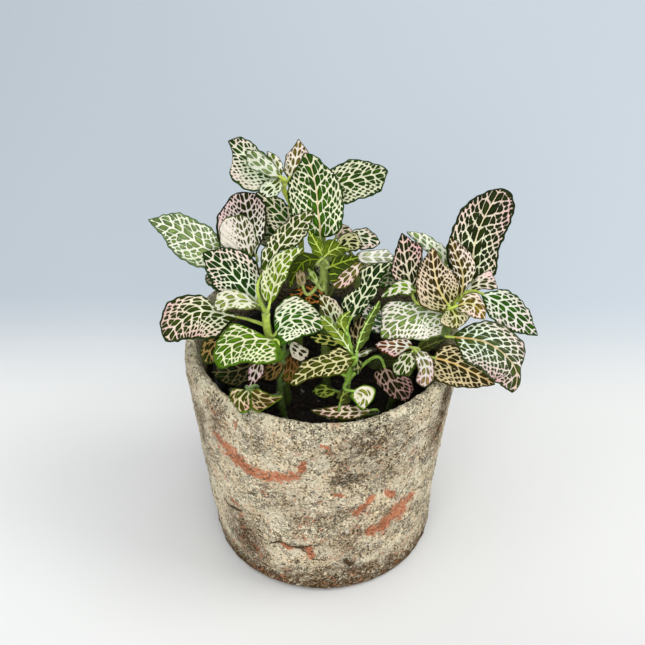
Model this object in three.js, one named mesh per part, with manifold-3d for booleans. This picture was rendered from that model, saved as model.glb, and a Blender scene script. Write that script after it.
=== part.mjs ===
// Potted nerve plant. Millimetres, +Z up, origin at the centre of the pot's underside.
// A free-standing plant: clay pot, black nursery pot inside it, soil, ten stems and their leaves.
// The growing plant is one rigid thing: stems and leaves have no joints.
import * as THREE from 'three';
import Module from 'manifold-3d';

const wasm = await Module();
wasm.setup();

// ---- driving dimensions ----
const POT_HEIGHT = 124.5;          // clay pot, floor to rim
const POT_RIM_RADIUS = 68.6;       // outside, at the rim
const POT_BASE_RADIUS = 55.4;      // outside, extrapolated to the floor
const POT_WALL = 6.6;
const POT_FLOOR = 8;
const POT_EDGE = 4.5;              // rounding of the bottom edge
const INSET_RIM_RADIUS = 55.4;     // nursery pot lip, outside
const INSET_TOP_RADIUS = 53.2;
const INSET_BASE_RADIUS = 42;
const INSET_HEIGHT = 98;
const INSET_WALL = 1.3;
const INSET_LIP = 7;
const SOIL_TOP = 88;
const FIT_GAP = 0.3;               // between things that touch
const LEAF_HALF_MID = 0.32;        // half thickness at the midrib
const LEAF_HALF_EDGE = 0.22;       // half thickness at the margin
const STALK_RADIUS = [0.95, 0.75];
const SOCKET_GAP = 0.35;           // clearance round a stem in the soil
const SOIL_STEM_TOP = 95;

// ---- leaves: nine stations from base to tip, as midrib, left margin and right margin ----
const LEAVES = [
  { key: 'A1', node: 'leaf_top_left_outer', stem: 'A',
    mid: [-20.9,30.2,199.2,-22.8,30.7,200.2,-26.2,31.8,202,-30.2,33.3,203.9,-34,35.3,205.7,-37.8,37.7,207.5,-41.4,40.5,209.1,-44.6,43.3,210.3,-46.4,44.8,210.9],
    left: [-20.5,30.7,199.4,-21.5,31.9,200.9,-23.4,35,204,-26.8,38,206.9,-30.9,40.7,209.2,-35,43.8,211.4,-39.8,46.1,212.7,-44.3,45.7,212,-46.3,45.1,211.1],
    right: [-21,29.7,198.7,-23.1,28.1,197.6,-28,25.1,195.4,-35.1,24.6,195.2,-41.4,26.9,197.2,-45.5,31.5,200.9,-44.2,36.9,205.4,-45.2,42,209.1,-46.5,44.6,210.7],
    stalk: [-20,29.3,197,-20,30,198.7,-20.1,30,198.8] },
  { key: 'A2', node: 'leaf_top_left_folded', stem: 'A',
    mid: [-20.8,25.6,203,-22,25.9,203.6,-24.4,26.6,204.9,-27,27.5,206.2,-29.4,28.8,207.7,-31.7,30.3,209.1,-33.9,32.1,210.6,-35.8,33.8,211.8,-36.8,34.8,212.4],
    left: [-20.2,26,203.2,-20.9,26.6,204.2,-21.8,28.5,206.3,-23.9,30.2,208.3,-26.5,31.7,210,-29.2,33.3,211.5,-32.2,34.5,212.6,-35.2,34.8,212.6,-36.6,35,212.6],
    right: [-21,25.2,202.5,-22.5,25.2,202.8,-25.7,25.3,203.1,-29.1,26.2,204.4,-32.7,27.1,205.3,-35.9,28.5,206.5,-37.2,31.1,209,-37.1,33.5,211.2,-37.1,34.7,212.3],
    stalk: [-20,29.3,197,-18.3,25,201.8,-20,25.4,202.6] },
  { key: 'A3', node: null, stem: 'A',
    mid: [-20.4,28.1,201.3,-20.7,28.6,202,-21.4,29.7,203.4,-22.2,31,204.9,-23.2,32.4,206.3,-24.3,33.9,207.5,-25.5,35.5,208.5,-26.6,37,209.3,-27.2,37.9,209.8],
    left: [-21,28,201.1,-21.6,28.4,202,-22.2,29.4,203.3,-23.2,30.7,204.6,-24.6,32.1,205.8,-25.9,33.5,206.9,-27,35.2,208.1,-27.3,36.5,209,-27.5,37.9,209.7],
    right: [-19.7,28.2,201.3,-19.8,28.8,202.1,-19.4,30.2,203.7,-19.5,32,205.5,-20.3,33.9,207.1,-21.9,35.5,208.4,-24,36.7,209.3,-26,37.6,209.7,-27,38.1,209.9],
    stalk: [-20,29.3,197,-19.8,27.1,199.9,-20.9,29,202.5] },
  { key: 'A4', node: null, stem: 'A',
    mid: [-20.3,26.3,200.7,-21,25.6,200.5,-22.1,24.4,200.1,-23.4,23.2,199.5,-24.8,22.1,198.8,-26.2,21.2,198.1,-27.6,20.5,197.2,-28.8,20,196.4,-29.5,19.7,195.9],
    left: [-20.6,26.9,201,-21.5,26.6,201,-23.6,26.9,201.5,-26.1,26.5,201.4,-28.4,25.5,200.7,-30.2,24,199.5,-31,22.1,198,-30.1,20.5,196.6,-29.8,19.9,196],
    right: [-19.7,26.2,200.5,-19.9,25.3,200.1,-19.3,23.4,198.9,-20,21.3,197.6,-21.7,19.7,196.5,-23.9,18.8,195.8,-26.3,18.6,195.5,-28.4,19.2,195.7,-29.3,19.5,195.7],
    stalk: [-20,29.3,197,-19,27.6,201.1,-21.4,25.2,200.4] },
  { key: 'A5', node: 'leaf_top_pointed', stem: 'A',
    mid: [-16.7,38,193.7,-16.1,38.9,194.6,-15.1,40.6,196.3,-14,42.7,198.2,-13.2,45.1,200.1,-12.7,47.7,201.8,-12.3,50.5,203.5,-12.2,53,204.9,-12.1,54.4,205.7],
    left: [-17.4,38,193.6,-18,38.8,194.3,-19.4,40.8,195.9,-19.2,43.5,198.1,-18.8,46.3,200.3,-16.9,48.7,202,-14.8,51,203.6,-13.1,52.9,205,-12.4,54.5,205.7],
    right: [-16.1,37.7,193.4,-14.8,38.2,193.9,-11.4,39.1,194.7,-8.2,41.1,196.3,-6.2,44.2,198.5,-6.3,47.6,201,-8.4,50.7,203.2,-10.8,53.1,204.9,-11.7,54.4,205.7],
    stalk: [-19.3,31.9,191.7,-17.9,36.2,191.9,-17.1,37.4,193.1] },
  { key: 'A6', node: 'leaf_top_centre', stem: 'K',
    mid: [-1.5,17.2,173.7,-1.4,18.7,176.3,-1.9,21.6,180.8,-2.6,25.4,185.7,-3.1,29.7,190.4,-4.1,34.3,194.6,-5.7,39.4,198.5,-7.9,43.9,201.4,-9.3,46.4,202.8],
    left: [-2.1,17,173.4,-5,17.3,174.4,-10.8,19,176.8,-15.2,23.1,181.5,-17,28.2,186.9,-17.4,33.9,192.3,-14.3,39.1,197,-10.9,43.7,200.8,-9.7,46.3,202.7],
    right: [-1,16.9,173.4,2.6,16.5,173.4,8.6,19,176.6,10.2,24.7,183.1,9.8,30.8,189.6,6.7,36.7,195.5,0.7,41.7,199.8,-5.2,45.7,202.8,-9.1,46.5,203],
    stalk: [-0.6,29.2,171.7,-1.6,15.5,170.7,-1.5,16.8,172.9] },
  { key: 'A7', node: 'leaf_top_right', stem: 'K',
    mid: [-0.5,33.5,187.3,1.6,34.4,188.2,5.5,36,189.8,10.2,37.8,191.2,15.1,39.3,192.2,20.1,40.7,192.8,25.3,41.9,193.1,29.7,43.3,193.4,32,44.2,193.6],
    left: [-1.1,33.9,187.6,-0.9,36,189.4,0.5,40.4,193.1,5.3,44.2,196.1,11.3,47,198,17.9,47.9,198.2,24.5,46.9,196.8,30.1,46,195.3,32.1,44.4,193.8],
    right: [-0.5,33,186.8,1.8,32.2,185.9,6.7,30.8,184.1,12.9,30.8,183.5,18.8,32.8,184.8,24.9,34.5,185.6,29.6,37.8,188.2,31.2,41.9,191.7,32.2,44,193.4],
    stalk: [-1,30,180,-3.3,32.3,186.1,-1.3,33.2,187] },
  { key: 'B1', node: 'leaf_left_back_pink', stem: 'B',
    mid: [-32.7,10.5,166.6,-33.2,12.3,168,-34,15.9,170.4,-35,20.4,173,-36,25.1,175.4,-37.1,30.1,177.6,-38.2,35.5,179.6,-39.2,40.3,181.2,-39.7,43.1,182],
    left: [-33.3,10.1,166.4,-36.4,10.2,166.6,-43.1,10.9,166.9,-49.5,15.4,169.1,-52.6,22.7,172.6,-52.2,30.7,176.4,-48,37.5,179.6,-43.3,42.4,181.8,-40,43.2,182.1],
    right: [-32.1,10.8,166.7,-31.9,12.9,168.1,-29.6,17.4,170.6,-27.8,23,173.5,-27.6,29.2,176.5,-28.2,35.6,179.3,-31.9,40.8,181.4,-36.8,42.8,182.1,-39.5,43.3,182.1],
    stalk: [-36,9,162,-32.2,8.7,165.2,-32.5,9.8,166.1] },
  { key: 'B2', node: 'leaf_left_back_young', stem: 'B',
    mid: [-35.5,7.8,169.2,-35.9,9.3,169.8,-36.6,11.8,171.1,-37.4,14.5,172.7,-38.1,17,174.6,-38.9,19.1,176.6,-39.6,20.9,178.9,-40.2,22.3,181.1,-40.5,22.9,182.3],
    left: [-36.2,7.6,169,-38.2,8.7,169,-43.1,10.2,168.7,-48.5,12.3,169.2,-50.8,16.4,172.4,-50.4,20.5,176.4,-48.1,23.7,180.1,-43.2,23.4,181.6,-40.9,23,182.4],
    right: [-34.8,7.8,169.1,-34.2,9.2,169.6,-32.6,12.1,170.8,-32.3,15.5,172.8,-33.1,18.5,175.2,-34.2,21.1,177.7,-36,23.1,180.2,-38.8,23.3,181.8,-40.3,23.1,182.4],
    stalk: [-36,9,162,-34.8,5.2,168.1,-35.3,7,168.9] },
  { key: 'B3', node: 'leaf_far_left', stem: 'B',
    mid: [-46.7,14.2,162.6,-49.5,14.9,163.6,-54.7,16.4,165.3,-60.6,18.6,167.4,-66,21.6,169.9,-71.7,24.6,171.9,-77.9,27.4,172.9,-83.5,29.7,173.4,-86.5,31.1,173.6],
    left: [-46.4,14.7,163,-48.6,16.2,164.7,-50.9,20.6,169.1,-55.3,25.2,173.4,-62.2,27.9,175.5,-69.1,31,177.4,-76.7,31.9,176.8,-83,31.3,174.8,-86.4,31.3,173.8],
    right: [-46.5,13.7,162,-48.6,12.1,160.3,-54.8,10.7,158.4,-62.6,11.8,158.9,-69.6,14.9,161,-75.6,19.1,164.3,-79.7,24.2,168.7,-84.4,28.5,171.7,-86.6,30.9,173.4],
    stalk: [-35.7,9.1,160.9,-43.5,13.4,161.5,-45.9,14,162.3] },
  { key: 'B4', node: 'leaf_back_dark', stem: 'A',
    mid: [-15.3,29.7,170.6,-16.5,30.6,171.6,-18.6,32.2,173.3,-21.2,34.3,175.1,-23.8,36.3,176.8,-26.6,38.5,178.3,-29.4,40.7,179.7,-31.9,42.6,180.7,-33.3,43.7,181.3],
    left: [-15.3,29.2,170.2,-16.3,28,169.2,-19.4,25.7,167.3,-24.1,27.2,168.6,-27.5,30.2,171.1,-29.5,34,174.2,-31.3,38.1,177.3,-32.9,41.7,179.8,-33.5,43.5,181.1],
    right: [-14.7,30,170.8,-14.9,31.4,172,-14.7,34.5,174.4,-16.5,37.7,177.1,-19.7,40.3,179.1,-23.4,42.3,180.7,-27.6,43.9,181.7,-31.4,44.4,181.8,-33.2,44,181.4],
    stalk: [-12.2,30,169.5,-14.4,29,169.9,-14.7,29.2,170.1] },
  { key: 'C1', node: 'leaf_left_dark', stem: 'C',
    mid: [-31.5,-11.2,155.1,-33.4,-10.3,156.5,-36.7,-8.3,159,-40.1,-5.3,162.1,-43.6,-2.2,164.8,-47.7,0.8,167,-52.2,3.6,168.6,-56.2,6.3,169.8,-58.4,7.9,170.4],
    left: [-31.8,-11.6,154.7,-34.3,-11.7,155.1,-39.7,-11.9,155.4,-45.6,-10.6,156.7,-50.9,-8.1,158.7,-54.5,-4,161.9,-57,0.8,165.5,-58.1,5.3,168.7,-58.6,7.7,170.3],
    right: [-30.9,-10.9,155.3,-30.3,-8.7,157.3,-29.6,-3.9,161.5,-31.1,1.7,166.3,-35.1,6.7,170.3,-41.7,9.1,172.3,-49.1,9.8,172.6,-55.3,8.9,171.5,-58.3,8.1,170.6],
    stalk: [-27.5,-17.5,153,-29.2,-12.3,153.4,-30.8,-11.5,154.6] },
  { key: 'C2', node: 'leaf_left_long', stem: 'C',
    mid: [-29.2,-10.4,171,-27.9,-8,172.2,-25.3,-3.5,174.4,-22,1.7,176.9,-18.4,6.7,179.1,-14.4,11.7,181.1,-10.2,16.6,182.9,-6.5,20.8,184.4,-4.4,23.1,185.1],
    left: [-29.9,-10.1,171.1,-29.9,-7.3,172.5,-30.2,-1.3,175.4,-27.8,5.2,178.4,-23.9,11.1,180.9,-18.7,15.9,182.9,-13.4,20.8,184.7,-7.6,22.6,185.1,-4.6,23.4,185.3],
    right: [-28.5,-10.4,171,-27,-8.3,172.1,-24.5,-3.9,174.3,-20.4,1.3,176.7,-14.3,3.3,177.6,-9.3,7.4,179.3,-6.3,13.7,181.7,-4.8,19.7,183.9,-4.1,22.9,185.1],
    stalk: [-27.5,-17.5,153,-30.7,-13.2,169.6,-29.6,-11.1,170.6] },
  { key: 'C3', node: 'leaf_left_bright', stem: 'C',
    mid: [-25.3,-21.7,163.5,-24.8,-20.1,165,-23.8,-17.1,167.7,-22,-13.7,170.6,-20.2,-10.2,173.5,-17.4,-7.1,175.9,-13.8,-4.6,178,-10.8,-2.2,179.7,-9.1,-0.9,180.6],
    left: [-26,-21.9,163.3,-28.1,-21.1,164.3,-30.1,-17.3,167.4,-29.9,-12.2,171.5,-27.4,-7.6,175.2,-23.1,-3.9,178.2,-17.5,-1.5,180.2,-12.1,-0.9,180.7,-9.4,-0.6,180.8],
    right: [-24.8,-22.2,163.4,-23.3,-21.5,164.6,-21.3,-19,167.2,-19.1,-15.9,170.1,-16.8,-12.7,172.8,-15.5,-8.7,175.5,-13,-5.2,177.8,-10.1,-2.8,179.5,-8.9,-1.1,180.5],
    stalk: [-27.5,-17.5,153,-26.1,-24.2,161.2,-25.5,-22.3,162.9] },
  { key: 'C4', node: 'leaf_left_curled', stem: 'C',
    mid: [-30.4,-15.7,156.8,-31.8,-15.6,157.7,-34.6,-15.5,158.9,-38,-15.2,159.9,-41.4,-15.1,160.3,-44.8,-15.4,159.8,-48,-16.2,158.6,-50.6,-16.8,157,-52,-17,156.1],
    left: [-30.3,-16.2,156.4,-31.7,-17,156.7,-34.4,-19,156.6,-37.8,-19.6,157,-41.3,-19.5,157.4,-44.8,-19.6,157.1,-48.2,-19.9,156.1,-51.1,-18.8,155.7,-52.1,-17.3,155.9],
    right: [-30.3,-15,157.1,-31.8,-14.7,158.1,-35,-13.2,160,-39,-11.4,161.6,-43.4,-10.3,162.4,-48,-10.4,161.9,-51.5,-12.5,160,-52.4,-15.5,157.5,-52.3,-16.8,156.2],
    stalk: [-27.5,-17.5,153,-28.7,-15.8,155.7,-29.6,-15.8,156.3] },
  { key: 'C5', node: 'leaf_left_low', stem: 'C',
    mid: [-41.2,-13.9,147.9,-44.1,-14.3,149,-49.3,-14.5,150.8,-55.4,-14.6,152.2,-61.6,-15.1,152.2,-66.9,-17.2,149.8,-71.5,-19.5,146.2,-74.7,-21.5,142.3,-76.5,-22.5,140],
    left: [-41,-14.3,147.4,-43.4,-15.8,147.2,-47.1,-19.2,145.4,-51,-22.9,142.6,-56.7,-23.9,142.1,-62.5,-23.7,142.2,-68.5,-23.8,141.2,-73.7,-23.5,139.9,-76.4,-22.7,139.7],
    right: [-41.4,-13.3,148.4,-44.5,-12.6,150.2,-51.5,-11.7,152.8,-58.3,-8.3,156.9,-67,-8.4,157.1,-75,-10.3,154.5,-78.7,-15.5,148.7,-78.4,-20.3,142.9,-76.8,-22.4,140],
    stalk: [-27.1,-18.4,146,-38,-13.5,146.7,-40.4,-13.8,147.6] },
  { key: 'C6', node: 'leaf_front_left', stem: 'C',
    mid: [-23.1,-26.2,143.7,-25.4,-26.8,144.4,-29.7,-27.7,145.6,-34.6,-28.7,146.2,-39.5,-29.8,145.9,-44,-31.3,144.6,-47.8,-33.4,142.2,-50.5,-35.4,139.4,-51.8,-36.3,137.7],
    left: [-22.5,-26.5,143.4,-21,-28.9,142.7,-18.3,-34.1,140.3,-23.8,-37.8,139.1,-30.7,-38.8,139.1,-37.5,-38.3,139.4,-44.1,-39.3,137.9,-50,-39.1,136.7,-51.8,-36.6,137.5],
    right: [-23.4,-25.6,143.9,-26,-25.7,145,-31.4,-24.4,147.1,-37.5,-22.2,149.2,-43.8,-20.9,150.1,-48.4,-25.3,147.3,-51.9,-29.9,143.7,-52.8,-34.2,139.9,-52.1,-36.2,137.8],
    stalk: [-24,-16,127,-24,-29,132,-23,-32.5,138,-22.4,-26,143.5,-22.3,-26,143.4] },
  { key: 'C7', node: 'leaf_front_centre_left', stem: 'C',
    mid: [-22.7,-20.8,143.6,-21.6,-20.2,145.1,-19.4,-18.8,147.6,-15.9,-17.7,149.5,-11.9,-17.5,149.9,-7.8,-17.8,149.4,-3.9,-18.3,147.9,-0.8,-18.6,146.1,1,-18.6,144.9],
    left: [-23.3,-20.4,143.8,-23.8,-18.5,145.8,-23.9,-13.8,149.8,-20.6,-8.7,153.6,-14.3,-6.1,155.4,-7.8,-8.2,154,-2.6,-12.1,150.8,0.2,-16.3,147.2,1.1,-18.3,145.1],
    right: [-23,-21.3,143.2,-23.3,-23.3,142.9,-22,-27.3,141.5,-17.7,-27.5,142.3,-13.4,-26.1,143.7,-9,-24.5,144.5,-4.5,-22.8,144.6,-0.7,-20.6,144.6,1,-18.9,144.7],
    stalk: [-26.5,-18.2,141.8,-23.8,-21.4,142.1,-23.2,-21.1,142.9] },
  { key: 'D1a', node: null, stem: 'D',
    mid: [0,-1,175.3,-0.5,-0.5,176,-1.3,0.3,177.4,-2.3,1.2,179,-3.3,2.2,180.5,-4.3,3.1,182.1,-5.3,4,183.6,-6.3,4.8,184.9,-6.7,5.2,185.7],
    left: [-0.4,-1.2,174.7,-1.2,-1,175,-3.3,-0.7,175,-5,0.2,176.6,-6.1,1.4,178.5,-7.1,2.5,180.5,-7.5,3.7,182.7,-7.1,4.6,184.8,-7.1,5.2,185.5],
    right: [0.7,-0.9,175.3,0.6,-0.4,176,1.4,0.7,177.6,1,2,179.5,-0.4,3,181.3,-2.3,3.7,182.6,-4.2,4.3,183.9,-5.4,5,185.1,-6.4,5.3,185.7],
    stalk: [0.5,3.5,167,1.8,-2.8,172.8,-0.8,-0.2,176.4] },
  { key: 'D1b', node: null, stem: 'D',
    mid: [0.5,-2.7,176,1.2,-2.3,176.5,2.5,-1.7,177.6,4.2,-1.1,178.7,6.1,-0.6,179.5,8.1,-0.3,179.9,10.2,-0.4,179.8,12,-0.6,179.5,12.9,-0.7,179.3],
    left: [-0.2,-2.5,176.2,-0.1,-1.8,177.1,-0.6,-0.2,179.3,0.8,1.3,181.7,3.5,2.2,183.1,6.5,1.6,182.4,9.1,0.4,180.8,11.8,-0.2,180.3,12.7,-0.6,179.5],
    right: [0.7,-3,175.4,2,-2.6,176.2,3.1,-2.5,175.8,5.2,-2.3,175.9,7.1,-2.1,176.3,9,-1.7,176.9,10.8,-1.3,177.8,12.2,-1,178.7,13,-0.8,179],
    stalk: [0.5,3.5,167,-2.1,-4.2,174.2,1.7,-2,176.8] },
  { key: 'D2', node: 'leaf_centre_turned_left', stem: 'D',
    mid: [-2,6.7,167.1,-3.5,6.3,167.5,-6.3,5.7,167.9,-9.3,4.5,167.4,-11.5,2.7,165.9,-13.1,0.9,163.7,-14.5,-0.7,161.3,-15.5,-2,158.9,-16.1,-2.5,157.6],
    left: [-1.8,7.2,167.5,-3.1,7.6,168.5,-6.6,8.1,169.9,-11,7.4,169.8,-14.9,5.9,168.4,-17.4,3.5,165.7,-17.6,0.7,162.3,-16.7,-1.5,159.2,-16.4,-2.4,157.7],
    right: [-1.5,6.3,166.6,-2.3,5.4,166.2,-3.4,3.3,164.7,-6.2,2,164.1,-9.3,1.3,163.9,-12,0.3,162.9,-13.5,-1.2,160.6,-14.7,-2.3,158.7,-15.8,-2.7,157.4],
    stalk: [0.5,3.4,165.8,-0.4,7.1,166.7,-1.2,6.9,166.9] },
  { key: 'D3', node: 'leaf_centre_turned_right', stem: 'D',
    mid: [3.9,0.1,168.4,4.8,0.3,168.7,6.5,0.6,169.3,8.5,1,169.9,10.6,1.3,170.5,12.6,1.6,171,14.7,1.9,171.5,16.4,2.1,172,17.4,2.3,172.2],
    left: [3.3,0.4,168.8,3.9,0.8,169.4,4.2,2.1,171.2,6.2,2.8,172.4,8.8,2.7,172.5,11.4,2.9,172.8,14,2.8,172.9,16.6,2.5,172.8,17.3,2.4,172.5],
    right: [3.5,-0.1,167.8,3.3,-0.5,166.7,2.6,-1.8,163.4,5.2,-2.6,161.3,8,-1.5,163.8,10.9,-0.4,166.3,14,0.6,168.5,16.3,1.6,170.9,17.3,2.1,171.9],
    stalk: [0.5,3.5,166.6,2,-0.3,167.8,3.1,-0.1,168.1] },
  { key: 'D4', node: null, stem: 'D',
    mid: [-2.4,-4.1,160,-2.8,-3.7,160.4,-3.5,-3.1,161.3,-4.2,-2.3,162.2,-5,-1.5,163.2,-5.7,-0.7,164.1,-6.4,0.1,165.1,-7,0.7,165.9,-7.3,1.1,166.4],
    left: [-2.9,-4.3,159.6,-3.6,-4,160.2,-4.4,-3.5,160.5,-5.6,-2.8,161.2,-6.3,-2,162.3,-6.8,-1.1,163.5,-7.1,-0.4,164.7,-7.6,0.3,165.5,-7.6,1,166.2],
    right: [-1.8,-3.9,160.2,-2,-3.4,160.6,-2.3,-2.6,161.6,-2.6,-1.6,162.7,-3.2,-0.7,163.9,-4.1,0.2,164.9,-5.3,0.7,165.7,-6.3,1.2,166.4,-7,1.3,166.6],
    stalk: [0.2,2.5,158.1,-0.7,-5.8,158.3,-3.3,-3.2,160.9] },
  { key: 'D5', node: null, stem: 'M',
    mid: [6.3,10.8,168.8,7.1,11.2,169.4,8.5,12,170.4,10.3,12.9,171.4,12.3,13.6,172.1,14.5,13.8,172.1,16.7,13.6,171.6,18.5,13.4,171,19.5,13.3,170.6],
    left: [5.9,11.3,169.1,6.1,12.1,169.9,6.5,14.7,172,8.4,17.3,174,11.5,18.9,175.2,15.1,19,175.2,17.8,16.9,173.6,19,14.6,171.7,19.6,13.6,170.8],
    right: [6.5,10.3,168.4,7.3,10.5,168.8,9.1,10.1,168.7,11.2,10.1,168.9,13.3,10.4,169.2,15.4,10.7,169.4,17.3,11.5,169.7,18.8,12.6,170.3,19.6,13,170.4],
    stalk: [16,15,161,3.7,9.5,166.9,7.5,11.4,169.7] },
  { key: 'D6', node: null, stem: 'M',
    mid: [13.3,21.3,170.7,14.3,21,170.8,16.3,20.5,170.9,18.5,20.1,170.9,20.8,19.6,170.7,23,19.2,170.3,25.1,18.8,169.7,27,18.5,169,28,18.4,168.6],
    left: [13,21.8,171.1,13.5,22.4,171.7,15.2,24,173,18.3,24.4,173.5,21.4,24.4,173.6,24.2,23.2,172.7,26.4,21.4,171.2,27.6,19.5,169.6,28.1,18.6,168.8],
    right: [12.9,20.8,170.3,13.5,20,170,14.4,17.9,168.6,16.4,16,167.3,19.2,15.2,166.8,22.2,15.2,166.8,25,15.9,167.1,27,17.4,168,28,18.1,168.4],
    stalk: [16,15,161,10,22.3,170.4,14.8,20.8,170.8] },
  { key: 'D7', node: null, stem: 'M',
    mid: [6.4,21.9,169.1,6.8,22.3,169.5,7.5,23.2,170.3,8.5,24.2,171.1,9.7,24.9,171.7,11.2,25.1,171.9,12.8,24.9,171.8,14.1,24.7,171.5,14.8,24.5,171.4],
    left: [5.8,22.2,169.3,5.9,22.8,169.7,5.4,24.5,171,6,26.3,172.5,8,27.5,173.5,10.4,27.5,173.6,12.6,26.6,172.9,13.6,25.2,172.1,14.8,24.8,171.6],
    right: [6.6,21.4,168.6,7,21.7,168.8,8.3,21.4,168.3,9.9,21.6,168.3,11.4,22.1,168.7,12.9,22.6,169.2,14.2,23.2,169.8,14.7,24,170.8,14.9,24.3,171.2],
    stalk: [16,15,161,4.4,19.9,167.1,7.3,22.8,170] },
  { key: 'D8', node: 'leaf_centre_pale', stem: 'M',
    mid: [16.1,11.4,165.3,17.5,11.2,165.5,19.9,10.9,165.7,22.8,10.7,165.9,25.6,10.6,165.9,28.5,10.6,165.8,31.4,10.7,165.5,33.9,10.8,165.2,35.2,11,165],
    left: [15.8,11.9,165.6,16.4,12.7,166.3,18.8,13.7,167.4,22.2,13.8,167.7,25.6,14,168,29,14.3,168,32.3,13.6,167.3,34.3,12,165.9,35.3,11.3,165.2],
    right: [15.8,10.9,164.9,16.9,10.2,164.6,19,8.7,163.7,22.2,8.1,163.6,25.3,8,163.6,28.5,8.3,163.7,31.7,8.7,163.8,34.1,10,164.4,35.3,10.7,164.8],
    stalk: [16,15,161,13.9,11.7,165,15.2,11.5,165.2] },
  { key: 'D10', node: 'leaf_centre_pink', stem: 'M',
    mid: [20.1,12,163.6,19.1,11,163.1,17.3,9.1,162.2,15.1,7,161,12.9,5.2,159.8,10.5,3.7,158.6,8.1,2.4,157.3,6,1.4,156.2,4.9,0.9,155.5],
    left: [19.7,12.5,163.9,18.5,11.7,163.5,15.7,10.9,163.2,12.6,9.8,162.5,9.9,8,161.3,7.8,5.9,159.8,5.5,4,158.1,4.4,2.1,156.4,4.5,1,155.6],
    right: [20.7,11.8,163.3,20.2,10.5,162.6,19.6,7.7,160.8,17.7,4.8,158.9,15.4,2.3,157.2,12.6,0.4,155.6,9.3,-0.7,154.6,6.2,-0.1,154.8,4.9,0.6,155.3],
    stalk: [16,15,161,21.6,13.5,164.4,20.7,12.6,163.9] },
  { key: 'D11', node: 'leaf_centre_shaded', stem: 'D',
    mid: [0.5,-5.6,152,-0.6,-5.4,152.7,-2.7,-5,153.8,-5.3,-4.4,154.8,-8,-4.1,155.2,-10.8,-4.2,154.9,-13.5,-4.3,154.2,-15.8,-4.4,153.3,-17.1,-4.3,152.8],
    left: [1,-5.3,152.1,1,-4.3,153.2,0.6,-1.8,155.3,-2.7,-0.3,156.9,-6.6,0.2,157.4,-10.4,-0.5,156.9,-14,-1.6,155.7,-16.5,-3.1,154,-17.2,-4.1,152.9],
    right: [0.6,-6.2,151.5,-0.4,-6.8,151.6,-2.5,-8.5,151.1,-5.4,-8.8,151.3,-8.2,-8.5,151.7,-11.1,-8.1,151.9,-13.9,-7.1,152,-16,-5.4,152.5,-17.1,-4.6,152.6],
    stalk: [0,1.5,150,3,-6,150.4,1.2,-5.7,151.5] },
  { key: 'D12', node: null, stem: 'D',
    mid: [-9.7,-4.8,159.4,-9.9,-4.5,159.8,-10.3,-3.8,160.7,-10.7,-3,161.7,-11.1,-2.2,162.7,-11.3,-1.3,163.7,-11.3,-0.5,164.8,-11.2,0.3,165.7,-11.2,0.7,166.1],
    left: [-10.3,-5,159,-10.8,-4.5,159.9,-11.9,-4.2,159.9,-13.1,-3.3,160.9,-13.5,-2.2,162.2,-13.6,-1.1,163.6,-13.1,-0.1,164.9,-12,-0.1,165.4,-11.5,0.7,166.2],
    right: [-9,-4.8,159.3,-9,-4.4,159.7,-8.4,-3.6,160.5,-8.1,-2.6,161.7,-8.2,-1.6,162.9,-8.5,-0.6,164.2,-9.3,0.2,165.3,-10.4,0.6,165.9,-10.9,0.8,166.2],
    stalk: [0.2,3,160,-8.4,-6.7,156.8,-10.3,-3.9,160.6] },
  { key: 'E1', node: 'leaf_centre_right_dark', stem: 'E',
    mid: [13.6,-14.7,148,14.7,-13.4,149.6,16.6,-10.8,152.5,19,-7.6,155.5,21.9,-4.3,158.2,24.5,-0.6,160.7,27.8,3,162.8,31.2,5.9,164.1,33.2,7.5,164.6],
    left: [12.9,-14.7,147.9,10.8,-13.4,149.2,8.7,-9.1,152.7,12.5,-5.2,156.5,17.9,-2.5,159,17.9,3.4,162.8,23.9,6.3,164.6,29.9,7.5,164.9,33,7.7,164.7],
    right: [14,-15.1,147.6,15.8,-14.4,148.6,19.4,-12.6,150.6,22.8,-9.8,153.3,26,-6.6,155.9,27.6,-2.5,158.8,29.4,1.8,161.6,31.9,5.4,163.6,33.4,7.3,164.4],
    stalk: [11.5,-21,142,12,-16.6,145.6,13.2,-15.2,147.4] },
  { key: 'E2', node: 'leaf_centre_upright', stem: 'E',
    mid: [6.3,-20.3,146.3,5.8,-19.6,147.3,4.9,-18.2,149,3.7,-16.5,150.8,2.5,-14.6,152.5,1.3,-12.7,154.1,-0.1,-10.6,155.5,-1.3,-8.7,156.7,-2,-7.6,157.3],
    left: [5.7,-20.5,146,4.9,-19.8,147.2,3.3,-18.8,148.3,1.4,-17.2,149.8,-0.2,-15.4,151.5,-1.4,-13.3,153.2,-2,-11,154.9,-1.9,-9.3,156.3,-2.3,-7.7,157.2],
    right: [6.9,-20.2,146.4,7.2,-19.3,147.4,8.9,-17.3,149.3,10.1,-14.6,151.5,8.4,-12.2,153.7,5.9,-10.2,155.5,2.9,-8.4,156.9,-0.2,-7.8,157.3,-1.7,-7.4,157.4],
    stalk: [11.5,-21,142,7.3,-21.7,144.2,6.6,-20.8,145.6] },
  { key: 'E3', node: null, stem: 'E',
    mid: [13,-29.1,139.2,12.2,-28.5,140.4,10.7,-27.3,142.6,8.9,-25.9,145.1,7,-24.6,147.5,4.8,-23.4,149.7,2.4,-22.3,151.7,0.2,-21.4,153.4,-1,-20.9,154.3],
    left: [12.5,-29.3,138.8,11.5,-28.9,139.9,9.2,-27.7,141.4,6.5,-26.6,143.2,4,-25.4,145.3,1.8,-24.1,147.6,-0.3,-22.8,150.1,-1.1,-21.6,152.7,-1.3,-20.9,154.1],
    right: [13.5,-28.9,139.6,12.9,-28.1,140.9,11.6,-26.8,143.2,10.5,-25.1,146.2,8,-23.9,148.5,5.5,-22.7,150.7,3.5,-21.2,153.2,0.7,-20.8,154.3,-0.8,-20.7,154.5],
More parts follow.
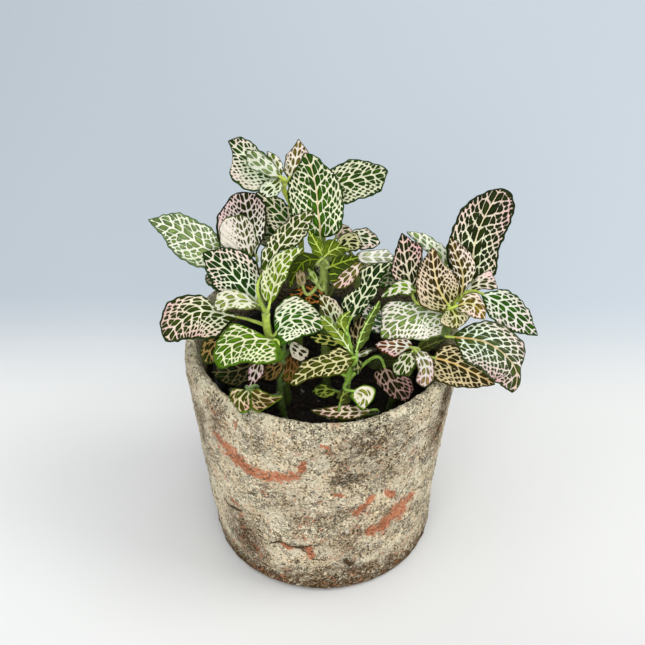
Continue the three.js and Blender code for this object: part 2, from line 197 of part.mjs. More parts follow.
    stalk: [12.8,-25.9,136.4,13.9,-29.8,137.9,12.2,-28.5,140.4] },
  { key: 'E4', node: null, stem: 'E',
    mid: [10.6,-23.2,146.8,10.1,-22.8,147.4,9.3,-22.2,148.6,8.7,-21.4,150.1,8.8,-20.5,151.6,9.8,-19.8,153,11.1,-19.2,154.1,12.3,-18.7,154.9,13,-18.5,155.4],
    left: [10,-23.3,146.4,9.2,-22.9,147.6,7.8,-22.4,147.9,6.6,-21.4,149.6,6.8,-20.3,151.6,8.1,-19.4,153.3,10,-18.8,154.4,11.5,-18.6,155.2,12.7,-18.3,155.5],
    right: [11.3,-23.1,146.7,11,-22.8,147.3,11.6,-22.1,148.2,12.1,-21.3,149.4,12.4,-20.6,150.7,12.5,-19.9,152.1,12.7,-19.3,153.5,13.1,-18.8,154.6,13.3,-18.5,155.3],
    stalk: [11.5,-21,142,11.8,-24.2,145.3,9.7,-22.5,147.9] },
  { key: 'E5', node: 'leaf_front_edge_on', stem: 'E',
    mid: [16.3,-30.7,139.9,16.7,-29.9,141.6,17.6,-28.3,144.8,18.9,-26.7,148.3,20.6,-25.1,151.8,22.5,-23.5,155.1,24.5,-21.8,158.2,26.3,-20.3,160.9,27.2,-19.4,162.2],
    left: [15.7,-30.4,139.8,16.1,-29.3,141.7,16.9,-27.8,144.8,18.2,-26.1,148.3,19.9,-24.5,151.7,21.3,-22.7,155.2,23.6,-21.2,158.4,25.5,-19.8,160.7,26.9,-19.2,162.3],
    right: [16.9,-31.1,139.8,17.9,-30.9,141.5,20.2,-30.4,144.7,22.4,-29.3,148.4,23.8,-27.4,151.9,25.1,-25.3,155.3,26.7,-23.2,158.5,27.7,-21.1,161.2,27.5,-19.6,162.3],
    stalk: [12.9,-26.6,135.6,15.9,-31.5,138.1,16.1,-31.1,139.1] },
  { key: 'E6', node: null, stem: 'E',
    mid: [15.9,-29.1,135.5,16.4,-29,135.7,17.4,-28.6,136.1,18.5,-28.3,136.5,19.7,-27.9,136.9,20.9,-27.6,137.3,22.1,-27.4,137.6,23.1,-27.1,137.9,23.6,-27,138.1],
    left: [15.5,-28.7,135.9,16.2,-28.5,136.4,17.1,-28.2,136.8,18,-27.5,137.2,19.2,-27.1,137.7,20.5,-26.9,138,21.6,-26.9,138.3,22.7,-26.7,138.6,23.5,-26.8,138.3],
    right: [16.1,-29.5,134.9,16.7,-29.4,134.9,17.7,-29.1,135.3,19,-29,135.4,20.3,-28.7,135.8,21.4,-28.3,136.3,22.5,-27.8,137,23.5,-27.6,137.3,23.8,-27.2,137.8],
    stalk: [13.3,-28,133.9,14.7,-29.3,135,17.4,-28.8,136.1] },
  { key: 'E7', node: 'leaf_front_cream', stem: 'E',
    mid: [14.4,-34.2,139.1,12.1,-35.1,139.2,7.9,-36.6,139.2,3,-38.1,139.1,-1.7,-39.6,138.5,-6.1,-41.7,137.4,-10.3,-43.9,135.8,-13.9,-45.7,134.2,-15.8,-46.6,133.3],
    left: [14.9,-34.6,138.8,14.3,-36.9,138,11.6,-40.9,136.6,6.6,-43.4,135.9,1.2,-44.2,135.8,-4.1,-44.7,135.6,-9.1,-46.3,134.4,-13.4,-47.6,133.1,-15.7,-46.9,133.1],
    right: [14.5,-33.5,139.3,12.8,-32,140.3,8.7,-29.1,142,3.1,-31.7,141.5,-2.5,-34.2,140.5,-8.3,-36,139.4,-12.5,-39.9,137.2,-14.6,-44.3,134.7,-15.9,-46.3,133.4],
    stalk: [13.3,-27.9,134.1,14,-32,133,15.5,-33.8,139.1,15.2,-33.9,139.1] },
  { key: 'E8', node: null, stem: 'E',
    mid: [15.9,-30,134.3,16.1,-30.4,134,16.4,-31,133.5,16.7,-31.8,132.8,16.9,-32.6,132.1,17,-33.4,131.5,16.9,-34.2,130.8,16.9,-34.9,130.2,16.9,-35.2,129.9],
    left: [15.2,-29.9,134.4,15.4,-30.9,133.7,14.3,-30.6,133.6,13.7,-31.5,132.7,13.7,-32.5,131.8,14.3,-33.5,131,15.3,-34.3,130.4,16,-35.1,130.1,16.5,-35.3,129.8],
    right: [16.4,-29.6,134.6,16.7,-29.9,134.4,17.9,-29.9,134.2,19,-30.5,133.6,19,-31.6,132.6,18.6,-32.8,131.7,18,-33.9,130.9,17.8,-34.7,130.2,17.2,-35.2,129.9],
    stalk: [13.2,-28.5,132.7,15.4,-29,135.1,16.5,-31.2,133.4] },
  { key: 'E9', node: null, stem: 'E',
    mid: [16.6,-16.7,130.7,16.6,-15.8,131.5,16.7,-14.2,132.8,16.9,-12.4,134.4,17.2,-10.6,136,17.7,-8.8,137.6,18.3,-7,139.1,18.8,-5.5,140.4,19.1,-4.6,141.1],
    left: [15.9,-16.7,130.6,15.5,-15.9,131.2,13.8,-14.3,132.4,12.8,-12.1,134.1,12.8,-9.9,136,14,-7.8,137.9,15.9,-6.2,139.5,17.9,-5.1,140.6,18.8,-4.5,141.2],
    right: [17.3,-16.8,130.5,17.7,-16,131.2,19.5,-14.7,132.1,21.1,-12.8,133.6,22,-10.7,135.3,22.2,-8.6,137.2,21.5,-6.6,139.1,20.1,-5.2,140.5,19.5,-4.6,141.2],
    stalk: [13,-29,131.3,16.6,-19.3,128.4,16.6,-15.5,131.8] },
  { key: 'F2', node: null, stem: 'G',
    mid: [33.9,-6.4,136.3,32.7,-6.4,136.7,30.4,-6.1,137.4,27.8,-5.5,138.2,25.4,-4.6,139,23.1,-3.3,140,21,-1.8,140.9,19.2,-0.3,141.6,18.2,0.6,142],
    left: [33.9,-6.9,135.8,32.7,-7.5,135.5,30.2,-9.2,134.3,26.5,-9.8,134,23.3,-8.5,135.1,20.9,-6.3,136.9,19.3,-3.5,139.1,18.5,-0.9,141,18,0.4,141.8],
    right: [34.3,-5.9,136.6,33.5,-5.3,137.3,32.5,-3.3,139.2,30.5,-1.2,140.9,27.8,0.3,142.2,24.9,1.6,143.2,21.7,2.5,143.7,19.2,1.5,142.8,18.2,0.9,142.2],
    stalk: [52.8,-4,128,37.2,-6.4,135.2,32.4,-6.4,136.8] },
  { key: 'G1', node: 'leaf_right_peach', stem: 'G',
    mid: [60.6,-13.3,155,59.4,-12.2,156.3,57.4,-10,158.7,55.6,-7,161.5,54.5,-3.4,164.1,53.8,0.5,166.6,53.4,4.8,169,53.2,8.7,170.8,53.1,10.9,171.8],
    left: [60.4,-13.8,154.5,58.4,-15.4,153.6,52.6,-16.1,153.5,46.8,-13.3,155.6,44.8,-7.9,159.7,45.3,-2,163.8,47.6,3.8,167.6,51,8.5,170.4,52.7,10.9,171.7],
    right: [61.3,-13.4,154.9,62.8,-12.4,155.8,65.5,-9.6,158.1,66,-5.3,161.4,64.1,-1.2,164.5,60.4,1.8,166.8,56.9,5.3,168.9,55,9.4,171.1,53.4,11,171.8],
    stalk: [64,-5,152,62.6,-15.1,152.8,61.1,-13.8,154.4] },
  { key: 'G2', node: 'leaf_right_peach_back', stem: 'G',
    mid: [67,-6.5,154.5,67.4,-5,156,68,-2.2,158.6,68.1,1.3,161.5,67.2,4.9,164.3,65.6,8.4,166.8,64,12.1,169.3,62.8,15.5,171.4,62.1,17.3,172.4],
    left: [66.3,-6.6,154.4,65.7,-5.3,155.6,64.3,-2.5,157.9,63.7,1,160.8,62.9,4.6,163.5,62.2,8.3,166.3,61.5,12.1,169,61.5,15.6,171.3,61.8,17.4,172.4],
    right: [67.7,-6.4,154.5,68.4,-4.9,156,71.1,-1.7,158.6,74,2.2,161.4,74.3,6.7,164.8,72.2,11,167.9,68.5,14.4,170.4,64.6,16.7,172,62.4,17.5,172.5],
    stalk: [64,-5,152,66.7,-7.7,153.3,66.8,-7.1,153.9] },
  { key: 'G3', node: 'leaf_right_tall_dark', stem: 'G',
    mid: [73,6.3,155.6,73.1,8,158.6,73.4,11.4,163.8,74.2,15.9,169.3,76.3,20.9,174.2,79.2,26.2,178.5,82.9,32,182.1,86.3,37.4,184.8,88.4,40.5,186],
    left: [72.4,6.1,155.4,68.4,6.4,156.8,61.7,9.2,161.1,60.5,15.6,168.4,63.6,22.4,175.1,67.8,29.6,181.1,75.5,35.4,184.8,83.6,39.2,186.2,88.1,40.6,186.1],
    right: [73.6,6.1,155.2,77.3,6.1,155.7,84.5,7.7,157.5,86.1,13.5,164.2,88.8,19.5,170,92.2,25.8,175.1,94.6,33,180.3,92.3,39.2,185.1,88.7,40.6,186],
    stalk: [64,-5,152,72.9,4.6,152.6,73,5.9,154.8] },
  { key: 'G4', node: null, stem: 'G',
    mid: [68.8,-1.7,153.8,69.8,-1.4,154.4,71.8,-0.6,155.3,74.2,0.2,156.1,76.8,0.9,156.6,79.4,1,156.6,82.1,0.6,156.1,84.2,0.2,155.4,85.4,0,155],
    left: [68.8,-1.1,154.2,69.9,-0.6,154.8,72,1.7,156.5,74.7,4.3,158.3,77.9,6.5,159.6,81.7,7.2,159.9,83.8,4.3,158,84.9,1.5,156,85.5,0.3,155.1],
    right: [68.9,-2.3,153.4,69.7,-2.2,154,72.1,-2.3,154,74.6,-1.9,154.4,77,-1.2,155,79.5,-1,155,82.1,-1.2,154.7,84.3,-0.5,154.8,85.4,-0.3,154.7],
    stalk: [64,-5,152,66.8,-2.3,152.6,70.1,-1.3,154.6] },
  { key: 'G5', node: 'leaf_right_young', stem: 'G',
    mid: [64.1,-14.7,155.4,65.3,-14.7,156,67.4,-14.7,156.9,70,-14.9,157.4,72.5,-15.7,157,74.6,-16.9,155.9,76.2,-18.3,154.3,77.4,-19.3,152.6,78,-19.9,151.6],
    left: [64.1,-14.1,155.8,65.2,-13.7,156.6,67.5,-11.9,158.7,70.7,-10.1,160.4,74.6,-10.7,160,76.9,-13.4,158,78.5,-16.2,155.5,78.4,-18.6,153,78.2,-19.7,151.7],
    right: [63.9,-15.1,155,64.7,-15.7,155.1,66,-17.5,154.4,68.1,-18.7,153.9,70.3,-19.6,153.5,72.4,-20.5,152.7,74.7,-20.7,152,76.8,-20.3,151.7,77.8,-20.1,151.3],
    stalk: [64,-5,152,61,-14.7,153.8,63.3,-14.7,155] },
  { key: 'G6', node: null, stem: 'G',
    mid: [61.4,-13.4,153.2,61.8,-14.4,153.2,62.7,-16,153.1,63.5,-17.8,152.8,64.1,-19.5,152.1,64.3,-21,151.2,64.2,-22.2,150.1,64.1,-23,148.9,64,-23.4,148.2],
    left: [60.7,-13.3,153.1,60.2,-14.1,153.2,58.2,-15.6,152.8,56.7,-18.1,151.9,56.5,-20.7,150.7,58,-22.7,149.7,60.4,-23.5,149,62.7,-23.5,148.5,63.7,-23.5,148.1],
    right: [62,-13,153.3,62.8,-13.8,153.4,65.5,-14.5,153.6,68.5,-15.5,153.4,70.9,-17.3,152.5,69.9,-20.2,151,67.7,-22.1,149.7,65.3,-23,148.7,64.3,-23.4,148.2],
    stalk: [63.7,-4.9,151.2,60.1,-10.2,153.2,62,-14.9,153.2] },
  { key: 'G7', node: 'leaf_far_right', stem: 'G',
    mid: [77.4,-3.7,154.1,79.5,-4.9,153.8,83.5,-6.9,153,87.7,-9.2,151.4,91.7,-11.6,149.2,95.5,-13.6,146.5,99.2,-15.5,143.4,102.6,-16.6,140.5,104.6,-17,138.9],
    left: [77.5,-3.1,154.5,80,-3,155.1,85.2,-2.3,156.1,91.2,-2.8,155.5,95.9,-5.5,152.8,99.9,-8.6,149.4,102.4,-12.2,145.2,103.9,-15.3,141.2,104.8,-16.7,139],
    right: [76.9,-4,153.8,77.6,-6.1,152.7,78.7,-10.3,149.9,81.7,-14.1,146.9,86.1,-16.7,144.4,91.3,-18,142.4,96.8,-18.3,140.6,101.8,-17.7,139.4,104.4,-17.2,138.7],
    stalk: [64,-5,152,74.4,-2,154.5,76.6,-3.3,154.2] },
  { key: 'G8', node: 'leaf_right_drooping', stem: 'G',
    mid: [63,-20.7,141,66.2,-21.8,141.5,72.3,-23.4,142,79.1,-25.4,141.3,85.2,-28.1,138.8,90.3,-31.1,134.9,93.5,-34.6,129.5,92.9,-37.8,124.1,91.9,-39.2,121.2],
    left: [62.9,-20.2,141.5,66.1,-18.6,143.9,74,-16.5,147,83.8,-16.7,147.4,92.4,-20.4,143.7,98.2,-25.7,137.8,96.1,-32.2,131,95,-37.3,124,92.2,-39.1,121.1],
    right: [62.5,-21.1,140.7,64.1,-23.3,139.8,66,-27.9,137.1,69.3,-32.2,134,74.9,-33.9,132.5,79.3,-36.6,129,84.5,-38.1,125.8,89.2,-39,122.7,91.5,-39.3,121],
    stalk: [53,-4,129,61,-13,136,59.7,-19.6,140.5,62.2,-20.4,140.9] },
  { key: 'G9', node: 'leaf_right_low_olive', stem: 'H',
    mid: [53.7,-28.3,134.1,55.9,-28.9,134.1,59.9,-30.1,133.7,64.4,-31.6,132.8,68.8,-33.1,131.4,73.1,-34.5,129.7,77.4,-35.7,127.7,81.1,-36.5,125.7,83.1,-36.9,124.6],
    left: [53.4,-27.8,134.5,54.4,-26.1,136,58.3,-23.3,138.3,64.5,-23.5,138.1,70,-25.9,136,74.8,-28.7,133.3,79.1,-31.9,130,82,-35,126.6,83.3,-36.6,124.8],
    right: [53,-28.5,133.9,52.1,-30.4,132.7,52.4,-34.7,129.5,56.6,-38.1,126.8,62.5,-39.5,125.5,68.6,-39.8,124.8,74.9,-39.1,124.4,80.3,-37.9,124.4,83,-37.1,124.4],
    stalk: [45,-23.5,131,50.3,-27.4,134.1,52.8,-28.1,134.1] },
  { key: 'G10', node: 'leaf_right_pale', stem: 'G',
    mid: [59.4,-9.6,145.7,57,-9.6,146.6,52.4,-9.8,147.7,47.1,-10.5,148.2,42.2,-12.5,147.2,37.4,-14.4,145.7,33.1,-16.5,143.4,29.9,-18.5,140.9,28.1,-19.5,139.4],
    left: [59.3,-8.9,146.1,56.7,-8.2,147.3,50.7,-7.4,149,43.8,-5.6,150.7,36.6,-4.8,151.1,29.7,-6,149.8,28.2,-11.9,145.6,27.7,-16.9,141.6,27.9,-19.3,139.5],
    right: [60,-9.9,145.4,60.9,-12.1,144.4,62.4,-17.2,141.4,56.4,-19.6,140.7,50,-21.7,139.8,43.4,-21.5,139.9,36.8,-21.2,139.6,31.1,-20.6,139.2,28.3,-19.7,139.2],
    stalk: [60.4,-4,143.8,61.6,-9.6,144.9,60.2,-9.6,145.4] },
  { key: 'G11', node: 'leaf_right_back_dark', stem: 'G',
    mid: [43.3,-3.1,155.5,42.9,-1.7,157,42.1,0.9,159.5,41.2,4,162.4,40.5,7.4,165.2,39.8,10.8,167.9,39.3,14.5,170.5,38.9,17.8,172.7,38.7,19.6,173.8],
    left: [42.7,-3.3,155.3,41.2,-2.2,156.4,37.3,-0.4,157.9,33.4,2.3,160,33.1,6.2,163.3,34.5,10.2,166.6,35.9,14.2,169.9,37.4,17.8,172.5,38.3,19.6,173.8],
    right: [44,-3,155.5,44.4,-1.5,157,46,1.8,159.8,47,5.8,163.1,48.6,9.9,166.2,48.6,14.1,169.4,44.6,16.6,171.5,40.7,18.5,173,39,19.7,173.9],
    stalk: [62.1,-4.2,147.5,44,-5.4,153,43.5,-3.7,154.8] },
  { key: 'G12', node: null, stem: 'G',
    mid: [60.5,12.8,158.6,59.3,13.7,159.7,57.1,15.4,161.5,54.5,17.4,163.5,51.7,19.4,165.2,48.7,21.4,166.7,45.6,23.4,168,42.9,25.2,169,41.4,26.3,169.5],
    left: [60,12.5,158.3,58.5,13.5,159.6,56.3,15.1,161.4,53.4,16.6,162.6,50.2,18.2,164,47.3,20.3,165.6,44.8,22.7,167.3,42.5,24.6,168.6,41.2,26.1,169.3],
    right: [61.2,13,158.7,61.6,14.4,159.9,62.4,17.5,162.5,59.8,20.4,165.1,56.1,22.6,167.1,52.1,24.6,168.7,47.7,26.1,169.7,43.6,26.4,169.7,41.6,26.5,169.7],
    stalk: [64,-5,152,62.8,11.1,156.5,59.5,13.6,159.6] },
  { key: 'G13', node: null, stem: 'G',
    mid: [45.2,-4.3,156.5,43.9,-4.3,157.1,41.6,-4.1,158.1,38.9,-4,158.7,36.1,-4.3,158.8,33.5,-5.1,158.1,31.1,-6,156.9,29.2,-6.6,155.6,28.1,-6.9,154.8],
    left: [45.6,-3.8,156.8,44.8,-3.2,157.7,43.2,-1.3,159.5,40.1,0,160.8,36.7,-1,160.5,33.7,-2.7,159.3,31,-4.4,157.7,29,-5.9,156.2,28.1,-6.6,155],
    right: [45.3,-4.9,156.1,44.2,-5.3,156.3,42.1,-6.7,156,39.4,-7.1,156.3,36.8,-7.2,156.5,34.2,-7.7,156,31.6,-7.8,155.4,29.4,-7.4,155,28.2,-7.2,154.6],
    stalk: [62.8,-4.5,149.1,48.4,-4.3,155,43.8,-4.3,157.2] },
  { key: 'H1', node: 'leaf_front_right_pink', stem: 'H',
    mid: [42.5,-25.8,138.6,41.3,-25.8,138.9,39,-25.9,139.3,36.4,-25.8,139.6,33.8,-25.7,139.8,31.2,-25.5,139.8,28.6,-25.2,139.7,26.3,-24.7,139.6,25.1,-24.5,139.4],
    left: [43.1,-25.4,138.8,43.1,-24.5,139.5,42.1,-22.6,140.9,38.8,-22.3,141.4,35.5,-22.5,141.4,32.2,-22.7,141.2,28.9,-22.9,140.9,26.2,-23.6,140.2,25.1,-24.2,139.6],
    right: [42.5,-26.3,138.2,41.2,-26.6,138.3,38.9,-28.1,137.6,36.4,-29.8,136.5,33.4,-30,136.4,30.5,-29,137.1,27.8,-27.5,137.9,25.8,-25.7,138.8,25,-24.7,139.2],
    stalk: [44.9,-23.4,130.5,45.9,-25.8,137.8,43.4,-25.8,138.4] },
  { key: 'H2', node: 'leaf_front_right_green', stem: 'H',
    mid: [43.4,-28,138.3,42.7,-29.1,138.2,41.4,-30.9,137.8,40,-32.9,137.2,38.8,-34.6,136.3,37.6,-36.1,135.2,36.5,-37.3,133.7,35.5,-38.2,132.3,35.1,-38.6,131.5],
    left: [43,-27.4,138.5,42.1,-28.2,138.6,39.6,-28.9,138.8,37,-30.4,138.3,35.1,-32.4,137.2,33.7,-34.4,135.7,33.1,-36.5,133.9,34.2,-38,132.3,34.7,-38.6,131.5],
    right: [44.1,-28.1,138.1,43.9,-29.3,137.8,44.6,-31.8,136.9,44.6,-34.5,135.6,43.5,-36.9,134.2,41.3,-38.4,133.2,38.7,-39,132.4,36.3,-38.9,131.8,35.3,-38.8,131.3],
    stalk: [43.6,-23.2,126.5,44.3,-26.7,138.4,43.9,-27.2,138.4] },
  { key: 'H3', node: 'leaf_front_right_white', stem: 'H',
    mid: [44.8,-29.5,139.5,45.6,-30.8,139.3,47.1,-33.1,138.7,48.4,-35.6,137.7,49.2,-38.1,136.4,49.3,-40.5,134.7,49,-42.5,132.8,48.6,-44.1,130.9,48.3,-44.8,129.9],
    left: [44.1,-29.6,139.4,44.1,-30.9,139.1,43.8,-33.6,138,45,-36.4,136.8,45.4,-39.1,135.3,44.6,-41.4,133.5,45,-43.6,131.6,47,-44.7,130.3,48,-44.9,129.8],
    right: [45.2,-29,139.8,46.5,-29.7,139.9,49.8,-30.5,139.9,52.2,-33.5,138.6,53.4,-36.8,136.7,53.6,-40.1,134.4,52.4,-42.9,132.1,50,-44.5,130.5,48.6,-44.9,129.8],
    stalk: [45.2,-23.6,131,44.5,-29,139.6,44.3,-28.7,139.6] },
  { key: 'H4', node: null, stem: 'H',
    mid: [46.6,-22.4,134.2,47.5,-22.3,134.7,49.1,-22.1,135.6,51.1,-21.8,136.5,53,-21.3,137.2,55,-20.7,137.7,57,-20.1,138.1,58.8,-19.4,138.3,59.7,-19,138.4],
    left: [46.2,-22,134.6,47.5,-21.8,135.5,48.2,-21.1,136.6,50.2,-20.5,137.7,52.3,-20,138.5,54.5,-19.4,139.1,56.7,-18.9,139.3,58.5,-19,139,59.7,-18.8,138.6],
    right: [46.7,-22.8,133.7,47.6,-22.8,134,49.5,-23.3,133.7,51.6,-23.1,134.4,53.6,-22.5,135.3,55.5,-21.7,136.3,57.3,-20.6,137.3,59.1,-19.9,137.6,59.9,-19.2,138.1],
    stalk: [44.6,-23.2,129,44.6,-22.6,133.1,48,-22.2,135] },
  { key: 'F3', node: null, stem: 'E',
    mid: [11.2,-19.3,134.8,10,-19.1,135.1,7.7,-18.7,135.7,5.1,-18.2,136.2,2.5,-17.8,136.7,-0.1,-17.5,137.1,-2.8,-17.2,137.5,-5.1,-17,137.7,-6.3,-16.9,137.9],
    left: [11.4,-18.8,135.3,10.1,-18.6,135.9,8.1,-17.8,136.6,5.6,-16.8,137.7,2.9,-16.1,138.5,0,-15.7,139,-2.9,-15.7,139,-5.3,-16.3,138.4,-6.4,-16.6,138.1],
    right: [11.1,-19.7,134.3,9.9,-19.6,134.4,7.5,-19.7,134,4.6,-19.7,133.9,1.8,-19.5,134.1,-1,-19.1,134.7,-3.6,-18.4,135.7,-5.5,-17.4,137,-6.5,-17,137.6],
    stalk: [12.5,-24.8,137.7,13.6,-19.7,134.2,9.7,-19,135.2] },
  { key: 'F4', node: null, stem: 'L',
    mid: [-16.6,-18.7,135.6,-15.9,-19.1,135.2,-14.8,-19.7,134.6,-13.4,-20.5,133.8,-12,-21.2,133.1,-10.6,-21.9,132.3,-9.2,-22.6,131.6,-8,-23.2,131,-7.3,-23.5,130.7],
    left: [-16.4,-18.2,136,-15.7,-18.2,135.9,-13.8,-17.9,136.1,-11.8,-18.4,135.5,-9.8,-19.1,134.7,-7.9,-19.9,133.8,-6.7,-21.2,132.6,-7,-22.7,131.3,-7,-23.3,130.8],
    right: [-17.1,-19,135.2,-16.6,-19.4,134.7,-16.6,-20.8,133.1,-16,-22.4,131.2,-14.7,-23.7,129.7,-12.4,-24.5,129,-10,-24.5,129.1,-8.2,-23.9,130.1,-7.4,-23.7,130.4],
    stalk: [-19,-19,132,-17.9,-17.9,136.4,-15.4,-19.4,134.9] },
  { key: 'F6', node: null, stem: 'L',
    mid: [-15.2,-15.6,126.7,-15.4,-16.4,125.9,-15.6,-17.8,124.5,-15.9,-19.4,122.9,-16.2,-20.9,121.2,-16.5,-22.5,119.6,-16.8,-24.1,117.9,-17,-25.5,116.5,-17.2,-26.2,115.7],
    left: [-15.9,-15.4,126.9,-16.5,-15.9,126.3,-18.8,-16.5,125.3,-20.6,-18,123.5,-21.1,-20,121.4,-20.9,-22.1,119.4,-20,-24.2,117.4,-18.4,-25.7,116.2,-17.5,-26.3,115.7],
    right: [-14.5,-15.5,126.7,-14.1,-16.1,126,-12.3,-17.2,124.6,-11.2,-18.9,122.6,-11.2,-21,120.5,-12.1,-22.9,118.5,-13.8,-24.7,116.9,-15.9,-25.8,116,-16.9,-26.3,115.6],
    stalk: [-19.8,-20.3,126.1,-14.7,-13.8,128.5,-15.5,-16.7,125.6] },
  { key: 'F7', node: null, stem: 'L',
    mid: [-30.5,-29.1,132.3,-30.9,-30,131.9,-31.5,-31.6,131.1,-32.3,-33.3,130.1,-33.1,-34.9,128.9,-33.8,-36.3,127.7,-34.6,-37.6,126.3,-35.3,-38.6,125,-35.7,-39.1,124.3],
    left: [-31,-28.7,132.5,-31.6,-29.4,132.3,-33.6,-30,132,-35.5,-31.3,131.2,-36.3,-33.2,129.8,-36.5,-35.1,128.3,-36.3,-36.9,126.6,-36.2,-38.4,125.3,-36.1,-39,124.4],
    right: [-29.8,-29,132.3,-29.5,-29.7,132,-28.1,-31.2,131,-28.4,-33.3,129.6,-29.5,-35.2,128.3,-31.1,-36.7,127,-33,-37.9,125.8,-34.5,-38.8,124.8,-35.4,-39.2,124.2],
    stalk: [-20.6,-22.6,111,-29.2,-26.1,133.6,-31.1,-30.4,131.7] },
  { key: 'F8', node: null, stem: 'L',
    mid: [-19.1,-21.5,125.8,-19.9,-21.9,125.4,-21.5,-22.6,124.7,-23.3,-23.4,123.9,-25.1,-24.3,123,-26.8,-25.2,122.1,-28.5,-26.1,121.1,-30,-26.8,120.3,-30.8,-27.3,119.9],
    left: [-19.3,-21,126.3,-20.2,-21.1,126.1,-22.4,-20.6,126.3,-25,-20.7,126.1,-27.3,-21.5,125.2,-29,-23,123.8,-29.9,-24.8,122.2,-30.3,-26.3,121,-31,-27.1,120],
    right: [-18.6,-21.8,125.4,-19.2,-22.3,124.9,-19.6,-23.7,123.1,-20.5,-25.4,121.2,-22.3,-26.7,119.7,-24.7,-27.5,119,-27.4,-27.7,119,-29.6,-27.5,119.5,-30.7,-27.5,119.6],
    stalk: [-20,-20.5,125.1,-18.6,-21.3,126,-20.4,-22.2,125.2] },
  { key: 'F9', node: null, stem: 'L',
    mid: [-32.3,-20,124.5,-33.8,-20.5,124.1,-36.6,-21.5,123.2,-39.8,-22.5,122.4,-43.2,-23.3,121.7,-46.6,-23.7,121.3,-50.1,-23.8,121.2,-53.2,-23.8,121.3,-54.8,-23.7,121.3],
    left: [-32.5,-19.4,124.9,-34,-19.8,124.6,-37.1,-19.4,124.7,-40.8,-19.3,124.6,-44.4,-19.4,124.4,-47.9,-20,123.9,-51.2,-21.1,123.1,-53.7,-22.7,122,-55,-23.4,121.5],
    right: [-31.9,-20.3,124.1,-32.7,-21.5,123,-33.8,-24.3,120.1,-36.9,-27,117.5,-41.3,-28.3,116.3,-46.1,-28.3,116.4,-50.4,-26.9,117.9,-53.4,-24.9,120,-54.9,-23.9,121.1],
    stalk: [-20.4,-21,122.5,-29.1,-18.9,125.4,-33.8,-20.5,124.1] },
  { key: 'F10', node: null, stem: 'C',
    mid: [-49.3,-15,137,-50,-15.6,136.4,-51.4,-16.6,135.3,-52.9,-17.9,134,-54.3,-19.2,132.6,-55.4,-20.7,131.1,-56.4,-22.2,129.6,-57.1,-23.5,128.2,-57.5,-24.2,127.5],
    left: [-49.8,-14.6,137.3,-50.8,-14.9,136.9,-53.6,-14.8,136.7,-56.7,-15.5,135.8,-59,-17,134.1,-60.2,-19.1,132,-60,-21.5,129.8,-58.6,-23.3,128.2,-57.9,-24.2,127.5],
    right: [-48.6,-15.1,136.8,-48.5,-15.7,136,-47.5,-17.2,134.1,-47.8,-19.2,131.9,-49.4,-21,130,-51.3,-22.6,128.4,-53.6,-24.1,127,-56.2,-24.4,127.1,-57.3,-24.4,127.3],
    stalk: [-25.4,-17.4,135.2,-47.1,-13.1,138.9,-50.3,-15.9,136.1] },
  { key: 'F11a', node: null, stem: 'L',
    mid: [-35.2,-51,133.9,-35.9,-51.4,133.5,-37.2,-52.2,132.7,-38.5,-53.2,131.7,-39.5,-54.5,130.6,-39.8,-56,129.3,-39.7,-57.6,128.1,-39.5,-58.9,127,-39.4,-59.7,126.5],
    left: [-35.7,-50.5,134.1,-36.7,-50.7,133.8,-39.6,-50.2,133.6,-43,-49.7,133.2,-45,-51.3,131.6,-44.1,-54,129.7,-42.1,-56.4,128.3,-40.2,-58.5,127.4,-39.7,-59.5,126.5],
    right: [-34.5,-51.1,133.8,-34.7,-51.7,133.3,-33.9,-53.1,132,-33.5,-54.8,130.4,-33.8,-56.6,128.9,-34.6,-58.3,127.4,-36.3,-59.5,126.5,-38.3,-59.7,126.4,-39.1,-59.9,126.3],
    stalk: [-20.6,-22.7,106,-31,-42,124,-34,-50.3,134.6,-36.4,-51.7,133.2] },
  { key: 'F11b', node: null, stem: 'L',
    mid: [-34.6,-52.5,134.6,-33.7,-53.3,134.4,-31.9,-54.6,133.8,-29.7,-55.9,133.3,-27.2,-56.5,132.9,-24.7,-56.4,132.9,-22.2,-55.9,132.9,-20.1,-55.3,132.9,-19,-54.8,132.9],
    left: [-34.6,-51.9,135,-33.5,-52.3,135,-31.4,-52.1,135.3,-29.1,-52.8,135.1,-26.9,-53.9,134.5,-24.6,-54.8,133.9,-22,-55.3,133.5,-20.1,-54.6,133.5,-19,-54.5,133.1],
    right: [-35,-52.9,134.2,-34.5,-54.2,133.5,-34.1,-57.2,131.4,-33.5,-60.5,128.9,-30.2,-61.4,128.4,-26.6,-59.9,129.7,-23,-58.1,130.9,-20.1,-56.2,132,-19,-55.1,132.7],
    stalk: [-20.6,-22.6,108,-30,-43.5,125,-35.8,-51.5,134.9,-33.4,-53.6,134.3] },
  { key: 'F13', node: null, stem: 'E',
    mid: [6.8,-31.9,116.1,6,-31.7,116.3,4.4,-31.4,116.5,2.6,-31.2,116.7,0.7,-31.1,116.7,-1.2,-31.3,116.6,-3,-31.6,116.4,-4.5,-31.9,116.1,-5.4,-32.1,116],
    left: [6.8,-31.3,116.5,5.7,-31.1,116.8,4.4,-30.3,117.1,2.5,-29.3,117.8,0.4,-28.5,118.2,-1.8,-28.7,118.1,-3.6,-29.9,117.3,-4.5,-31.3,116.7,-5.5,-31.8,116.2],
    right: [7,-32.4,115.7,6.3,-32.6,115.5,5.1,-33.6,114.6,3.1,-34.3,114,0.9,-34.5,113.8,-1.2,-34.2,114,-3.2,-33.5,114.7,-4.6,-32.6,115.5,-5.4,-32.4,115.8],
    stalk: [11.2,-31,114.3,8.6,-32.4,115.6,5.3,-31.5,116.5] },
  { key: 'F14', node: 'leaf_mouth_cream', stem: 'E',
    mid: [14.4,-40.8,123.9,15.4,-41.1,124,17.1,-41.7,124,19,-42.5,123.8,20.1,-44,122.8,20.2,-45.7,121.6,19.8,-47.2,120.2,19.4,-48.4,119,19.2,-49,118.3],
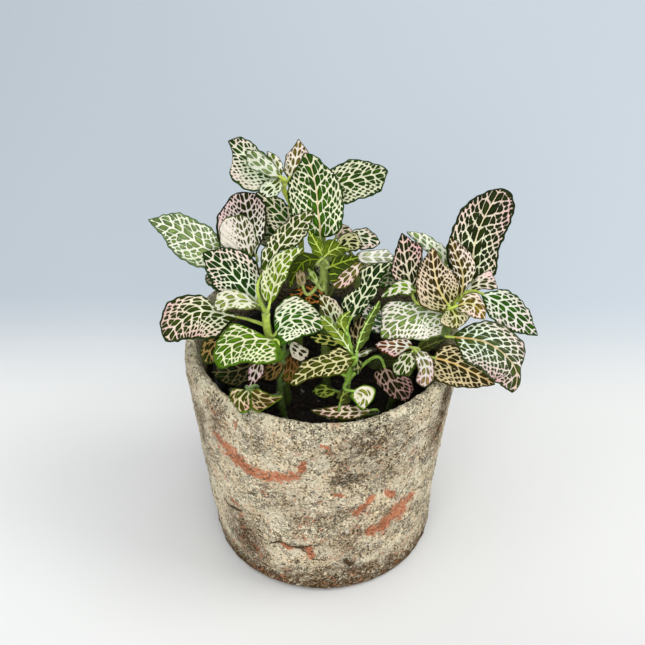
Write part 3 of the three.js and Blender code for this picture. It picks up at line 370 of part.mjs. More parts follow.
    left: [13.8,-41,123.7,13.9,-41.5,123.5,13,-42.7,122.8,13.6,-44.3,121.8,14.8,-45.6,121.1,15.9,-46.9,120.2,17.2,-48,119.4,18.5,-48.7,118.7,18.9,-49.1,118.2],
    right: [14.6,-40.2,124.2,15.7,-39.8,124.7,18.6,-38.8,125.6,22.4,-38.7,125.7,25.4,-40.4,124.6,24.8,-43.6,122.4,22.7,-46.2,120.6,20.5,-48.1,119.1,19.5,-48.9,118.3],
    stalk: [12,-31,121.8,11.1,-39.8,123.6,13.5,-40.5,123.8] },
  { key: 'F14b', node: null, stem: 'E',
    mid: [8.2,-43.3,118.4,8.3,-42.9,118.9,8.6,-42.2,119.7,9,-41.4,120.7,9.9,-40.8,121.6,11,-40.3,122.1,12.3,-40,122.5,13.4,-39.8,122.8,14,-39.7,122.9],
    left: [7.5,-43.3,118.4,7.7,-42.6,119.5,6.8,-41.9,119.9,6.9,-40.7,121.3,7.9,-39.6,122.5,9.6,-39.2,123.1,11.5,-39.3,123.1,12.6,-39.6,123.2,13.8,-39.5,123.1],
    right: [8.6,-43.6,117.9,8.9,-43.3,118.2,10.3,-43.3,118,11.9,-43,118.1,13.3,-42.4,118.7,14.2,-41.7,119.8,14.5,-40.8,121.1,14.2,-40.1,122.3,14.3,-39.8,122.7],
    stalk: [11.4,-31,116.3,7.7,-45.5,115.7,8.4,-42.3,119.6] },
  { key: 'F15', node: 'leaf_mouth_on_rim', stem: 'E',
    mid: [23.7,-44.6,115,21.6,-45,115,17.8,-45.6,115.1,13.3,-46.1,115.2,8.9,-46.3,115.2,4.5,-46.1,115.2,0.1,-45.6,115.1,-3.8,-45,115,-5.8,-44.6,115],
    left: [23.7,-43.9,115.2,21.7,-44,115.4,18,-43,116.1,13.5,-42.3,116.6,9,-42.3,116.7,4.5,-43,116.4,0.1,-43.8,115.8,-3.5,-44.2,115.5,-5.8,-44.2,115.1],
    right: [23.8,-45.1,114.6,21.9,-46.1,114.4,18.4,-48.3,113.5,13.8,-49.6,113.1,9,-49.6,113.1,4.3,-48.9,113.4,-0.3,-47.8,113.8,-4.2,-46.1,114.4,-5.9,-44.9,114.8],
    stalk: [10.9,-31,101,18,-35,103,26.5,-41.5,111,24.9,-44.4,115,24.6,-44.4,115] },
  { key: 'F16', node: 'leaf_mouth_dark', stem: 'E',
    mid: [29.8,-22.5,124.2,30.3,-23.8,123.5,31.4,-26.1,122.2,32.7,-28.6,120.7,34.3,-30.9,119.1,36.1,-32.9,117.5,37.9,-34.7,115.8,39.5,-36.2,114.3,40.4,-36.9,113.4],
    left: [29.1,-22.4,124.2,28,-23.4,123.5,24.8,-25.2,122.1,25,-28.6,119.8,27.8,-31.5,117.8,30.9,-34.2,115.9,34.6,-36.2,114.3,38.3,-36.9,113.6,40.1,-37.1,113.3],
    right: [30.4,-22.2,124.3,31.8,-22.9,124,34.4,-25.2,122.6,37.6,-27,121.3,42,-26.8,121.1,44.3,-29.6,118.9,43.9,-33.1,116.3,41.9,-35.8,114.3,40.7,-36.9,113.4],
    stalk: [12.1,-31,122.3,28.7,-19.6,125.8,29.5,-21.8,124.6] },
  { key: 'F17', node: null, stem: 'H',
    mid: [36.8,-18.5,124.6,35.7,-18.8,124.7,33.6,-19.2,124.9,31.2,-19.5,125,28.9,-19.7,124.9,26.5,-19.7,124.8,24.2,-19.6,124.5,22.2,-19.4,124.2,21.1,-19.3,124],
    left: [36.9,-18,125,35.9,-17.9,125.4,34.1,-16.9,126.5,31.5,-16.3,127.3,28.7,-16.3,127.3,26,-16.7,126.9,23.5,-17.4,126,21.8,-18.6,124.8,20.9,-19,124.2],
    right: [37,-19,124.1,36.1,-19.6,123.9,34.6,-21.3,122.7,32,-22.4,121.9,29.1,-22.7,121.7,26.1,-22.6,121.8,23.3,-21.9,122.1,21.6,-20.3,123.2,20.9,-19.5,123.7],
    stalk: [40,-21.2,117,40.1,-17.6,124.3,35.3,-18.9,124.7] },
  { key: 'R1', node: 'leaf_rear_top', stem: 'K',
    mid: [-3,36,160,-3.2,38.7,160.8,-3.4,43.8,162.1,-3.7,49.7,163,-4,55.7,163.3,-4.4,61.8,163,-4.7,67.9,162.2,-4.9,73.3,161.1,-5,76.2,160.2],
    left: [-3.7,36,160.1,-8.9,38.3,161.4,-13.3,43.1,163.1,-15.8,48.9,164.2,-16.5,54.9,164.6,-15.7,61,164.2,-13.3,67.4,163.1,-9.3,73,161.5,-5.4,76.2,160.3],
    right: [-2.3,36,160.1,2.6,38.9,161.6,6.4,44.1,163.4,8.3,50.1,164.6,8.4,56.2,165,7,62.2,164.6,3.9,68.2,163.4,-0.5,73.5,161.7,-4.7,76.2,160.3],
    stalk: [0.1,27.8,158,-2.8,32.7,159,-2.9,35.1,159.7] },
  { key: 'R2', node: 'leaf_rear_left', stem: 'K',
    mid: [-14,31,156,-16,32.5,156.6,-19.6,35.4,157.5,-23.9,38.7,157.9,-28.1,42.1,157.7,-32.2,45.6,157,-36.4,49.2,155.7,-40,52.3,154.1,-41.9,54,153.1],
    left: [-14.4,30.4,156,-19.2,28.5,156.7,-25.1,28.5,157.6,-30.5,30.4,158,-34.9,33.5,157.9,-38.5,37.8,157.1,-41.2,43.2,155.8,-42.5,49.2,154.2,-42.2,53.7,153.1],
    right: [-13.6,31.5,156.2,-12.8,36.4,157.8,-14.2,42,159.4,-17.3,46.8,160.3,-21.2,50.5,160.2,-26,53.2,159.3,-31.7,54.9,157.4,-37.6,55.3,155,-41.7,54.3,153.2],
    stalk: [0.3,27.5,153.8,-11.3,29,155.2,-13.3,30.5,155.8] },
  { key: 'R3', node: 'leaf_rear_right', stem: 'M',
    mid: [23,24,138,25,25.5,138.4,28.7,28.4,138.9,32.9,31.8,139.1,37.1,35.2,138.7,41.3,38.6,137.8,45.4,42.1,136.4,48.9,45.2,134.8,50.8,46.8,133.8],
    left: [22.6,24.5,138.2,21.9,29.4,139.6,23.3,35.1,140.9,26.4,39.9,141.5,30.4,43.6,141.2,35.1,46.3,140.1,40.7,47.9,138.2,46.5,48.2,135.7,50.6,47.1,133.9],
    right: [23.4,23.4,138,28.2,21.6,138.5,34.2,21.6,139,39.6,23.4,139.2,44,26.6,138.8,47.5,30.8,137.9,50.2,36.2,136.5,51.4,42.1,134.9,51,46.6,133.8],
    stalk: [17,15.5,135.9,20.2,21.9,137.4,22.3,23.5,137.9] },
  { key: 'R4', node: 'leaf_rear_left_low', stem: 'B',
    mid: [-32,17,139,-34,18.3,139.4,-37.7,20.7,139.9,-41.9,23.6,140.1,-46.1,26.6,139.7,-50.2,29.5,138.8,-54.3,32.6,137.4,-57.8,35.3,135.9,-59.7,36.7,134.8],
    left: [-32.4,16.4,139,-36.9,14.1,139.4,-42.6,13.5,139.8,-47.9,14.8,139.9,-52.3,17.5,139.5,-55.9,21.3,138.7,-58.6,26.3,137.3,-60,32,135.8,-59.9,36.4,134.8],
    right: [-31.6,17.6,139.2,-31.2,22.4,140.7,-32.9,27.7,142.1,-36,32.2,142.7,-40,35.4,142.5,-44.7,37.6,141.3,-50.1,38.7,139.4,-55.7,38.4,136.8,-59.5,37,134.9],
    stalk: [-30.4,9.7,137.2,-29.5,15.4,138.5,-31.3,16.5,138.8] },
  { key: 'R5', node: 'leaf_rear_right_low', stem: 'G',
    mid: [50,4,137,51.2,6.2,137.6,53.5,10.2,138.5,56,15,138.9,58.5,19.8,138.7,60.9,24.7,138,63.3,29.6,136.7,65.3,33.9,135.1,66.4,36.3,134.1],
    left: [49.4,4.3,137.2,46.8,8.4,138.9,45.9,14.1,140.7,46.8,19.7,141.6,49,24.7,141.5,52.3,29.1,140.6,56.7,33,138.7,61.9,35.7,136.1,66.1,36.5,134.2],
    right: [50.6,3.7,137,55.7,3.8,137.5,61.2,6.1,138.3,65.5,10,138.7,68.2,14.6,138.5,69.8,20,137.8,70,26,136.6,68.8,32.1,135.1,66.7,36.1,134.1],
    stalk: [55.6,-4,134.1,48.4,1,136.2,49.6,3.2,136.8] },
  { key: 'R6', node: 'leaf_rear_low', stem: 'K',
    mid: [5,34,130,5.2,36.5,130.3,5.6,41.2,130.6,6,46.6,130.4,6.4,52,129.8,6.9,57.3,128.7,7.3,62.6,127,7.6,67.2,125.2,7.8,69.6,124],
    left: [4.3,34.1,130.1,-0.1,37,131,-3.5,42,131.8,-5,47.6,132,-4.9,52.9,131.4,-3.5,58.2,130.1,-0.6,63.3,128.1,3.5,67.5,125.7,7.4,69.7,124.1],
    right: [5.7,33.9,130.1,10.5,36.1,130.9,14.7,40.5,131.5,17.1,45.8,131.6,17.9,51.1,131,17.3,56.5,129.7,15.2,62,127.8,11.7,66.9,125.6,8.1,69.6,124.1],
    stalk: [1.6,25.6,128.1,4.7,30.5,129.6,4.9,33.1,129.9] },
  { key: 'S1', node: null, stem: 'A',
    mid: [-13.7,28.7,141.8,-13.8,30.9,141.4,-13.9,34.9,140.6,-13.9,39.5,139.4,-14,43.9,137.8,-14.1,48.3,135.9,-14.1,52.6,133.7,-14.1,56.2,131.6,-14.1,58.1,130.3],
    left: [-14.4,28.7,141.9,-18.2,31,142.1,-21.5,35.1,141.8,-23.3,39.7,140.8,-23.7,44.2,139.3,-22.9,48.5,137.3,-20.8,52.8,134.8,-17.6,56.3,132.1,-14.5,58.1,130.4],
    right: [-13,28.8,141.9,-9.4,31.3,142.4,-6.3,35.5,142.3,-4.7,40.2,141.4,-4.5,44.7,139.9,-5.4,49,137.8,-7.5,53.1,135.2,-10.7,56.5,132.3,-13.8,58.2,130.4],
    stalk: [-11.2,22.3,141.3,-13.6,26,142.3,-13.8,30.3,141.5] },
  { key: 'S2', node: null, stem: 'M',
    mid: [24.1,19.6,156.1,25.8,20.8,155.7,29.1,23,154.9,32.9,25.4,153.6,36.6,27.5,152,40.4,29.5,150.1,44.2,31.2,147.9,47.5,32.6,145.8,49.2,33.3,144.5],
    left: [23.7,20.1,155.9,23.2,24.3,154.3,24.6,28.9,152.4,27.4,32.6,150.6,31,35,148.9,35.2,36.2,147.3,40.3,36.4,145.8,45.4,35.2,144.6,49,33.5,144.4],
    right: [24.5,19.2,156.5,28.4,18.1,158.3,33.6,18.3,159.3,38.3,19.6,158.9,42.2,21.6,157.5,45.5,24,155.2,48.1,27.1,151.7,49.5,30.5,147.7,49.4,33,144.7],
    stalk: [16.6,15,154.9,21.3,17.6,156.8,25.4,20.5,155.8] },
  { key: 'S3', node: null, stem: 'K',
    mid: [3.7,37.9,146,4.2,40.3,145.7,5.1,44.6,144.8,6.3,49.3,143.2,7.8,53.8,141.1,9.4,58,138.5,11.2,62,135.4,13,65.3,132.2,14,67,130.4],
    left: [3.1,38,145.9,-0.2,41.2,144.8,-2.5,46.1,143.2,-2.9,51.2,141.3,-1.7,55.7,139.1,0.7,59.8,136.7,4.7,63.3,134,9.6,66,131.5,13.6,67,130.3],
    right: [4.3,37.9,146.4,7.9,40.2,148.3,11.5,44.4,149.2,14.2,49.1,148.6,15.9,53.6,146.7,16.8,57.9,143.6,16.8,61.9,139.3,15.9,65.2,134.2,14.3,67,130.6],
    stalk: [0.7,26.9,145.5,3,34.5,146.4,4,39.4,145.8] },
  { key: 'S4', node: null, stem: 'G',
    mid: [64.7,6,147.6,65,7.9,147.4,65.7,11.5,146.8,66.7,15.4,145.7,67.7,19.3,144.2,68.7,22.9,142.4,69.9,26.5,140.2,71,29.5,137.9,71.6,31,136.6],
    left: [64,6.1,147.6,60.8,8.9,147.3,58.5,13.1,146.5,57.8,17.4,145.4,58.5,21.3,144,60.4,24.8,142.1,63.6,27.9,140,67.7,30.2,137.8,71.2,31.1,136.6],
    right: [65.3,5.9,147.9,68.9,7.6,149.4,72.3,10.9,150.3,74.7,14.8,149.9,75.9,18.6,148.6,76.3,22.3,146.4,75.6,26,143.2,73.9,29.2,139.5,71.9,31,136.7],
    stalk: [62.2,-4.3,147.7,64.2,2.6,148,65,7.6,147.4] },
  { key: 'S5', node: null, stem: 'M',
    mid: [21.5,18.8,113.4,22.9,19.9,113.1,25.5,21.7,112.4,28.5,23.6,111.3,31.4,25.3,109.8,34.3,26.8,107.9,37.2,28.1,105.6,39.6,29.1,103.4,40.9,29.6,102.1],
    left: [21.1,19.4,113.2,21.1,22.3,112.3,22.3,25.9,111.1,24.6,28.7,109.6,27.4,30.6,108,30.6,31.7,106.3,34.4,31.8,104.5,38.2,31,102.8,40.7,29.9,102],
    right: [22,18.4,113.7,24.9,17.7,114.4,28.9,17.9,114.7,32.5,19,114,35.6,20.6,112.6,38.1,22.5,110.5,40.1,24.9,107.6,41.1,27.4,104.4,41.1,29.4,102.2],
    stalk: [16.6,15.8,113.8,19.7,17.4,113.8,22.7,19.8,113.1] },
  { key: 'S6', node: null, stem: 'C',
    mid: [-19.8,-9.9,130.8,-19.1,-8.4,131.1,-17.5,-5.7,131.2,-15.6,-2.9,130.9,-13.5,-0.2,130.1,-11.3,2.3,128.8,-8.8,4.6,127.1,-6.6,6.4,125.1,-5.3,7.3,124],
    left: [-20.4,-9.5,130.6,-21.5,-6.8,130.1,-21.8,-3,129.6,-20.8,0.4,128.9,-18.9,3.2,128.1,-16.2,5.4,127,-12.6,6.9,125.6,-8.5,7.6,124.4,-5.6,7.5,123.9],
    right: [-19.3,-10.1,131.3,-16.9,-9.6,132.9,-13.8,-7.8,134.4,-11.1,-5.4,134.8,-8.9,-2.8,134.1,-7,-0.1,132.5,-5.6,2.7,129.8,-4.9,5.4,126.6,-5.1,7.2,124.2],
    stalk: [-24.2,-16.2,129.8,-21.1,-12.7,130.2,-19.1,-8.5,131.1] },
  { key: 'S7', node: null, stem: 'K',
    mid: [9.5,34.7,139.7,10.7,36.1,139.8,12.9,38.5,139.7,15.5,41.2,139.2,18.2,43.7,138.3,20.9,46.1,136.9,23.7,48.3,135.1,26.2,50.1,133.3,27.6,51,132.1],
    left: [9,35.2,139.5,8.1,38.4,139,8.5,42.6,138.3,10.1,46.1,137.5,12.6,48.8,136.5,15.9,50.7,135.3,19.9,51.8,133.9,24.2,51.9,132.6,27.3,51.2,132],
    right: [10,34.3,140,13.1,34.1,141.4,17,35.1,142.5,20.6,37,142.7,23.4,39.4,141.8,25.7,42.1,140.2,27.3,45.3,137.6,28.1,48.5,134.5,27.8,50.8,132.3],
    stalk: [1.1,26.3,137.3,7.2,32,139.5,10.5,35.9,139.8] },
  { key: 'S8', node: null, stem: 'A',
    mid: [-20.2,35.9,166.6,-20.9,37.3,166.9,-22.1,40,167.3,-23.4,43.1,167.3,-24.4,46.3,166.8,-25.2,49.5,165.7,-25.9,52.7,164.2,-26.3,55.6,162.5,-26.4,57.2,161.5],
    left: [-20.9,35.6,166.5,-23.8,36.2,166.5,-27.1,38.1,166.5,-29.4,40.8,166.3,-30.7,43.9,165.7,-30.9,47.3,164.8,-30.2,51.1,163.5,-28.5,54.8,162.2,-26.8,57.1,161.4],
    right: [-19.7,36.1,167,-18.5,38.3,168.7,-18,41.7,170.4,-18.3,45.1,171,-19.2,48.4,170.6,-20.5,51.4,169.3,-22.3,54.2,166.9,-24.4,56.4,163.9,-26.2,57.3,161.7],
    stalk: [-11.8,28.2,163.6,-18.7,32.8,165.9,-20.9,37.3,166.9] },
  { key: 'S9', node: null, stem: 'K',
    mid: [7.3,32.3,158.6,8.7,33.2,158.6,11.3,34.9,158.3,14.3,36.8,157.6,17.3,38.5,156.6,20.2,40.1,155.2,23.2,41.5,153.4,25.7,42.7,151.5,27.1,43.2,150.4],
    left: [7,32.9,158.6,7.1,36,158.5,8.4,39.7,158.2,10.8,42.5,157.5,13.6,44.4,156.5,16.9,45.5,155.1,20.7,45.6,153.3,24.4,44.8,151.5,26.9,43.6,150.4],
    right: [7.7,31.8,159,10.5,31,160.2,14.3,31.1,161,18,32.2,160.9,21.1,33.7,160,23.7,35.7,158.2,25.8,38.2,155.7,27.1,41,152.7,27.3,43,150.6],
    stalk: [0.1,27.9,158.4,4.5,30.5,158.6,8.6,33.2,158.6] },
  { key: 'S10', node: null, stem: 'D',
    mid: [-11.2,7.7,156.9,-12.6,8.4,156.9,-15.1,9.8,156.5,-17.9,11,155.5,-20.5,12.1,154,-23.1,12.8,151.8,-25.4,13.4,149.1,-27.4,13.7,146.3,-28.4,13.7,144.6],
    left: [-11.5,7.1,157.2,-14.2,5.9,158,-17.9,5.3,158.4,-21.2,5.6,157.9,-24,6.5,156.4,-26.2,7.8,154,-27.8,9.5,150.8,-28.7,11.7,147.2,-28.6,13.5,144.7],
    right: [-10.9,8.3,156.8,-11.1,11.3,156.4,-12.6,14.7,155.7,-14.8,17,154.5,-17.4,18.2,152.9,-20.2,18.5,150.9,-23.3,17.7,148.4,-26.3,15.9,145.9,-28.3,14.1,144.5],
    stalk: [0.3,2.6,159.3,-8.1,6.1,156.9,-12.6,8.4,156.9] },
  { key: 'S11', node: null, stem: 'A',
    mid: [-25.4,39.5,194.1,-26.1,40.7,194.5,-27.4,43.1,194.9,-28.9,45.9,195,-30.4,48.6,194.7,-31.8,51.4,193.9,-33.2,54.2,192.7,-34.5,56.6,191.3,-35.1,57.9,190.4],
    left: [-26,39.1,194.2,-28.5,39.4,194.7,-31.6,40.8,195.3,-34,43.1,195.4,-35.7,45.8,195.1,-36.6,48.8,194.3,-36.9,52.2,192.9,-36.3,55.6,191.4,-35.4,57.8,190.4],
    right: [-24.8,39.8,194.3,-23.7,42,195,-23.3,45.4,195.8,-23.9,48.6,196.1,-25.2,51.5,195.8,-27.1,54,194.9,-29.6,56.2,193.4,-32.6,57.6,191.6,-34.8,58.1,190.4],
    stalk: [-19.6,31,193.7,-23.7,36.6,193.1,-26.2,40.8,194.5] },
  { key: 'S12', node: null, stem: 'H',
    mid: [54.8,-22.6,127.8,56.5,-22.4,128.2,59.5,-22.1,128.5,63,-21.9,128.4,66.5,-21.8,127.8,69.9,-21.8,126.6,73.3,-21.9,124.9,76.2,-22.1,122.9,77.8,-22.2,121.7],
    left: [54.8,-21.9,127.8,56.3,-19.3,128.3,59.2,-16.7,128.7,62.6,-15.3,128.7,66.1,-14.9,128,69.5,-15.6,126.8,73,-17.1,125,76.1,-19.6,123,77.8,-21.8,121.7],
    right: [54.9,-23.3,128.1,56.7,-25.3,129.5,59.9,-27.1,130.8,63.5,-27.9,131.2,67,-28,130.6,70.4,-27.5,129.2,73.7,-26.2,126.8,76.4,-24.3,123.9,77.8,-22.5,121.8],
    stalk: [44,-23.3,127.7,51.4,-23,127,56.4,-22.4,128.2] },
  { key: 'S13', node: null, stem: 'B',
    mid: [-35.5,15.7,163.2,-35.7,17.3,164,-36.1,20.3,165.1,-36.3,23.9,165.9,-36.3,27.5,166.2,-36,31.3,165.8,-35.5,35.2,164.9,-34.9,38.7,163.6,-34.5,40.6,162.7],
    left: [-36.2,15.7,163.1,-39.4,17.2,163.4,-42.5,20.2,164.2,-44.1,23.7,164.8,-44.3,27.4,165,-43.3,31.2,164.7,-41.1,35.2,164,-37.8,38.7,163.1,-34.8,40.6,162.6],
    right: [-34.9,15.7,163.6,-32.7,17,166.1,-30.9,19.8,168.9,-30,23.3,170.5,-29.7,27,170.9,-30,30.8,170.1,-31,34.8,168.1,-32.6,38.5,165.2,-34.2,40.6,162.9],
    stalk: [-35.2,9.2,158.6,-35.1,12.9,161.8,-35.7,17.1,163.9] },
  { key: 'S14', node: null, stem: 'C',
    mid: [-20.8,-11.1,138.9,-20,-9.7,139.2,-18.4,-7.2,139.3,-16.4,-4.4,139.1,-14.2,-1.8,138.4,-11.9,0.5,137.2,-9.4,2.7,135.5,-7.2,4.5,133.7,-5.9,5.4,132.6],
    left: [-21.3,-10.7,138.7,-22.4,-8,138,-22.5,-4.3,137.3,-21.4,-1,136.6,-19.4,1.7,135.8,-16.6,3.8,134.9,-13,5.2,133.8,-9,5.8,132.8,-6.2,5.6,132.5],
    right: [-20.3,-11.4,139.3,-17.7,-11.2,140.7,-14.5,-9.7,142,-11.6,-7.5,142.4,-9.3,-5.1,141.8,-7.4,-2.4,140.3,-6,0.5,137.9,-5.4,3.4,134.9,-5.6,5.2,132.8],
    stalk: [-26,-18,137.9,-22.5,-14.1,138.3,-20,-9.7,139.2] },
  { key: 'S15', node: null, stem: 'G',
    mid: [59.9,-4.3,135.3,61,-4.1,136.8,63.2,-4,139.3,66.1,-4.1,141.9,69.2,-4.4,144.1,72.7,-4.9,145.9,76.4,-5.5,147.4,79.9,-6.3,148.4,81.8,-6.7,148.8],
    left: [60,-3.6,135.2,61.7,-0.7,136.2,64.4,1.9,138.2,67.5,3.1,140.5,70.7,3.1,142.7,74,1.9,144.6,77.4,-0.4,146.4,80.4,-3.6,147.9,81.9,-6.4,148.7],
    right: [59.6,-4.9,135.6,59.7,-7.2,138.1,61.1,-9.3,141.6,63.4,-10.5,144.7,66.5,-11,147,70.2,-10.9,148.5,74.5,-10.1,149.4,78.9,-8.6,149.4,81.7,-7,148.9],
    stalk: [53.8,-4,130.2,58,-4.6,132.7,60.8,-4.1,136.6] },
  { key: 'S16', node: null, stem: 'B',
    mid: [-34.9,8,140.1,-36.1,7.6,140.9,-38.5,6.6,141.9,-41.3,5.6,142.5,-44.2,4.5,142.7,-47.1,3.3,142.4,-50.2,2.2,141.6,-53,1.2,140.5,-54.5,0.6,139.7],
    left: [-34.6,7.4,140.3,-35,4.9,141.5,-36.5,2,143,-38.8,-0.1,144,-41.6,-1.3,144.2,-44.8,-1.9,143.7,-48.5,-1.8,142.6,-52.1,-0.9,141,-54.3,0.3,139.8],
    right: [-35.1,8.7,140.3,-37,10.3,141.6,-40,11.4,143.2,-43.2,11.4,144.1,-46.1,10.5,144.4,-48.9,8.8,143.9,-51.6,6.3,142.7,-53.7,3.3,141,-54.6,0.9,139.8],
    stalk: [-30.4,9.7,137.2,-33.1,8.6,138.9,-36.2,7.6,141] },
  { key: 'S17', node: null, stem: 'G',
    mid: [58.3,4.2,149.8,58.1,5.4,150.6,57.5,7.6,151.9,56.9,10.2,152.9,56.1,12.9,153.5,55.2,15.8,153.6,54.1,18.8,153.3,53.2,21.5,152.7,52.6,23,152.2],
    left: [57.7,4,150.1,55.5,4.3,151.8,53.2,5.7,153.9,51.5,7.9,155.4,50.5,10.6,156,50.1,13.7,155.9,50.3,17.2,155.1,51.2,20.7,153.6,52.3,22.9,152.3],
    right: [59,4.4,149.9,61,6,151,62.6,8.7,152.5,63,11.6,153.6,62.4,14.4,154.2,60.9,17.1,154.3,58.5,19.8,153.8,55.4,22,152.9,53,23.1,152.2],
    stalk: [60.5,-4,144.1,58.8,1.3,147.9,58.1,5.5,150.7] },
  { key: 'S18', node: null, stem: 'G',
    mid: [62.6,-0.2,131.1,63.7,0.3,132.3,65.8,1.3,134.1,68.5,2.2,135.9,71.6,3.1,137.1,74.9,3.8,137.8,78.6,4.3,138,82.1,4.7,137.9,84,4.9,137.6],
    left: [62.5,0.5,131,62.9,3.2,132,64.4,6.2,133.7,66.8,8.3,135.3,69.8,9.3,136.5,73.3,9.4,137.3,77.4,8.6,137.6,81.4,6.9,137.6,83.9,5.2,137.6],
    right: [62.6,-0.8,131.5,63.6,-2.2,133.9,65.6,-3,137,68.3,-3,139.3,71.3,-2.3,140.7,74.7,-1.2,141.1,78.4,0.6,140.5,82,2.8,139.1,84,4.6,137.8],
    stalk: [51.2,-4,124.3,60.3,-1.2,128.6,63.6,0.3,132.2] },
  { key: 'S19', node: null, stem: 'E',
    mid: [7,-31.8,128.6,5.8,-31.8,129.5,3.5,-32,130.7,0.8,-32.4,131.6,-2.1,-33,132.1,-5,-33.9,132,-8.1,-34.9,131.4,-10.9,-36.1,130.5,-12.4,-36.8,129.8],
    left: [7.2,-32.4,129,6.7,-34.2,131,5,-36.1,133.4,2.5,-37.4,134.9,-0.3,-38.2,135.4,-3.4,-38.6,135.1,-6.9,-38.5,133.7,-10.3,-37.9,131.7,-12.3,-37,130],
    right: [6.9,-31.2,128.5,5.2,-29,128.9,2.5,-27.1,129.8,-0.5,-26.4,130.5,-3.4,-26.8,130.9,-6.3,-28.2,131,-9,-30.7,130.6,-11.4,-33.9,130.1,-12.5,-36.4,129.8],
    stalk: [12.3,-31,124.4,9.2,-31.8,127,5.7,-31.8,129.6] },
  { key: 'S20', node: null, stem: 'B',
    mid: [-35.6,11.5,134.8,-37,12.1,135.1,-39.5,13,135.5,-42.4,14,135.4,-45.3,14.8,134.9,-48.2,15.5,133.8,-51.1,16.1,132.3,-53.6,16.5,130.6,-55,16.7,129.5],
    left: [-35.9,10.9,135.1,-37.9,9.5,136.5,-41,8.7,137.8,-44.2,8.7,138.2,-47.2,9.4,137.8,-49.9,10.6,136.5,-52.4,12.3,134.3,-54.3,14.5,131.6,-55.1,16.4,129.7],
    right: [-35.4,12.2,134.8,-36.1,14.9,135,-37.9,17.9,135.2,-40.4,19.9,135.1,-43.3,20.9,134.6,-46.3,21.1,133.6,-49.7,20.3,132.1,-52.9,18.7,130.5,-54.9,17,129.5],
    stalk: [-29.9,9.7,134.5,-33.4,10.6,134.3,-37,12.1,135.1] },
  { key: 'S21', node: null, stem: 'M',
    mid: [15.1,20.5,149.3,14.8,21.9,149.3,14.1,24.5,149.3,13.1,27.4,148.9,12,30.1,148.3,10.8,32.8,147.3,9.5,35.5,146,8.2,37.6,144.6,7.4,38.8,143.8],
    left: [14.5,20.3,149.7,12.5,21.3,151,10.1,23.5,152.1,8.3,26.2,152.4,7.1,29,151.8,6.3,31.8,150.5,6,34.7,148.4,6.4,37.2,145.9,7.1,38.7,144],
    right: [15.7,20.6,149,17.4,22.6,148.4,18.6,25.7,147.6,18.6,28.9,146.9,17.7,31.8,146.2,16,34.3,145.4,13.4,36.6,144.5,10.2,38.2,143.9,7.7,38.9,143.6],
    stalk: [17,15,150.4,15.6,18.2,149.3,14.8,22.1,149.3] },
  { key: 'S22', node: null, stem: 'G',
    mid: [52.9,5.8,134.1,52.7,7.2,133.9,52.2,9.7,133.2,51.5,12.4,132.1,50.6,14.8,130.6,49.6,17.1,128.8,48.4,19.1,126.6,47.2,20.7,124.3,46.6,21.4,123],
    left: [52.3,5.8,134.4,50.1,7.1,135.3,47.8,9.5,135.6,46.1,12.2,135.1,45,14.6,133.7,44.5,16.9,131.6,44.5,18.9,128.7,45.2,20.6,125.4,46.3,21.4,123.1],
    right: [53.5,5.9,133.8,55.4,7.5,132.8,56.9,10.2,131.4,57.2,13,129.9,56.5,15.5,128.4,55,17.7,126.7,52.5,19.5,125,49.4,20.9,123.5,46.9,21.5,122.8],
    stalk: [55.7,-4,134.4,53.4,2.4,134.6,52.7,7.4,133.9] },
  { key: 'S23', node: null, stem: 'L',
    mid: [-15.4,-19,113.3,-14.1,-18.1,113.5,-11.7,-16.4,113.7,-8.9,-14.7,113.6,-6.1,-13,113.2,-3.2,-11.4,112.6,-0.3,-9.9,111.6,2.3,-8.7,110.5,3.7,-8.1,109.9],
    left: [-15.8,-18.4,113.2,-15.8,-15.4,113,-14.7,-11.8,112.8,-12.5,-9,112.6,-9.8,-7.1,112.2,-6.6,-6.1,111.6,-2.8,-5.9,110.9,1,-6.6,110.2,3.5,-7.8,109.8],
    right: [-15.1,-19.5,113.7,-12.6,-20.4,115.2,-9.1,-20.4,116.5,-5.7,-19.5,117.1,-2.8,-18,116.8,-0.2,-15.9,115.9,2,-13.4,114.1,3.5,-10.5,111.8,3.9,-8.3,110.1],
    stalk: [-20.7,-22.3,111.3,-17.5,-20.5,113,-14.1,-18.1,113.5] },
];

// ---- stems: centre line from inside the soil to the growing tip ----
const STEMS = {
  A: { node: 'stem_top_left', path: [-12,14,70,-12,16,110,-11,24,150,-12.3,30.5,171,-16.9,33.2,184.5,-19.4,31.8,192,-20,29.3,197], radius: [2.1, 1.35], steps: 15 },
  B: { node: 'stem_left_back', path: [-20,6,70,-26,9,115,-32,10,145,-36,9,162], radius: [2, 1.5], steps: 7 },
  C: { node: 'stem_left', path: [-17,-9,70,-20,-12,110,-26,-18,138,-27.4,-18.5,148,-27.5,-17.5,153], radius: [2.2, 1.8], steps: 7 },
  D: { node: 'stem_centre', path: [2,0,70,1,1,120,0,1.5,150,0.5,3.5,167], radius: [2.2, 1.9], steps: 7 },
  M: { node: 'stem_centre_back', path: [14,14,70,17,16,120,17,15,150,16,15,161], radius: [1.9, 1.4], steps: 7 },
  E: { node: 'stem_front', path: [9,-27,70,10.5,-31,108,12.5,-31,126,13.3,-28,134,11.5,-21,142], radius: [2.1, 1.4], steps: 7 },
  G: { node: 'stem_right', path: [36,-4,70,45,-4,110,55,-4,133,61.5,-4,146,64,-5,152], radius: [2.3, 1.8], steps: 7 },
  H: { node: 'stem_front_right', path: [30,-13,70,38,-20,110,43,-23,124,45,-23.5,131], radius: [2, 1.4], steps: 7 },
  L: { node: 'stem_front_left', path: [-14,-22,70,-20,-23,95,-21,-22,118,-19,-19,132], radius: [1.9, 1.3], steps: 7 },
  K: { node: 'stem_back', path: [2,22,70,2,25,120,0,28,160,-1,30,180], radius: [2.1, 1.5], steps: 7 },
};

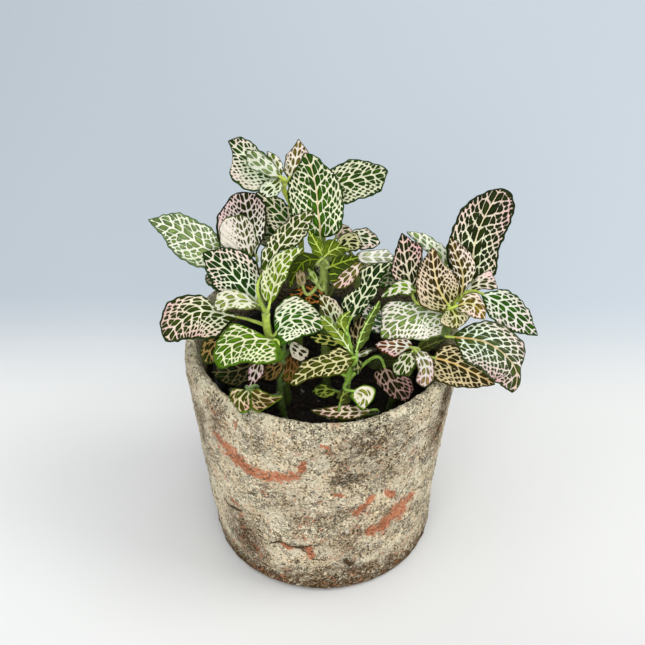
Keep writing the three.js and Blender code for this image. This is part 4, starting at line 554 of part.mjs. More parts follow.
const V = (a, i) => new THREE.Vector3(a[3 * i], a[3 * i + 1], a[3 * i + 2]);
const pts = (a) => Array.from({ length: a.length / 3 }, (_, i) => V(a, i));

function toManifold(positions, tris) {
  return new wasm.Manifold(new wasm.Mesh({
    numProp: 3,
    vertProperties: Float32Array.from(positions),
    triVerts: Uint32Array.from(tris),
  }));
}

// Closed thin blade over the stations, two strips wide, thickness along the local normal.
function bladeSolid(leaf) {
  // young leaves are small, so every other station is enough
  const keep = (p, i) => leaf.node || i % 2 === 0;
  const M = pts(leaf.mid).filter(keep), L = pts(leaf.left).filter(keep), R = pts(leaf.right).filter(keep);
  const n = M.length;
  const top = [], bottom = [];
  for (let i = 0; i < n; i++) {
    const a = M[Math.max(i - 1, 0)], b = M[Math.min(i + 1, n - 1)];
    const along = b.clone().sub(a).normalize();
    const nl = L[i].clone().sub(M[i]).cross(along).normalize();
    const nr = along.clone().cross(R[i].clone().sub(M[i])).normalize();
    // the two margins may lie on either hand, so both strips face the same way
    const flip = nl.dot(nr) < 0 ? -1 : 1;
    const nm = nl.clone().add(nr.clone().multiplyScalar(flip)).normalize();
    top.push(L[i].clone().addScaledVector(nl, LEAF_HALF_EDGE),
      M[i].clone().addScaledVector(nm, LEAF_HALF_MID),
      R[i].clone().addScaledVector(nr, LEAF_HALF_EDGE * flip));
    bottom.push(L[i].clone().addScaledVector(nl, -LEAF_HALF_EDGE),
      M[i].clone().addScaledVector(nm, -LEAF_HALF_MID),
      R[i].clone().addScaledVector(nr, -LEAF_HALF_EDGE * flip));
  }
  const v = [...top, ...bottom], off = top.length, tris = [];
  const T = (i, j) => 3 * i + j, B = (i, j) => off + 3 * i + j;
  const quad = (a, b, c, d) => tris.push(a, b, c, a, c, d);
  for (let i = 0; i < n - 1; i++) {
    for (let j = 0; j < 2; j++) {
      quad(T(i, j), T(i, j + 1), T(i + 1, j + 1), T(i + 1, j));
      quad(B(i, j), B(i + 1, j), B(i + 1, j + 1), B(i, j + 1));
    }
    quad(T(i, 0), T(i + 1, 0), B(i + 1, 0), B(i, 0));
    quad(T(i + 1, 2), T(i, 2), B(i, 2), B(i + 1, 2));
  }
  for (let j = 0; j < 2; j++) {
    quad(T(0, j + 1), T(0, j), B(0, j), B(0, j + 1));
    quad(T(n - 1, j), T(n - 1, j + 1), B(n - 1, j + 1), B(n - 1, j));
  }
  return orient(v.flatMap((p) => [p.x, p.y, p.z]), tris);
}

// Turns the triangles outward if the signed volume is negative.
function orient(p, tris) {
  let vol = 0;
  for (let i = 0; i < tris.length; i += 3) {
    const [a, b, c] = [0, 1, 2].map((k) => new THREE.Vector3(p[3 * tris[i + k]], p[3 * tris[i + k] + 1], p[3 * tris[i + k] + 2]));
    vol += a.dot(b.cross(c));
  }
  if (vol < 0) for (let i = 0; i < tris.length; i += 3) [tris[i + 1], tris[i + 2]] = [tris[i + 2], tris[i + 1]];
  return toManifold(p, tris);
}

// Closed round tube along a smooth line.
function tubeSolid(line, r0, r1, sides, steps) {
  const curve = new THREE.CatmullRomCurve3(line, false, 'centripetal');
  const pos = [], tris = [];
  let normal = null;
  for (let i = 0; i <= steps; i++) {
    const t = i / steps, c = curve.getPointAt(t), d = curve.getTangentAt(t);
    if (!normal) {
      normal = Math.abs(d.z) < 0.9 ? new THREE.Vector3(0, 0, 1) : new THREE.Vector3(1, 0, 0);
    }
    normal = normal.clone().addScaledVector(d, -normal.dot(d)).normalize();
    const side = d.clone().cross(normal);
    const r = r0 + (r1 - r0) * t;
    for (let k = 0; k < sides; k++) {
      const a = (2 * Math.PI * k) / sides;
      const p = c.clone().addScaledVector(normal, r * Math.cos(a)).addScaledVector(side, r * Math.sin(a));
      pos.push(p.x, p.y, p.z);
    }
  }
  for (let i = 0; i < steps; i++) {
    for (let k = 0; k < sides; k++) {
      const a = i * sides + k, b = i * sides + ((k + 1) % sides);
      tris.push(a, b, b + sides, a, b + sides, a + sides);
    }
  }
  for (let k = 1; k < sides - 1; k++) {
    tris.push(0, k + 1, k);
    tris.push(steps * sides, steps * sides + k, steps * sides + k + 1);
  }
  return orient(pos, tris);
}

// Solid of revolution from a closed ring of [radius, height] points, or one that starts and ends on the axis.
function latheSolid(profile, segments) {
  const onAxis = profile[0][0] < 1e-6;
  const pos = [], tris = [], idx = [];
  profile.forEach(([r, z], i) => {
    if (r < 1e-6) { idx.push([pos.length / 3]); pos.push(0, 0, z); return; }
    const row = [];
    for (let k = 0; k < segments; k++) {
      const a = (2 * Math.PI * k) / segments;
      row.push(pos.length / 3);
      pos.push(r * Math.cos(a), r * Math.sin(a), z);
    }
    idx.push(row);
  });
  const n = profile.length, last = onAxis ? n - 1 : n;
  for (let i = 0; i < last; i++) {
    const A = idx[i], B = idx[(i + 1) % n];
    for (let k = 0; k < segments; k++) {
      const k1 = (k + 1) % segments;
      if (A.length === 1 && B.length === 1) continue;
      if (A.length === 1) tris.push(A[0], B[k1], B[k]);
      else if (B.length === 1) tris.push(A[k], A[k1], B[0]);
      else tris.push(A[k], A[k1], B[k1], A[k], B[k1], B[k]);
    }
  }
  return orient(pos, tris);
}

function toMesh(name, solid, material) {
  const m = solid.getMesh();
  const g = new THREE.BufferGeometry();
  const p = new Float32Array(3 * (m.vertProperties.length / m.numProp));
  for (let i = 0; i < p.length / 3; i++) for (let k = 0; k < 3; k++) p[3 * i + k] = m.vertProperties[m.numProp * i + k];
  g.setAttribute('position', new THREE.BufferAttribute(p, 3));
  g.setIndex(new THREE.BufferAttribute(Uint32Array.from(m.triVerts), 1));
  g.computeVertexNormals();
  const mesh = new THREE.Mesh(g, material);
  mesh.name = name;
  return mesh;
}

const clay = new THREE.MeshStandardMaterial({ color: 0xb9a688, roughness: 0.95, metalness: 0 });
const blackPlastic = new THREE.MeshStandardMaterial({ color: 0x16181a, roughness: 0.5, metalness: 0 });
const earth = new THREE.MeshStandardMaterial({ color: 0x2a211a, roughness: 1, metalness: 0 });
const stemGreen = new THREE.MeshStandardMaterial({ color: 0x86a552, roughness: 0.6, metalness: 0 });
const leafGreen = new THREE.MeshStandardMaterial({ color: 0x5d8a48, roughness: 0.5, metalness: 0 });
const leafPale = new THREE.MeshStandardMaterial({ color: 0xc9cfa6, roughness: 0.5, metalness: 0 });

const plant = new THREE.Group();
plant.name = 'potted_nerve_plant';

// ---- clay pot ----
const outerAt = (z) => POT_BASE_RADIUS + (POT_RIM_RADIUS - POT_BASE_RADIUS) * (z / POT_HEIGHT);
const innerAt = (z) => outerAt(z) - POT_WALL;
const potProfile = [[0, 0], [outerAt(0) - POT_EDGE, 0]];
for (let i = 1; i <= 4; i++) {
  const a = (Math.PI / 2) * (i / 4);
  potProfile.push([outerAt(POT_EDGE) - POT_EDGE * (1 - Math.sin(a)), POT_EDGE * (1 - Math.cos(a))]);
}
potProfile.push([outerAt(40), 40], [outerAt(85), 85]);
const rimR = POT_WALL / 2, rimZ = POT_HEIGHT - rimR, rimC = outerAt(POT_HEIGHT) - rimR;
for (let i = 0; i <= 6; i++) {
  const a = Math.PI * (i / 6);
  potProfile.push([rimC + rimR * Math.cos(a), rimZ + rimR * Math.sin(a)]);
}
potProfile.push([innerAt(85), 85], [innerAt(40), 40], [innerAt(POT_FLOOR + 5), POT_FLOOR + 5],
  [innerAt(POT_FLOOR) - 5, POT_FLOOR], [0, POT_FLOOR]);
plant.add(toMesh('clay_pot', latheSolid(potProfile, 48), clay));

// ---- nursery pot ----
const insetFloor = POT_FLOOR + FIT_GAP, insetTop = insetFloor + INSET_HEIGHT;
const insetAt = (z) => INSET_BASE_RADIUS + (INSET_TOP_RADIUS - INSET_BASE_RADIUS) * ((z - insetFloor) / (INSET_HEIGHT - INSET_LIP));
const lipZ = insetTop - INSET_LIP;
plant.add(toMesh('nursery_pot', latheSolid([
  [0, insetFloor], [INSET_BASE_RADIUS, insetFloor], [insetAt(lipZ), lipZ], [INSET_RIM_RADIUS - 0.4, lipZ + 0.6],
  [INSET_RIM_RADIUS, insetTop], [INSET_RIM_RADIUS - INSET_WALL, insetTop],
  [insetAt(lipZ) - INSET_WALL + 0.3, lipZ + 0.9],
  [insetAt(insetFloor + INSET_WALL) - INSET_WALL, insetFloor + INSET_WALL], [0, insetFloor + INSET_WALL],
], 40), blackPlastic));

// ---- stems, with leaf stalks and the smallest young leaves ----
const stemSolids = {};
for (const [key, s] of Object.entries(STEMS)) {
  const line = pts(s.path);
  let solid = tubeSolid(line, s.radius[0], s.radius[1], 7, s.steps);
  for (const leaf of LEAVES) {
    if (leaf.stem !== key) continue;
    solid = solid.add(tubeSolid(pts(leaf.stalk), STALK_RADIUS[0], STALK_RADIUS[1], 5, 3));
    if (!leaf.node) solid = solid.add(bladeSolid(leaf));
  }
  stemSolids[key] = solid.simplify ? solid.simplify(0.02) : solid;
}

// ---- soil, with a socket for each stem ----
const soilFloor = insetFloor + INSET_WALL + FIT_GAP;
const soilAt = (z) => insetAt(z) - INSET_WALL - FIT_GAP - 0.15;
let soil = latheSolid([[0, soilFloor], [soilAt(soilFloor) - 1, soilFloor], [soilAt(soilFloor + 1), soilFloor + 1],
  [soilAt(SOIL_TOP - 1), SOIL_TOP - 1], [soilAt(SOIL_TOP) - 2, SOIL_TOP], [28, SOIL_TOP + 1.2], [0, SOIL_TOP + 2]], 36);
for (const s of Object.values(STEMS)) {
  const full = pts(s.path);
  const curve = new THREE.CatmullRomCurve3(full, false, 'centripetal');
  const low = [];
  for (let i = 0; i <= 200; i++) {
    const p = curve.getPointAt(i / 200);
    if (p.z > SOIL_STEM_TOP) break;
    if (i % 4 === 0) low.push(p);
  }
  const first = low[0].clone().addScaledVector(curve.getTangentAt(0), -FIT_GAP);
  soil = soil.subtract(tubeSolid([first, ...low.slice(1)], s.radius[0] + SOCKET_GAP, s.radius[0] + SOCKET_GAP, 7, 3));
}
plant.add(toMesh('soil', soil, earth));

for (const [key, s] of Object.entries(STEMS)) plant.add(toMesh(s.node, stemSolids[key], stemGreen));
for (const leaf of LEAVES) {
  if (!leaf.node) continue;
  plant.add(toMesh(leaf.node, bladeSolid(leaf), /white|young|pale|cream/.test(leaf.node) ? leafPale : leafGreen));
}

export default plant;
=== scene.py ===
import bpy, math
import numpy as np
from mathutils import Vector, Matrix


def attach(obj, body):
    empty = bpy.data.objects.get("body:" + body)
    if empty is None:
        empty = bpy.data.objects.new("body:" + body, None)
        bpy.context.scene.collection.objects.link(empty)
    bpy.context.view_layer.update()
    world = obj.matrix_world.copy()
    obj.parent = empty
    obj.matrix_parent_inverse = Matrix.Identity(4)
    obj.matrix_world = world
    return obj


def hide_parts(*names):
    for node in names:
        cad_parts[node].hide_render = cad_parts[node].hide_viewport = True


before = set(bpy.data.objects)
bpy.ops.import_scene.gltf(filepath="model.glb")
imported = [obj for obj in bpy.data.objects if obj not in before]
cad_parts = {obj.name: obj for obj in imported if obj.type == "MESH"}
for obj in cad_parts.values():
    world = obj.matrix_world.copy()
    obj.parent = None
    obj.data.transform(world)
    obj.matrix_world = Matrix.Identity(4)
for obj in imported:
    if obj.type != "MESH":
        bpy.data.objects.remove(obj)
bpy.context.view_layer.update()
MM = 0.001
STEP = 0.42        # leaf mesh spacing, mm

# Leaf stations in millimetres: midrib, left margin, right margin, stalk line.
LEAVES = {
    'A1': dict(node='leaf_top_left_outer', stem='A', pale=0,
        mid=[-20.9,30.2,199.2,-22.8,30.7,200.2,-26.2,31.8,202,-30.2,33.3,203.9,-34,35.3,205.7,-37.8,37.7,207.5,-41.4,40.5,209.1,-44.6,43.3,210.3,-46.4,44.8,210.9],
        left=[-20.5,30.7,199.4,-21.5,31.9,200.9,-23.4,35,204,-26.8,38,206.9,-30.9,40.7,209.2,-35,43.8,211.4,-39.8,46.1,212.7,-44.3,45.7,212,-46.3,45.1,211.1],
        right=[-21,29.7,198.7,-23.1,28.1,197.6,-28,25.1,195.4,-35.1,24.6,195.2,-41.4,26.9,197.2,-45.5,31.5,200.9,-44.2,36.9,205.4,-45.2,42,209.1,-46.5,44.6,210.7],
        stalk=[-20,29.3,197,-20,30,198.7,-20.12,30,198.79]),
    'A2': dict(node='leaf_top_left_folded', stem='A', pale=1,
        mid=[-20.8,25.6,203,-22,25.9,203.6,-24.4,26.6,204.9,-27,27.5,206.2,-29.4,28.8,207.7,-31.7,30.3,209.1,-33.9,32.1,210.6,-35.8,33.8,211.8,-36.8,34.8,212.4],
        left=[-20.2,26,203.2,-20.9,26.6,204.2,-21.8,28.5,206.3,-23.9,30.2,208.3,-26.5,31.7,210,-29.2,33.3,211.5,-32.2,34.5,212.6,-35.2,34.8,212.6,-36.6,35,212.6],
        right=[-21,25.2,202.5,-22.5,25.2,202.8,-25.7,25.3,203.1,-29.1,26.2,204.4,-32.7,27.1,205.3,-35.9,28.5,206.5,-37.2,31.1,209,-37.1,33.5,211.2,-37.1,34.7,212.3],
        stalk=[-20,29.3,197,-18.3,25,201.8,-20.01,25.4,202.61]),
    'A3': dict(node=None, stem='A', pale=1,
        mid=[-20.4,28.1,201.3,-20.7,28.6,202,-21.4,29.7,203.4,-22.2,31,204.9,-23.2,32.4,206.3,-24.3,33.9,207.5,-25.5,35.5,208.5,-26.6,37,209.3,-27.2,37.9,209.8],
        left=[-21,28,201.1,-21.6,28.4,202,-22.2,29.4,203.3,-23.2,30.7,204.6,-24.6,32.1,205.8,-25.9,33.5,206.9,-27,35.2,208.1,-27.3,36.5,209,-27.5,37.9,209.7],
        right=[-19.7,28.2,201.3,-19.8,28.8,202.1,-19.4,30.2,203.7,-19.5,32,205.5,-20.3,33.9,207.1,-21.9,35.5,208.4,-24,36.7,209.3,-26,37.6,209.7,-27,38.1,209.9],
        stalk=[-20,29.3,197,-19.8,27.1,199.9,-20.93,28.98,202.53]),
    'A4': dict(node=None, stem='A', pale=1,
        mid=[-20.3,26.3,200.7,-21,25.6,200.5,-22.1,24.4,200.1,-23.4,23.2,199.5,-24.8,22.1,198.8,-26.2,21.2,198.1,-27.6,20.5,197.2,-28.8,20,196.4,-29.5,19.7,195.9],
        left=[-20.6,26.9,201,-21.5,26.6,201,-23.6,26.9,201.5,-26.1,26.5,201.4,-28.4,25.5,200.7,-30.2,24,199.5,-31,22.1,198,-30.1,20.5,196.6,-29.8,19.9,196],
        right=[-19.7,26.2,200.5,-19.9,25.3,200.1,-19.3,23.4,198.9,-20,21.3,197.6,-21.7,19.7,196.5,-23.9,18.8,195.8,-26.3,18.6,195.5,-28.4,19.2,195.7,-29.3,19.5,195.7],
        stalk=[-20,29.3,197,-19,27.6,201.1,-21.41,25.19,200.38]),
    'A5': dict(node='leaf_top_pointed', stem='A', pale=0,
        mid=[-16.7,38,193.7,-16.1,38.9,194.6,-15.1,40.6,196.3,-14,42.7,198.2,-13.2,45.1,200.1,-12.7,47.7,201.8,-12.3,50.5,203.5,-12.2,53,204.9,-12.1,54.4,205.7],
        left=[-17.4,38,193.6,-18,38.8,194.3,-19.4,40.8,195.9,-19.2,43.5,198.1,-18.8,46.3,200.3,-16.9,48.7,202,-14.8,51,203.6,-13.1,52.9,205,-12.4,54.5,205.7],
        right=[-16.1,37.7,193.4,-14.8,38.2,193.9,-11.4,39.1,194.7,-8.2,41.1,196.3,-6.2,44.2,198.5,-6.3,47.6,201,-8.4,50.7,203.2,-10.8,53.1,204.9,-11.7,54.4,205.7],
        stalk=[-19.3,31.9,191.7,-17.9,36.2,191.9,-17.08,37.42,193.12]),
    'A6': dict(node='leaf_top_centre', stem='K', pale=0,
        mid=[-1.5,17.2,173.7,-1.4,18.7,176.3,-1.9,21.6,180.8,-2.6,25.4,185.7,-3.1,29.7,190.4,-4.1,34.3,194.6,-5.7,39.4,198.5,-7.9,43.9,201.4,-9.3,46.4,202.8],
        left=[-2.1,17,173.4,-5,17.3,174.4,-10.8,19,176.8,-15.2,23.1,181.5,-17,28.2,186.9,-17.4,33.9,192.3,-14.3,39.1,197,-10.9,43.7,200.8,-9.7,46.3,202.7],
        right=[-1,16.9,173.4,2.6,16.5,173.4,8.6,19,176.6,10.2,24.7,183.1,9.8,30.8,189.6,6.7,36.7,195.5,0.7,41.7,199.8,-5.2,45.7,202.8,-9.1,46.5,203],
        stalk=[-0.6,29.2,171.7,-1.6,15.5,170.7,-1.53,16.75,172.92]),
    'A7': dict(node='leaf_top_right', stem='K', pale=0,
        mid=[-0.5,33.5,187.3,1.6,34.4,188.2,5.5,36,189.8,10.2,37.8,191.2,15.1,39.3,192.2,20.1,40.7,192.8,25.3,41.9,193.1,29.7,43.3,193.4,32,44.2,193.6],
        left=[-1.1,33.9,187.6,-0.9,36,189.4,0.5,40.4,193.1,5.3,44.2,196.1,11.3,47,198,17.9,47.9,198.2,24.5,46.9,196.8,30.1,46,195.3,32.1,44.4,193.8],
        right=[-0.5,33,186.8,1.8,32.2,185.9,6.7,30.8,184.1,12.9,30.8,183.5,18.8,32.8,184.8,24.9,34.5,185.6,29.6,37.8,188.2,31.2,41.9,191.7,32.2,44,193.4],
        stalk=[-1,30,180,-3.3,32.3,186.1,-1.27,33.17,186.97]),
    'B1': dict(node='leaf_left_back_pink', stem='B', pale=0,
        mid=[-32.7,10.5,166.6,-33.2,12.3,168,-34,15.9,170.4,-35,20.4,173,-36,25.1,175.4,-37.1,30.1,177.6,-38.2,35.5,179.6,-39.2,40.3,181.2,-39.7,43.1,182],
        left=[-33.3,10.1,166.4,-36.4,10.2,166.6,-43.1,10.9,166.9,-49.5,15.4,169.1,-52.6,22.7,172.6,-52.2,30.7,176.4,-48,37.5,179.6,-43.3,42.4,181.8,-40,43.2,182.1],
        right=[-32.1,10.8,166.7,-31.9,12.9,168.1,-29.6,17.4,170.6,-27.8,23,173.5,-27.6,29.2,176.5,-28.2,35.6,179.3,-31.9,40.8,181.4,-36.8,42.8,182.1,-39.5,43.3,182.1],
        stalk=[-36,9,162,-32.2,8.7,165.2,-32.51,9.81,166.06]),
    'B2': dict(node='leaf_left_back_young', stem='B', pale=1,
        mid=[-35.5,7.8,169.2,-35.9,9.3,169.8,-36.6,11.8,171.1,-37.4,14.5,172.7,-38.1,17,174.6,-38.9,19.1,176.6,-39.6,20.9,178.9,-40.2,22.3,181.1,-40.5,22.9,182.3],
        left=[-36.2,7.6,169,-38.2,8.7,169,-43.1,10.2,168.7,-48.5,12.3,169.2,-50.8,16.4,172.4,-50.4,20.5,176.4,-48.1,23.7,180.1,-43.2,23.4,181.6,-40.9,23,182.4],
        right=[-34.8,7.8,169.1,-34.2,9.2,169.6,-32.6,12.1,170.8,-32.3,15.5,172.8,-33.1,18.5,175.2,-34.2,21.1,177.7,-36,23.1,180.2,-38.8,23.3,181.8,-40.3,23.1,182.4],
        stalk=[-36,9,162,-34.8,5.2,168.1,-35.28,6.99,168.88]),
    'B3': dict(node='leaf_far_left', stem='B', pale=0,
        mid=[-46.7,14.2,162.6,-49.5,14.9,163.6,-54.7,16.4,165.3,-60.6,18.6,167.4,-66,21.6,169.9,-71.7,24.6,171.9,-77.9,27.4,172.9,-83.5,29.7,173.4,-86.5,31.1,173.6],
        left=[-46.4,14.7,163,-48.6,16.2,164.7,-50.9,20.6,169.1,-55.3,25.2,173.4,-62.2,27.9,175.5,-69.1,31,177.4,-76.7,31.9,176.8,-83,31.3,174.8,-86.4,31.3,173.8],
        right=[-46.5,13.7,162,-48.6,12.1,160.3,-54.8,10.7,158.4,-62.6,11.8,158.9,-69.6,14.9,161,-75.6,19.1,164.3,-79.7,24.2,168.7,-84.4,28.5,171.7,-86.6,30.9,173.4],
        stalk=[-35.7,9.1,160.9,-43.5,13.4,161.5,-45.87,13.99,162.31]),
    'B4': dict(node='leaf_back_dark', stem='A', pale=0,
        mid=[-15.3,29.7,170.6,-16.5,30.6,171.6,-18.6,32.2,173.3,-21.2,34.3,175.1,-23.8,36.3,176.8,-26.6,38.5,178.3,-29.4,40.7,179.7,-31.9,42.6,180.7,-33.3,43.7,181.3],
        left=[-15.3,29.2,170.2,-16.3,28,169.2,-19.4,25.7,167.3,-24.1,27.2,168.6,-27.5,30.2,171.1,-29.5,34,174.2,-31.3,38.1,177.3,-32.9,41.7,179.8,-33.5,43.5,181.1],
        right=[-14.7,30,170.8,-14.9,31.4,172,-14.7,34.5,174.4,-16.5,37.7,177.1,-19.7,40.3,179.1,-23.4,42.3,180.7,-27.6,43.9,181.7,-31.4,44.4,181.8,-33.2,44,181.4],
        stalk=[-12.2,30,169.5,-14.4,29,169.9,-14.7,29.25,170.1]),
    'C1': dict(node='leaf_left_dark', stem='C', pale=0,
        mid=[-31.5,-11.2,155.1,-33.4,-10.3,156.5,-36.7,-8.3,159,-40.1,-5.3,162.1,-43.6,-2.2,164.8,-47.7,0.8,167,-52.2,3.6,168.6,-56.2,6.3,169.8,-58.4,7.9,170.4],
        left=[-31.8,-11.6,154.7,-34.3,-11.7,155.1,-39.7,-11.9,155.4,-45.6,-10.6,156.7,-50.9,-8.1,158.7,-54.5,-4,161.9,-57,0.8,165.5,-58.1,5.3,168.7,-58.6,7.7,170.3],
        right=[-30.9,-10.9,155.3,-30.3,-8.7,157.3,-29.6,-3.9,161.5,-31.1,1.7,166.3,-35.1,6.7,170.3,-41.7,9.1,172.3,-49.1,9.8,172.6,-55.3,8.9,171.5,-58.3,8.1,170.6],
        stalk=[-27.5,-17.5,153,-29.2,-12.3,153.4,-30.82,-11.52,154.6]),
    'C2': dict(node='leaf_left_long', stem='C', pale=0,
        mid=[-29.2,-10.4,171,-27.9,-8,172.2,-25.3,-3.5,174.4,-22,1.7,176.9,-18.4,6.7,179.1,-14.4,11.7,181.1,-10.2,16.6,182.9,-6.5,20.8,184.4,-4.4,23.1,185.1],
        left=[-29.9,-10.1,171.1,-29.9,-7.3,172.5,-30.2,-1.3,175.4,-27.8,5.2,178.4,-23.9,11.1,180.9,-18.7,15.9,182.9,-13.4,20.8,184.7,-7.6,22.6,185.1,-4.6,23.4,185.3],
        right=[-28.5,-10.4,171,-27,-8.3,172.1,-24.5,-3.9,174.3,-20.4,1.3,176.7,-14.3,3.3,177.6,-9.3,7.4,179.3,-6.3,13.7,181.7,-4.8,19.7,183.9,-4.1,22.9,185.1],
        stalk=[-27.5,-17.5,153,-30.7,-13.2,169.6,-29.59,-11.12,170.64]),
    'C3': dict(node='leaf_left_bright', stem='C', pale=0,
        mid=[-25.3,-21.7,163.5,-24.8,-20.1,165,-23.8,-17.1,167.7,-22,-13.7,170.6,-20.2,-10.2,173.5,-17.4,-7.1,175.9,-13.8,-4.6,178,-10.8,-2.2,179.7,-9.1,-0.9,180.6],
        left=[-26,-21.9,163.3,-28.1,-21.1,164.3,-30.1,-17.3,167.4,-29.9,-12.2,171.5,-27.4,-7.6,175.2,-23.1,-3.9,178.2,-17.5,-1.5,180.2,-12.1,-0.9,180.7,-9.4,-0.6,180.8],
        right=[-24.8,-22.2,163.4,-23.3,-21.5,164.6,-21.3,-19,167.2,-19.1,-15.9,170.1,-16.8,-12.7,172.8,-15.5,-8.7,175.5,-13,-5.2,177.8,-10.1,-2.8,179.5,-8.9,-1.1,180.5],
        stalk=[-27.5,-17.5,153,-26.1,-24.2,161.2,-25.5,-22.34,162.9]),
    'C4': dict(node='leaf_left_curled', stem='C', pale=1,
        mid=[-30.4,-15.7,156.8,-31.8,-15.6,157.7,-34.6,-15.5,158.9,-38,-15.2,159.9,-41.4,-15.1,160.3,-44.8,-15.4,159.8,-48,-16.2,158.6,-50.6,-16.8,157,-52,-17,156.1],
        left=[-30.3,-16.2,156.4,-31.7,-17,156.7,-34.4,-19,156.6,-37.8,-19.6,157,-41.3,-19.5,157.4,-44.8,-19.6,157.1,-48.2,-19.9,156.1,-51.1,-18.8,155.7,-52.1,-17.3,155.9],
        right=[-30.3,-15,157.1,-31.8,-14.7,158.1,-35,-13.2,160,-39,-11.4,161.6,-43.4,-10.3,162.4,-48,-10.4,161.9,-51.5,-12.5,160,-52.4,-15.5,157.5,-52.3,-16.8,156.2],
        stalk=[-27.5,-17.5,153,-28.7,-15.8,155.7,-29.64,-15.75,156.31]),
    'C5': dict(node='leaf_left_low', stem='C', pale=0,
        mid=[-41.2,-13.9,147.9,-44.1,-14.3,149,-49.3,-14.5,150.8,-55.4,-14.6,152.2,-61.6,-15.1,152.2,-66.9,-17.2,149.8,-71.5,-19.5,146.2,-74.7,-21.5,142.3,-76.5,-22.5,140],
        left=[-41,-14.3,147.4,-43.4,-15.8,147.2,-47.1,-19.2,145.4,-51,-22.9,142.6,-56.7,-23.9,142.1,-62.5,-23.7,142.2,-68.5,-23.8,141.2,-73.7,-23.5,139.9,-76.4,-22.7,139.7],
        right=[-41.4,-13.3,148.4,-44.5,-12.6,150.2,-51.5,-11.7,152.8,-58.3,-8.3,156.9,-67,-8.4,157.1,-75,-10.3,154.5,-78.7,-15.5,148.7,-78.4,-20.3,142.9,-76.8,-22.4,140],
        stalk=[-27.1,-18.4,146,-38,-13.5,146.7,-40.37,-13.78,147.58]),
    'C6': dict(node='leaf_front_left', stem='C', pale=0,
        mid=[-23.1,-26.2,143.7,-25.4,-26.8,144.4,-29.7,-27.7,145.6,-34.6,-28.7,146.2,-39.5,-29.8,145.9,-44,-31.3,144.6,-47.8,-33.4,142.2,-50.5,-35.4,139.4,-51.8,-36.3,137.7],
        left=[-22.5,-26.5,143.4,-21,-28.9,142.7,-18.3,-34.1,140.3,-23.8,-37.8,139.1,-30.7,-38.8,139.1,-37.5,-38.3,139.4,-44.1,-39.3,137.9,-50,-39.1,136.7,-51.8,-36.6,137.5],
        right=[-23.4,-25.6,143.9,-26,-25.7,145,-31.4,-24.4,147.1,-37.5,-22.2,149.2,-43.8,-20.9,150.1,-48.4,-25.3,147.3,-51.9,-29.9,143.7,-52.8,-34.2,139.9,-52.1,-36.2,137.8],
        stalk=[-24,-16,127,-24,-29,132,-23,-32.5,138,-22.4,-26,143.5,-22.26,-25.98,143.45]),
    'C7': dict(node='leaf_front_centre_left', stem='C', pale=0,
        mid=[-22.7,-20.8,143.6,-21.6,-20.2,145.1,-19.4,-18.8,147.6,-15.9,-17.7,149.5,-11.9,-17.5,149.9,-7.8,-17.8,149.4,-3.9,-18.3,147.9,-0.8,-18.6,146.1,1,-18.6,144.9],
        left=[-23.3,-20.4,143.8,-23.8,-18.5,145.8,-23.9,-13.8,149.8,-20.6,-8.7,153.6,-14.3,-6.1,155.4,-7.8,-8.2,154,-2.6,-12.1,150.8,0.2,-16.3,147.2,1.1,-18.3,145.1],
        right=[-23,-21.3,143.2,-23.3,-23.3,142.9,-22,-27.3,141.5,-17.7,-27.5,142.3,-13.4,-26.1,143.7,-9,-24.5,144.5,-4.5,-22.8,144.6,-0.7,-20.6,144.6,1,-18.9,144.7],
        stalk=[-26.5,-18.2,141.8,-23.8,-21.4,142.1,-23.21,-21.08,142.91]),
    'D1a': dict(node=None, stem='D', pale=0,
        mid=[0,-1,175.3,-0.5,-0.5,176,-1.3,0.3,177.4,-2.3,1.2,179,-3.3,2.2,180.5,-4.3,3.1,182.1,-5.3,4,183.6,-6.3,4.8,184.9,-6.7,5.2,185.7],
        left=[-0.4,-1.2,174.7,-1.2,-1,175,-3.3,-0.7,175,-5,0.2,176.6,-6.1,1.4,178.5,-7.1,2.5,180.5,-7.5,3.7,182.7,-7.1,4.6,184.8,-7.1,5.2,185.5],
        right=[0.7,-0.9,175.3,0.6,-0.4,176,1.4,0.7,177.6,1,2,179.5,-0.4,3,181.3,-2.3,3.7,182.6,-4.2,4.3,183.9,-5.4,5,185.1,-6.4,5.3,185.7],
        stalk=[0.5,3.5,167,1.8,-2.8,172.8,-0.8,-0.2,176.43]),
    'D1b': dict(node=None, stem='D', pale=0,
        mid=[0.5,-2.7,176,1.2,-2.3,176.5,2.5,-1.7,177.6,4.2,-1.1,178.7,6.1,-0.6,179.5,8.1,-0.3,179.9,10.2,-0.4,179.8,12,-0.6,179.5,12.9,-0.7,179.3],
        left=[-0.2,-2.5,176.2,-0.1,-1.8,177.1,-0.6,-0.2,179.3,0.8,1.3,181.7,3.5,2.2,183.1,6.5,1.6,182.4,9.1,0.4,180.8,11.8,-0.2,180.3,12.7,-0.6,179.5],
        right=[0.7,-3,175.4,2,-2.6,176.2,3.1,-2.5,175.8,5.2,-2.3,175.9,7.1,-2.1,176.3,9,-1.7,176.9,10.8,-1.3,177.8,12.2,-1,178.7,13,-0.8,179],
        stalk=[0.5,3.5,167,-2.1,-4.2,174.2,1.68,-2.03,176.84]),
    'D2': dict(node='leaf_centre_turned_left', stem='D', pale=0,
        mid=[-2,6.7,167.1,-3.5,6.3,167.5,-6.3,5.7,167.9,-9.3,4.5,167.4,-11.5,2.7,165.9,-13.1,0.9,163.7,-14.5,-0.7,161.3,-15.5,-2,158.9,-16.1,-2.5,157.6],
        left=[-1.8,7.2,167.5,-3.1,7.6,168.5,-6.6,8.1,169.9,-11,7.4,169.8,-14.9,5.9,168.4,-17.4,3.5,165.7,-17.6,0.7,162.3,-16.7,-1.5,159.2,-16.4,-2.4,157.7],
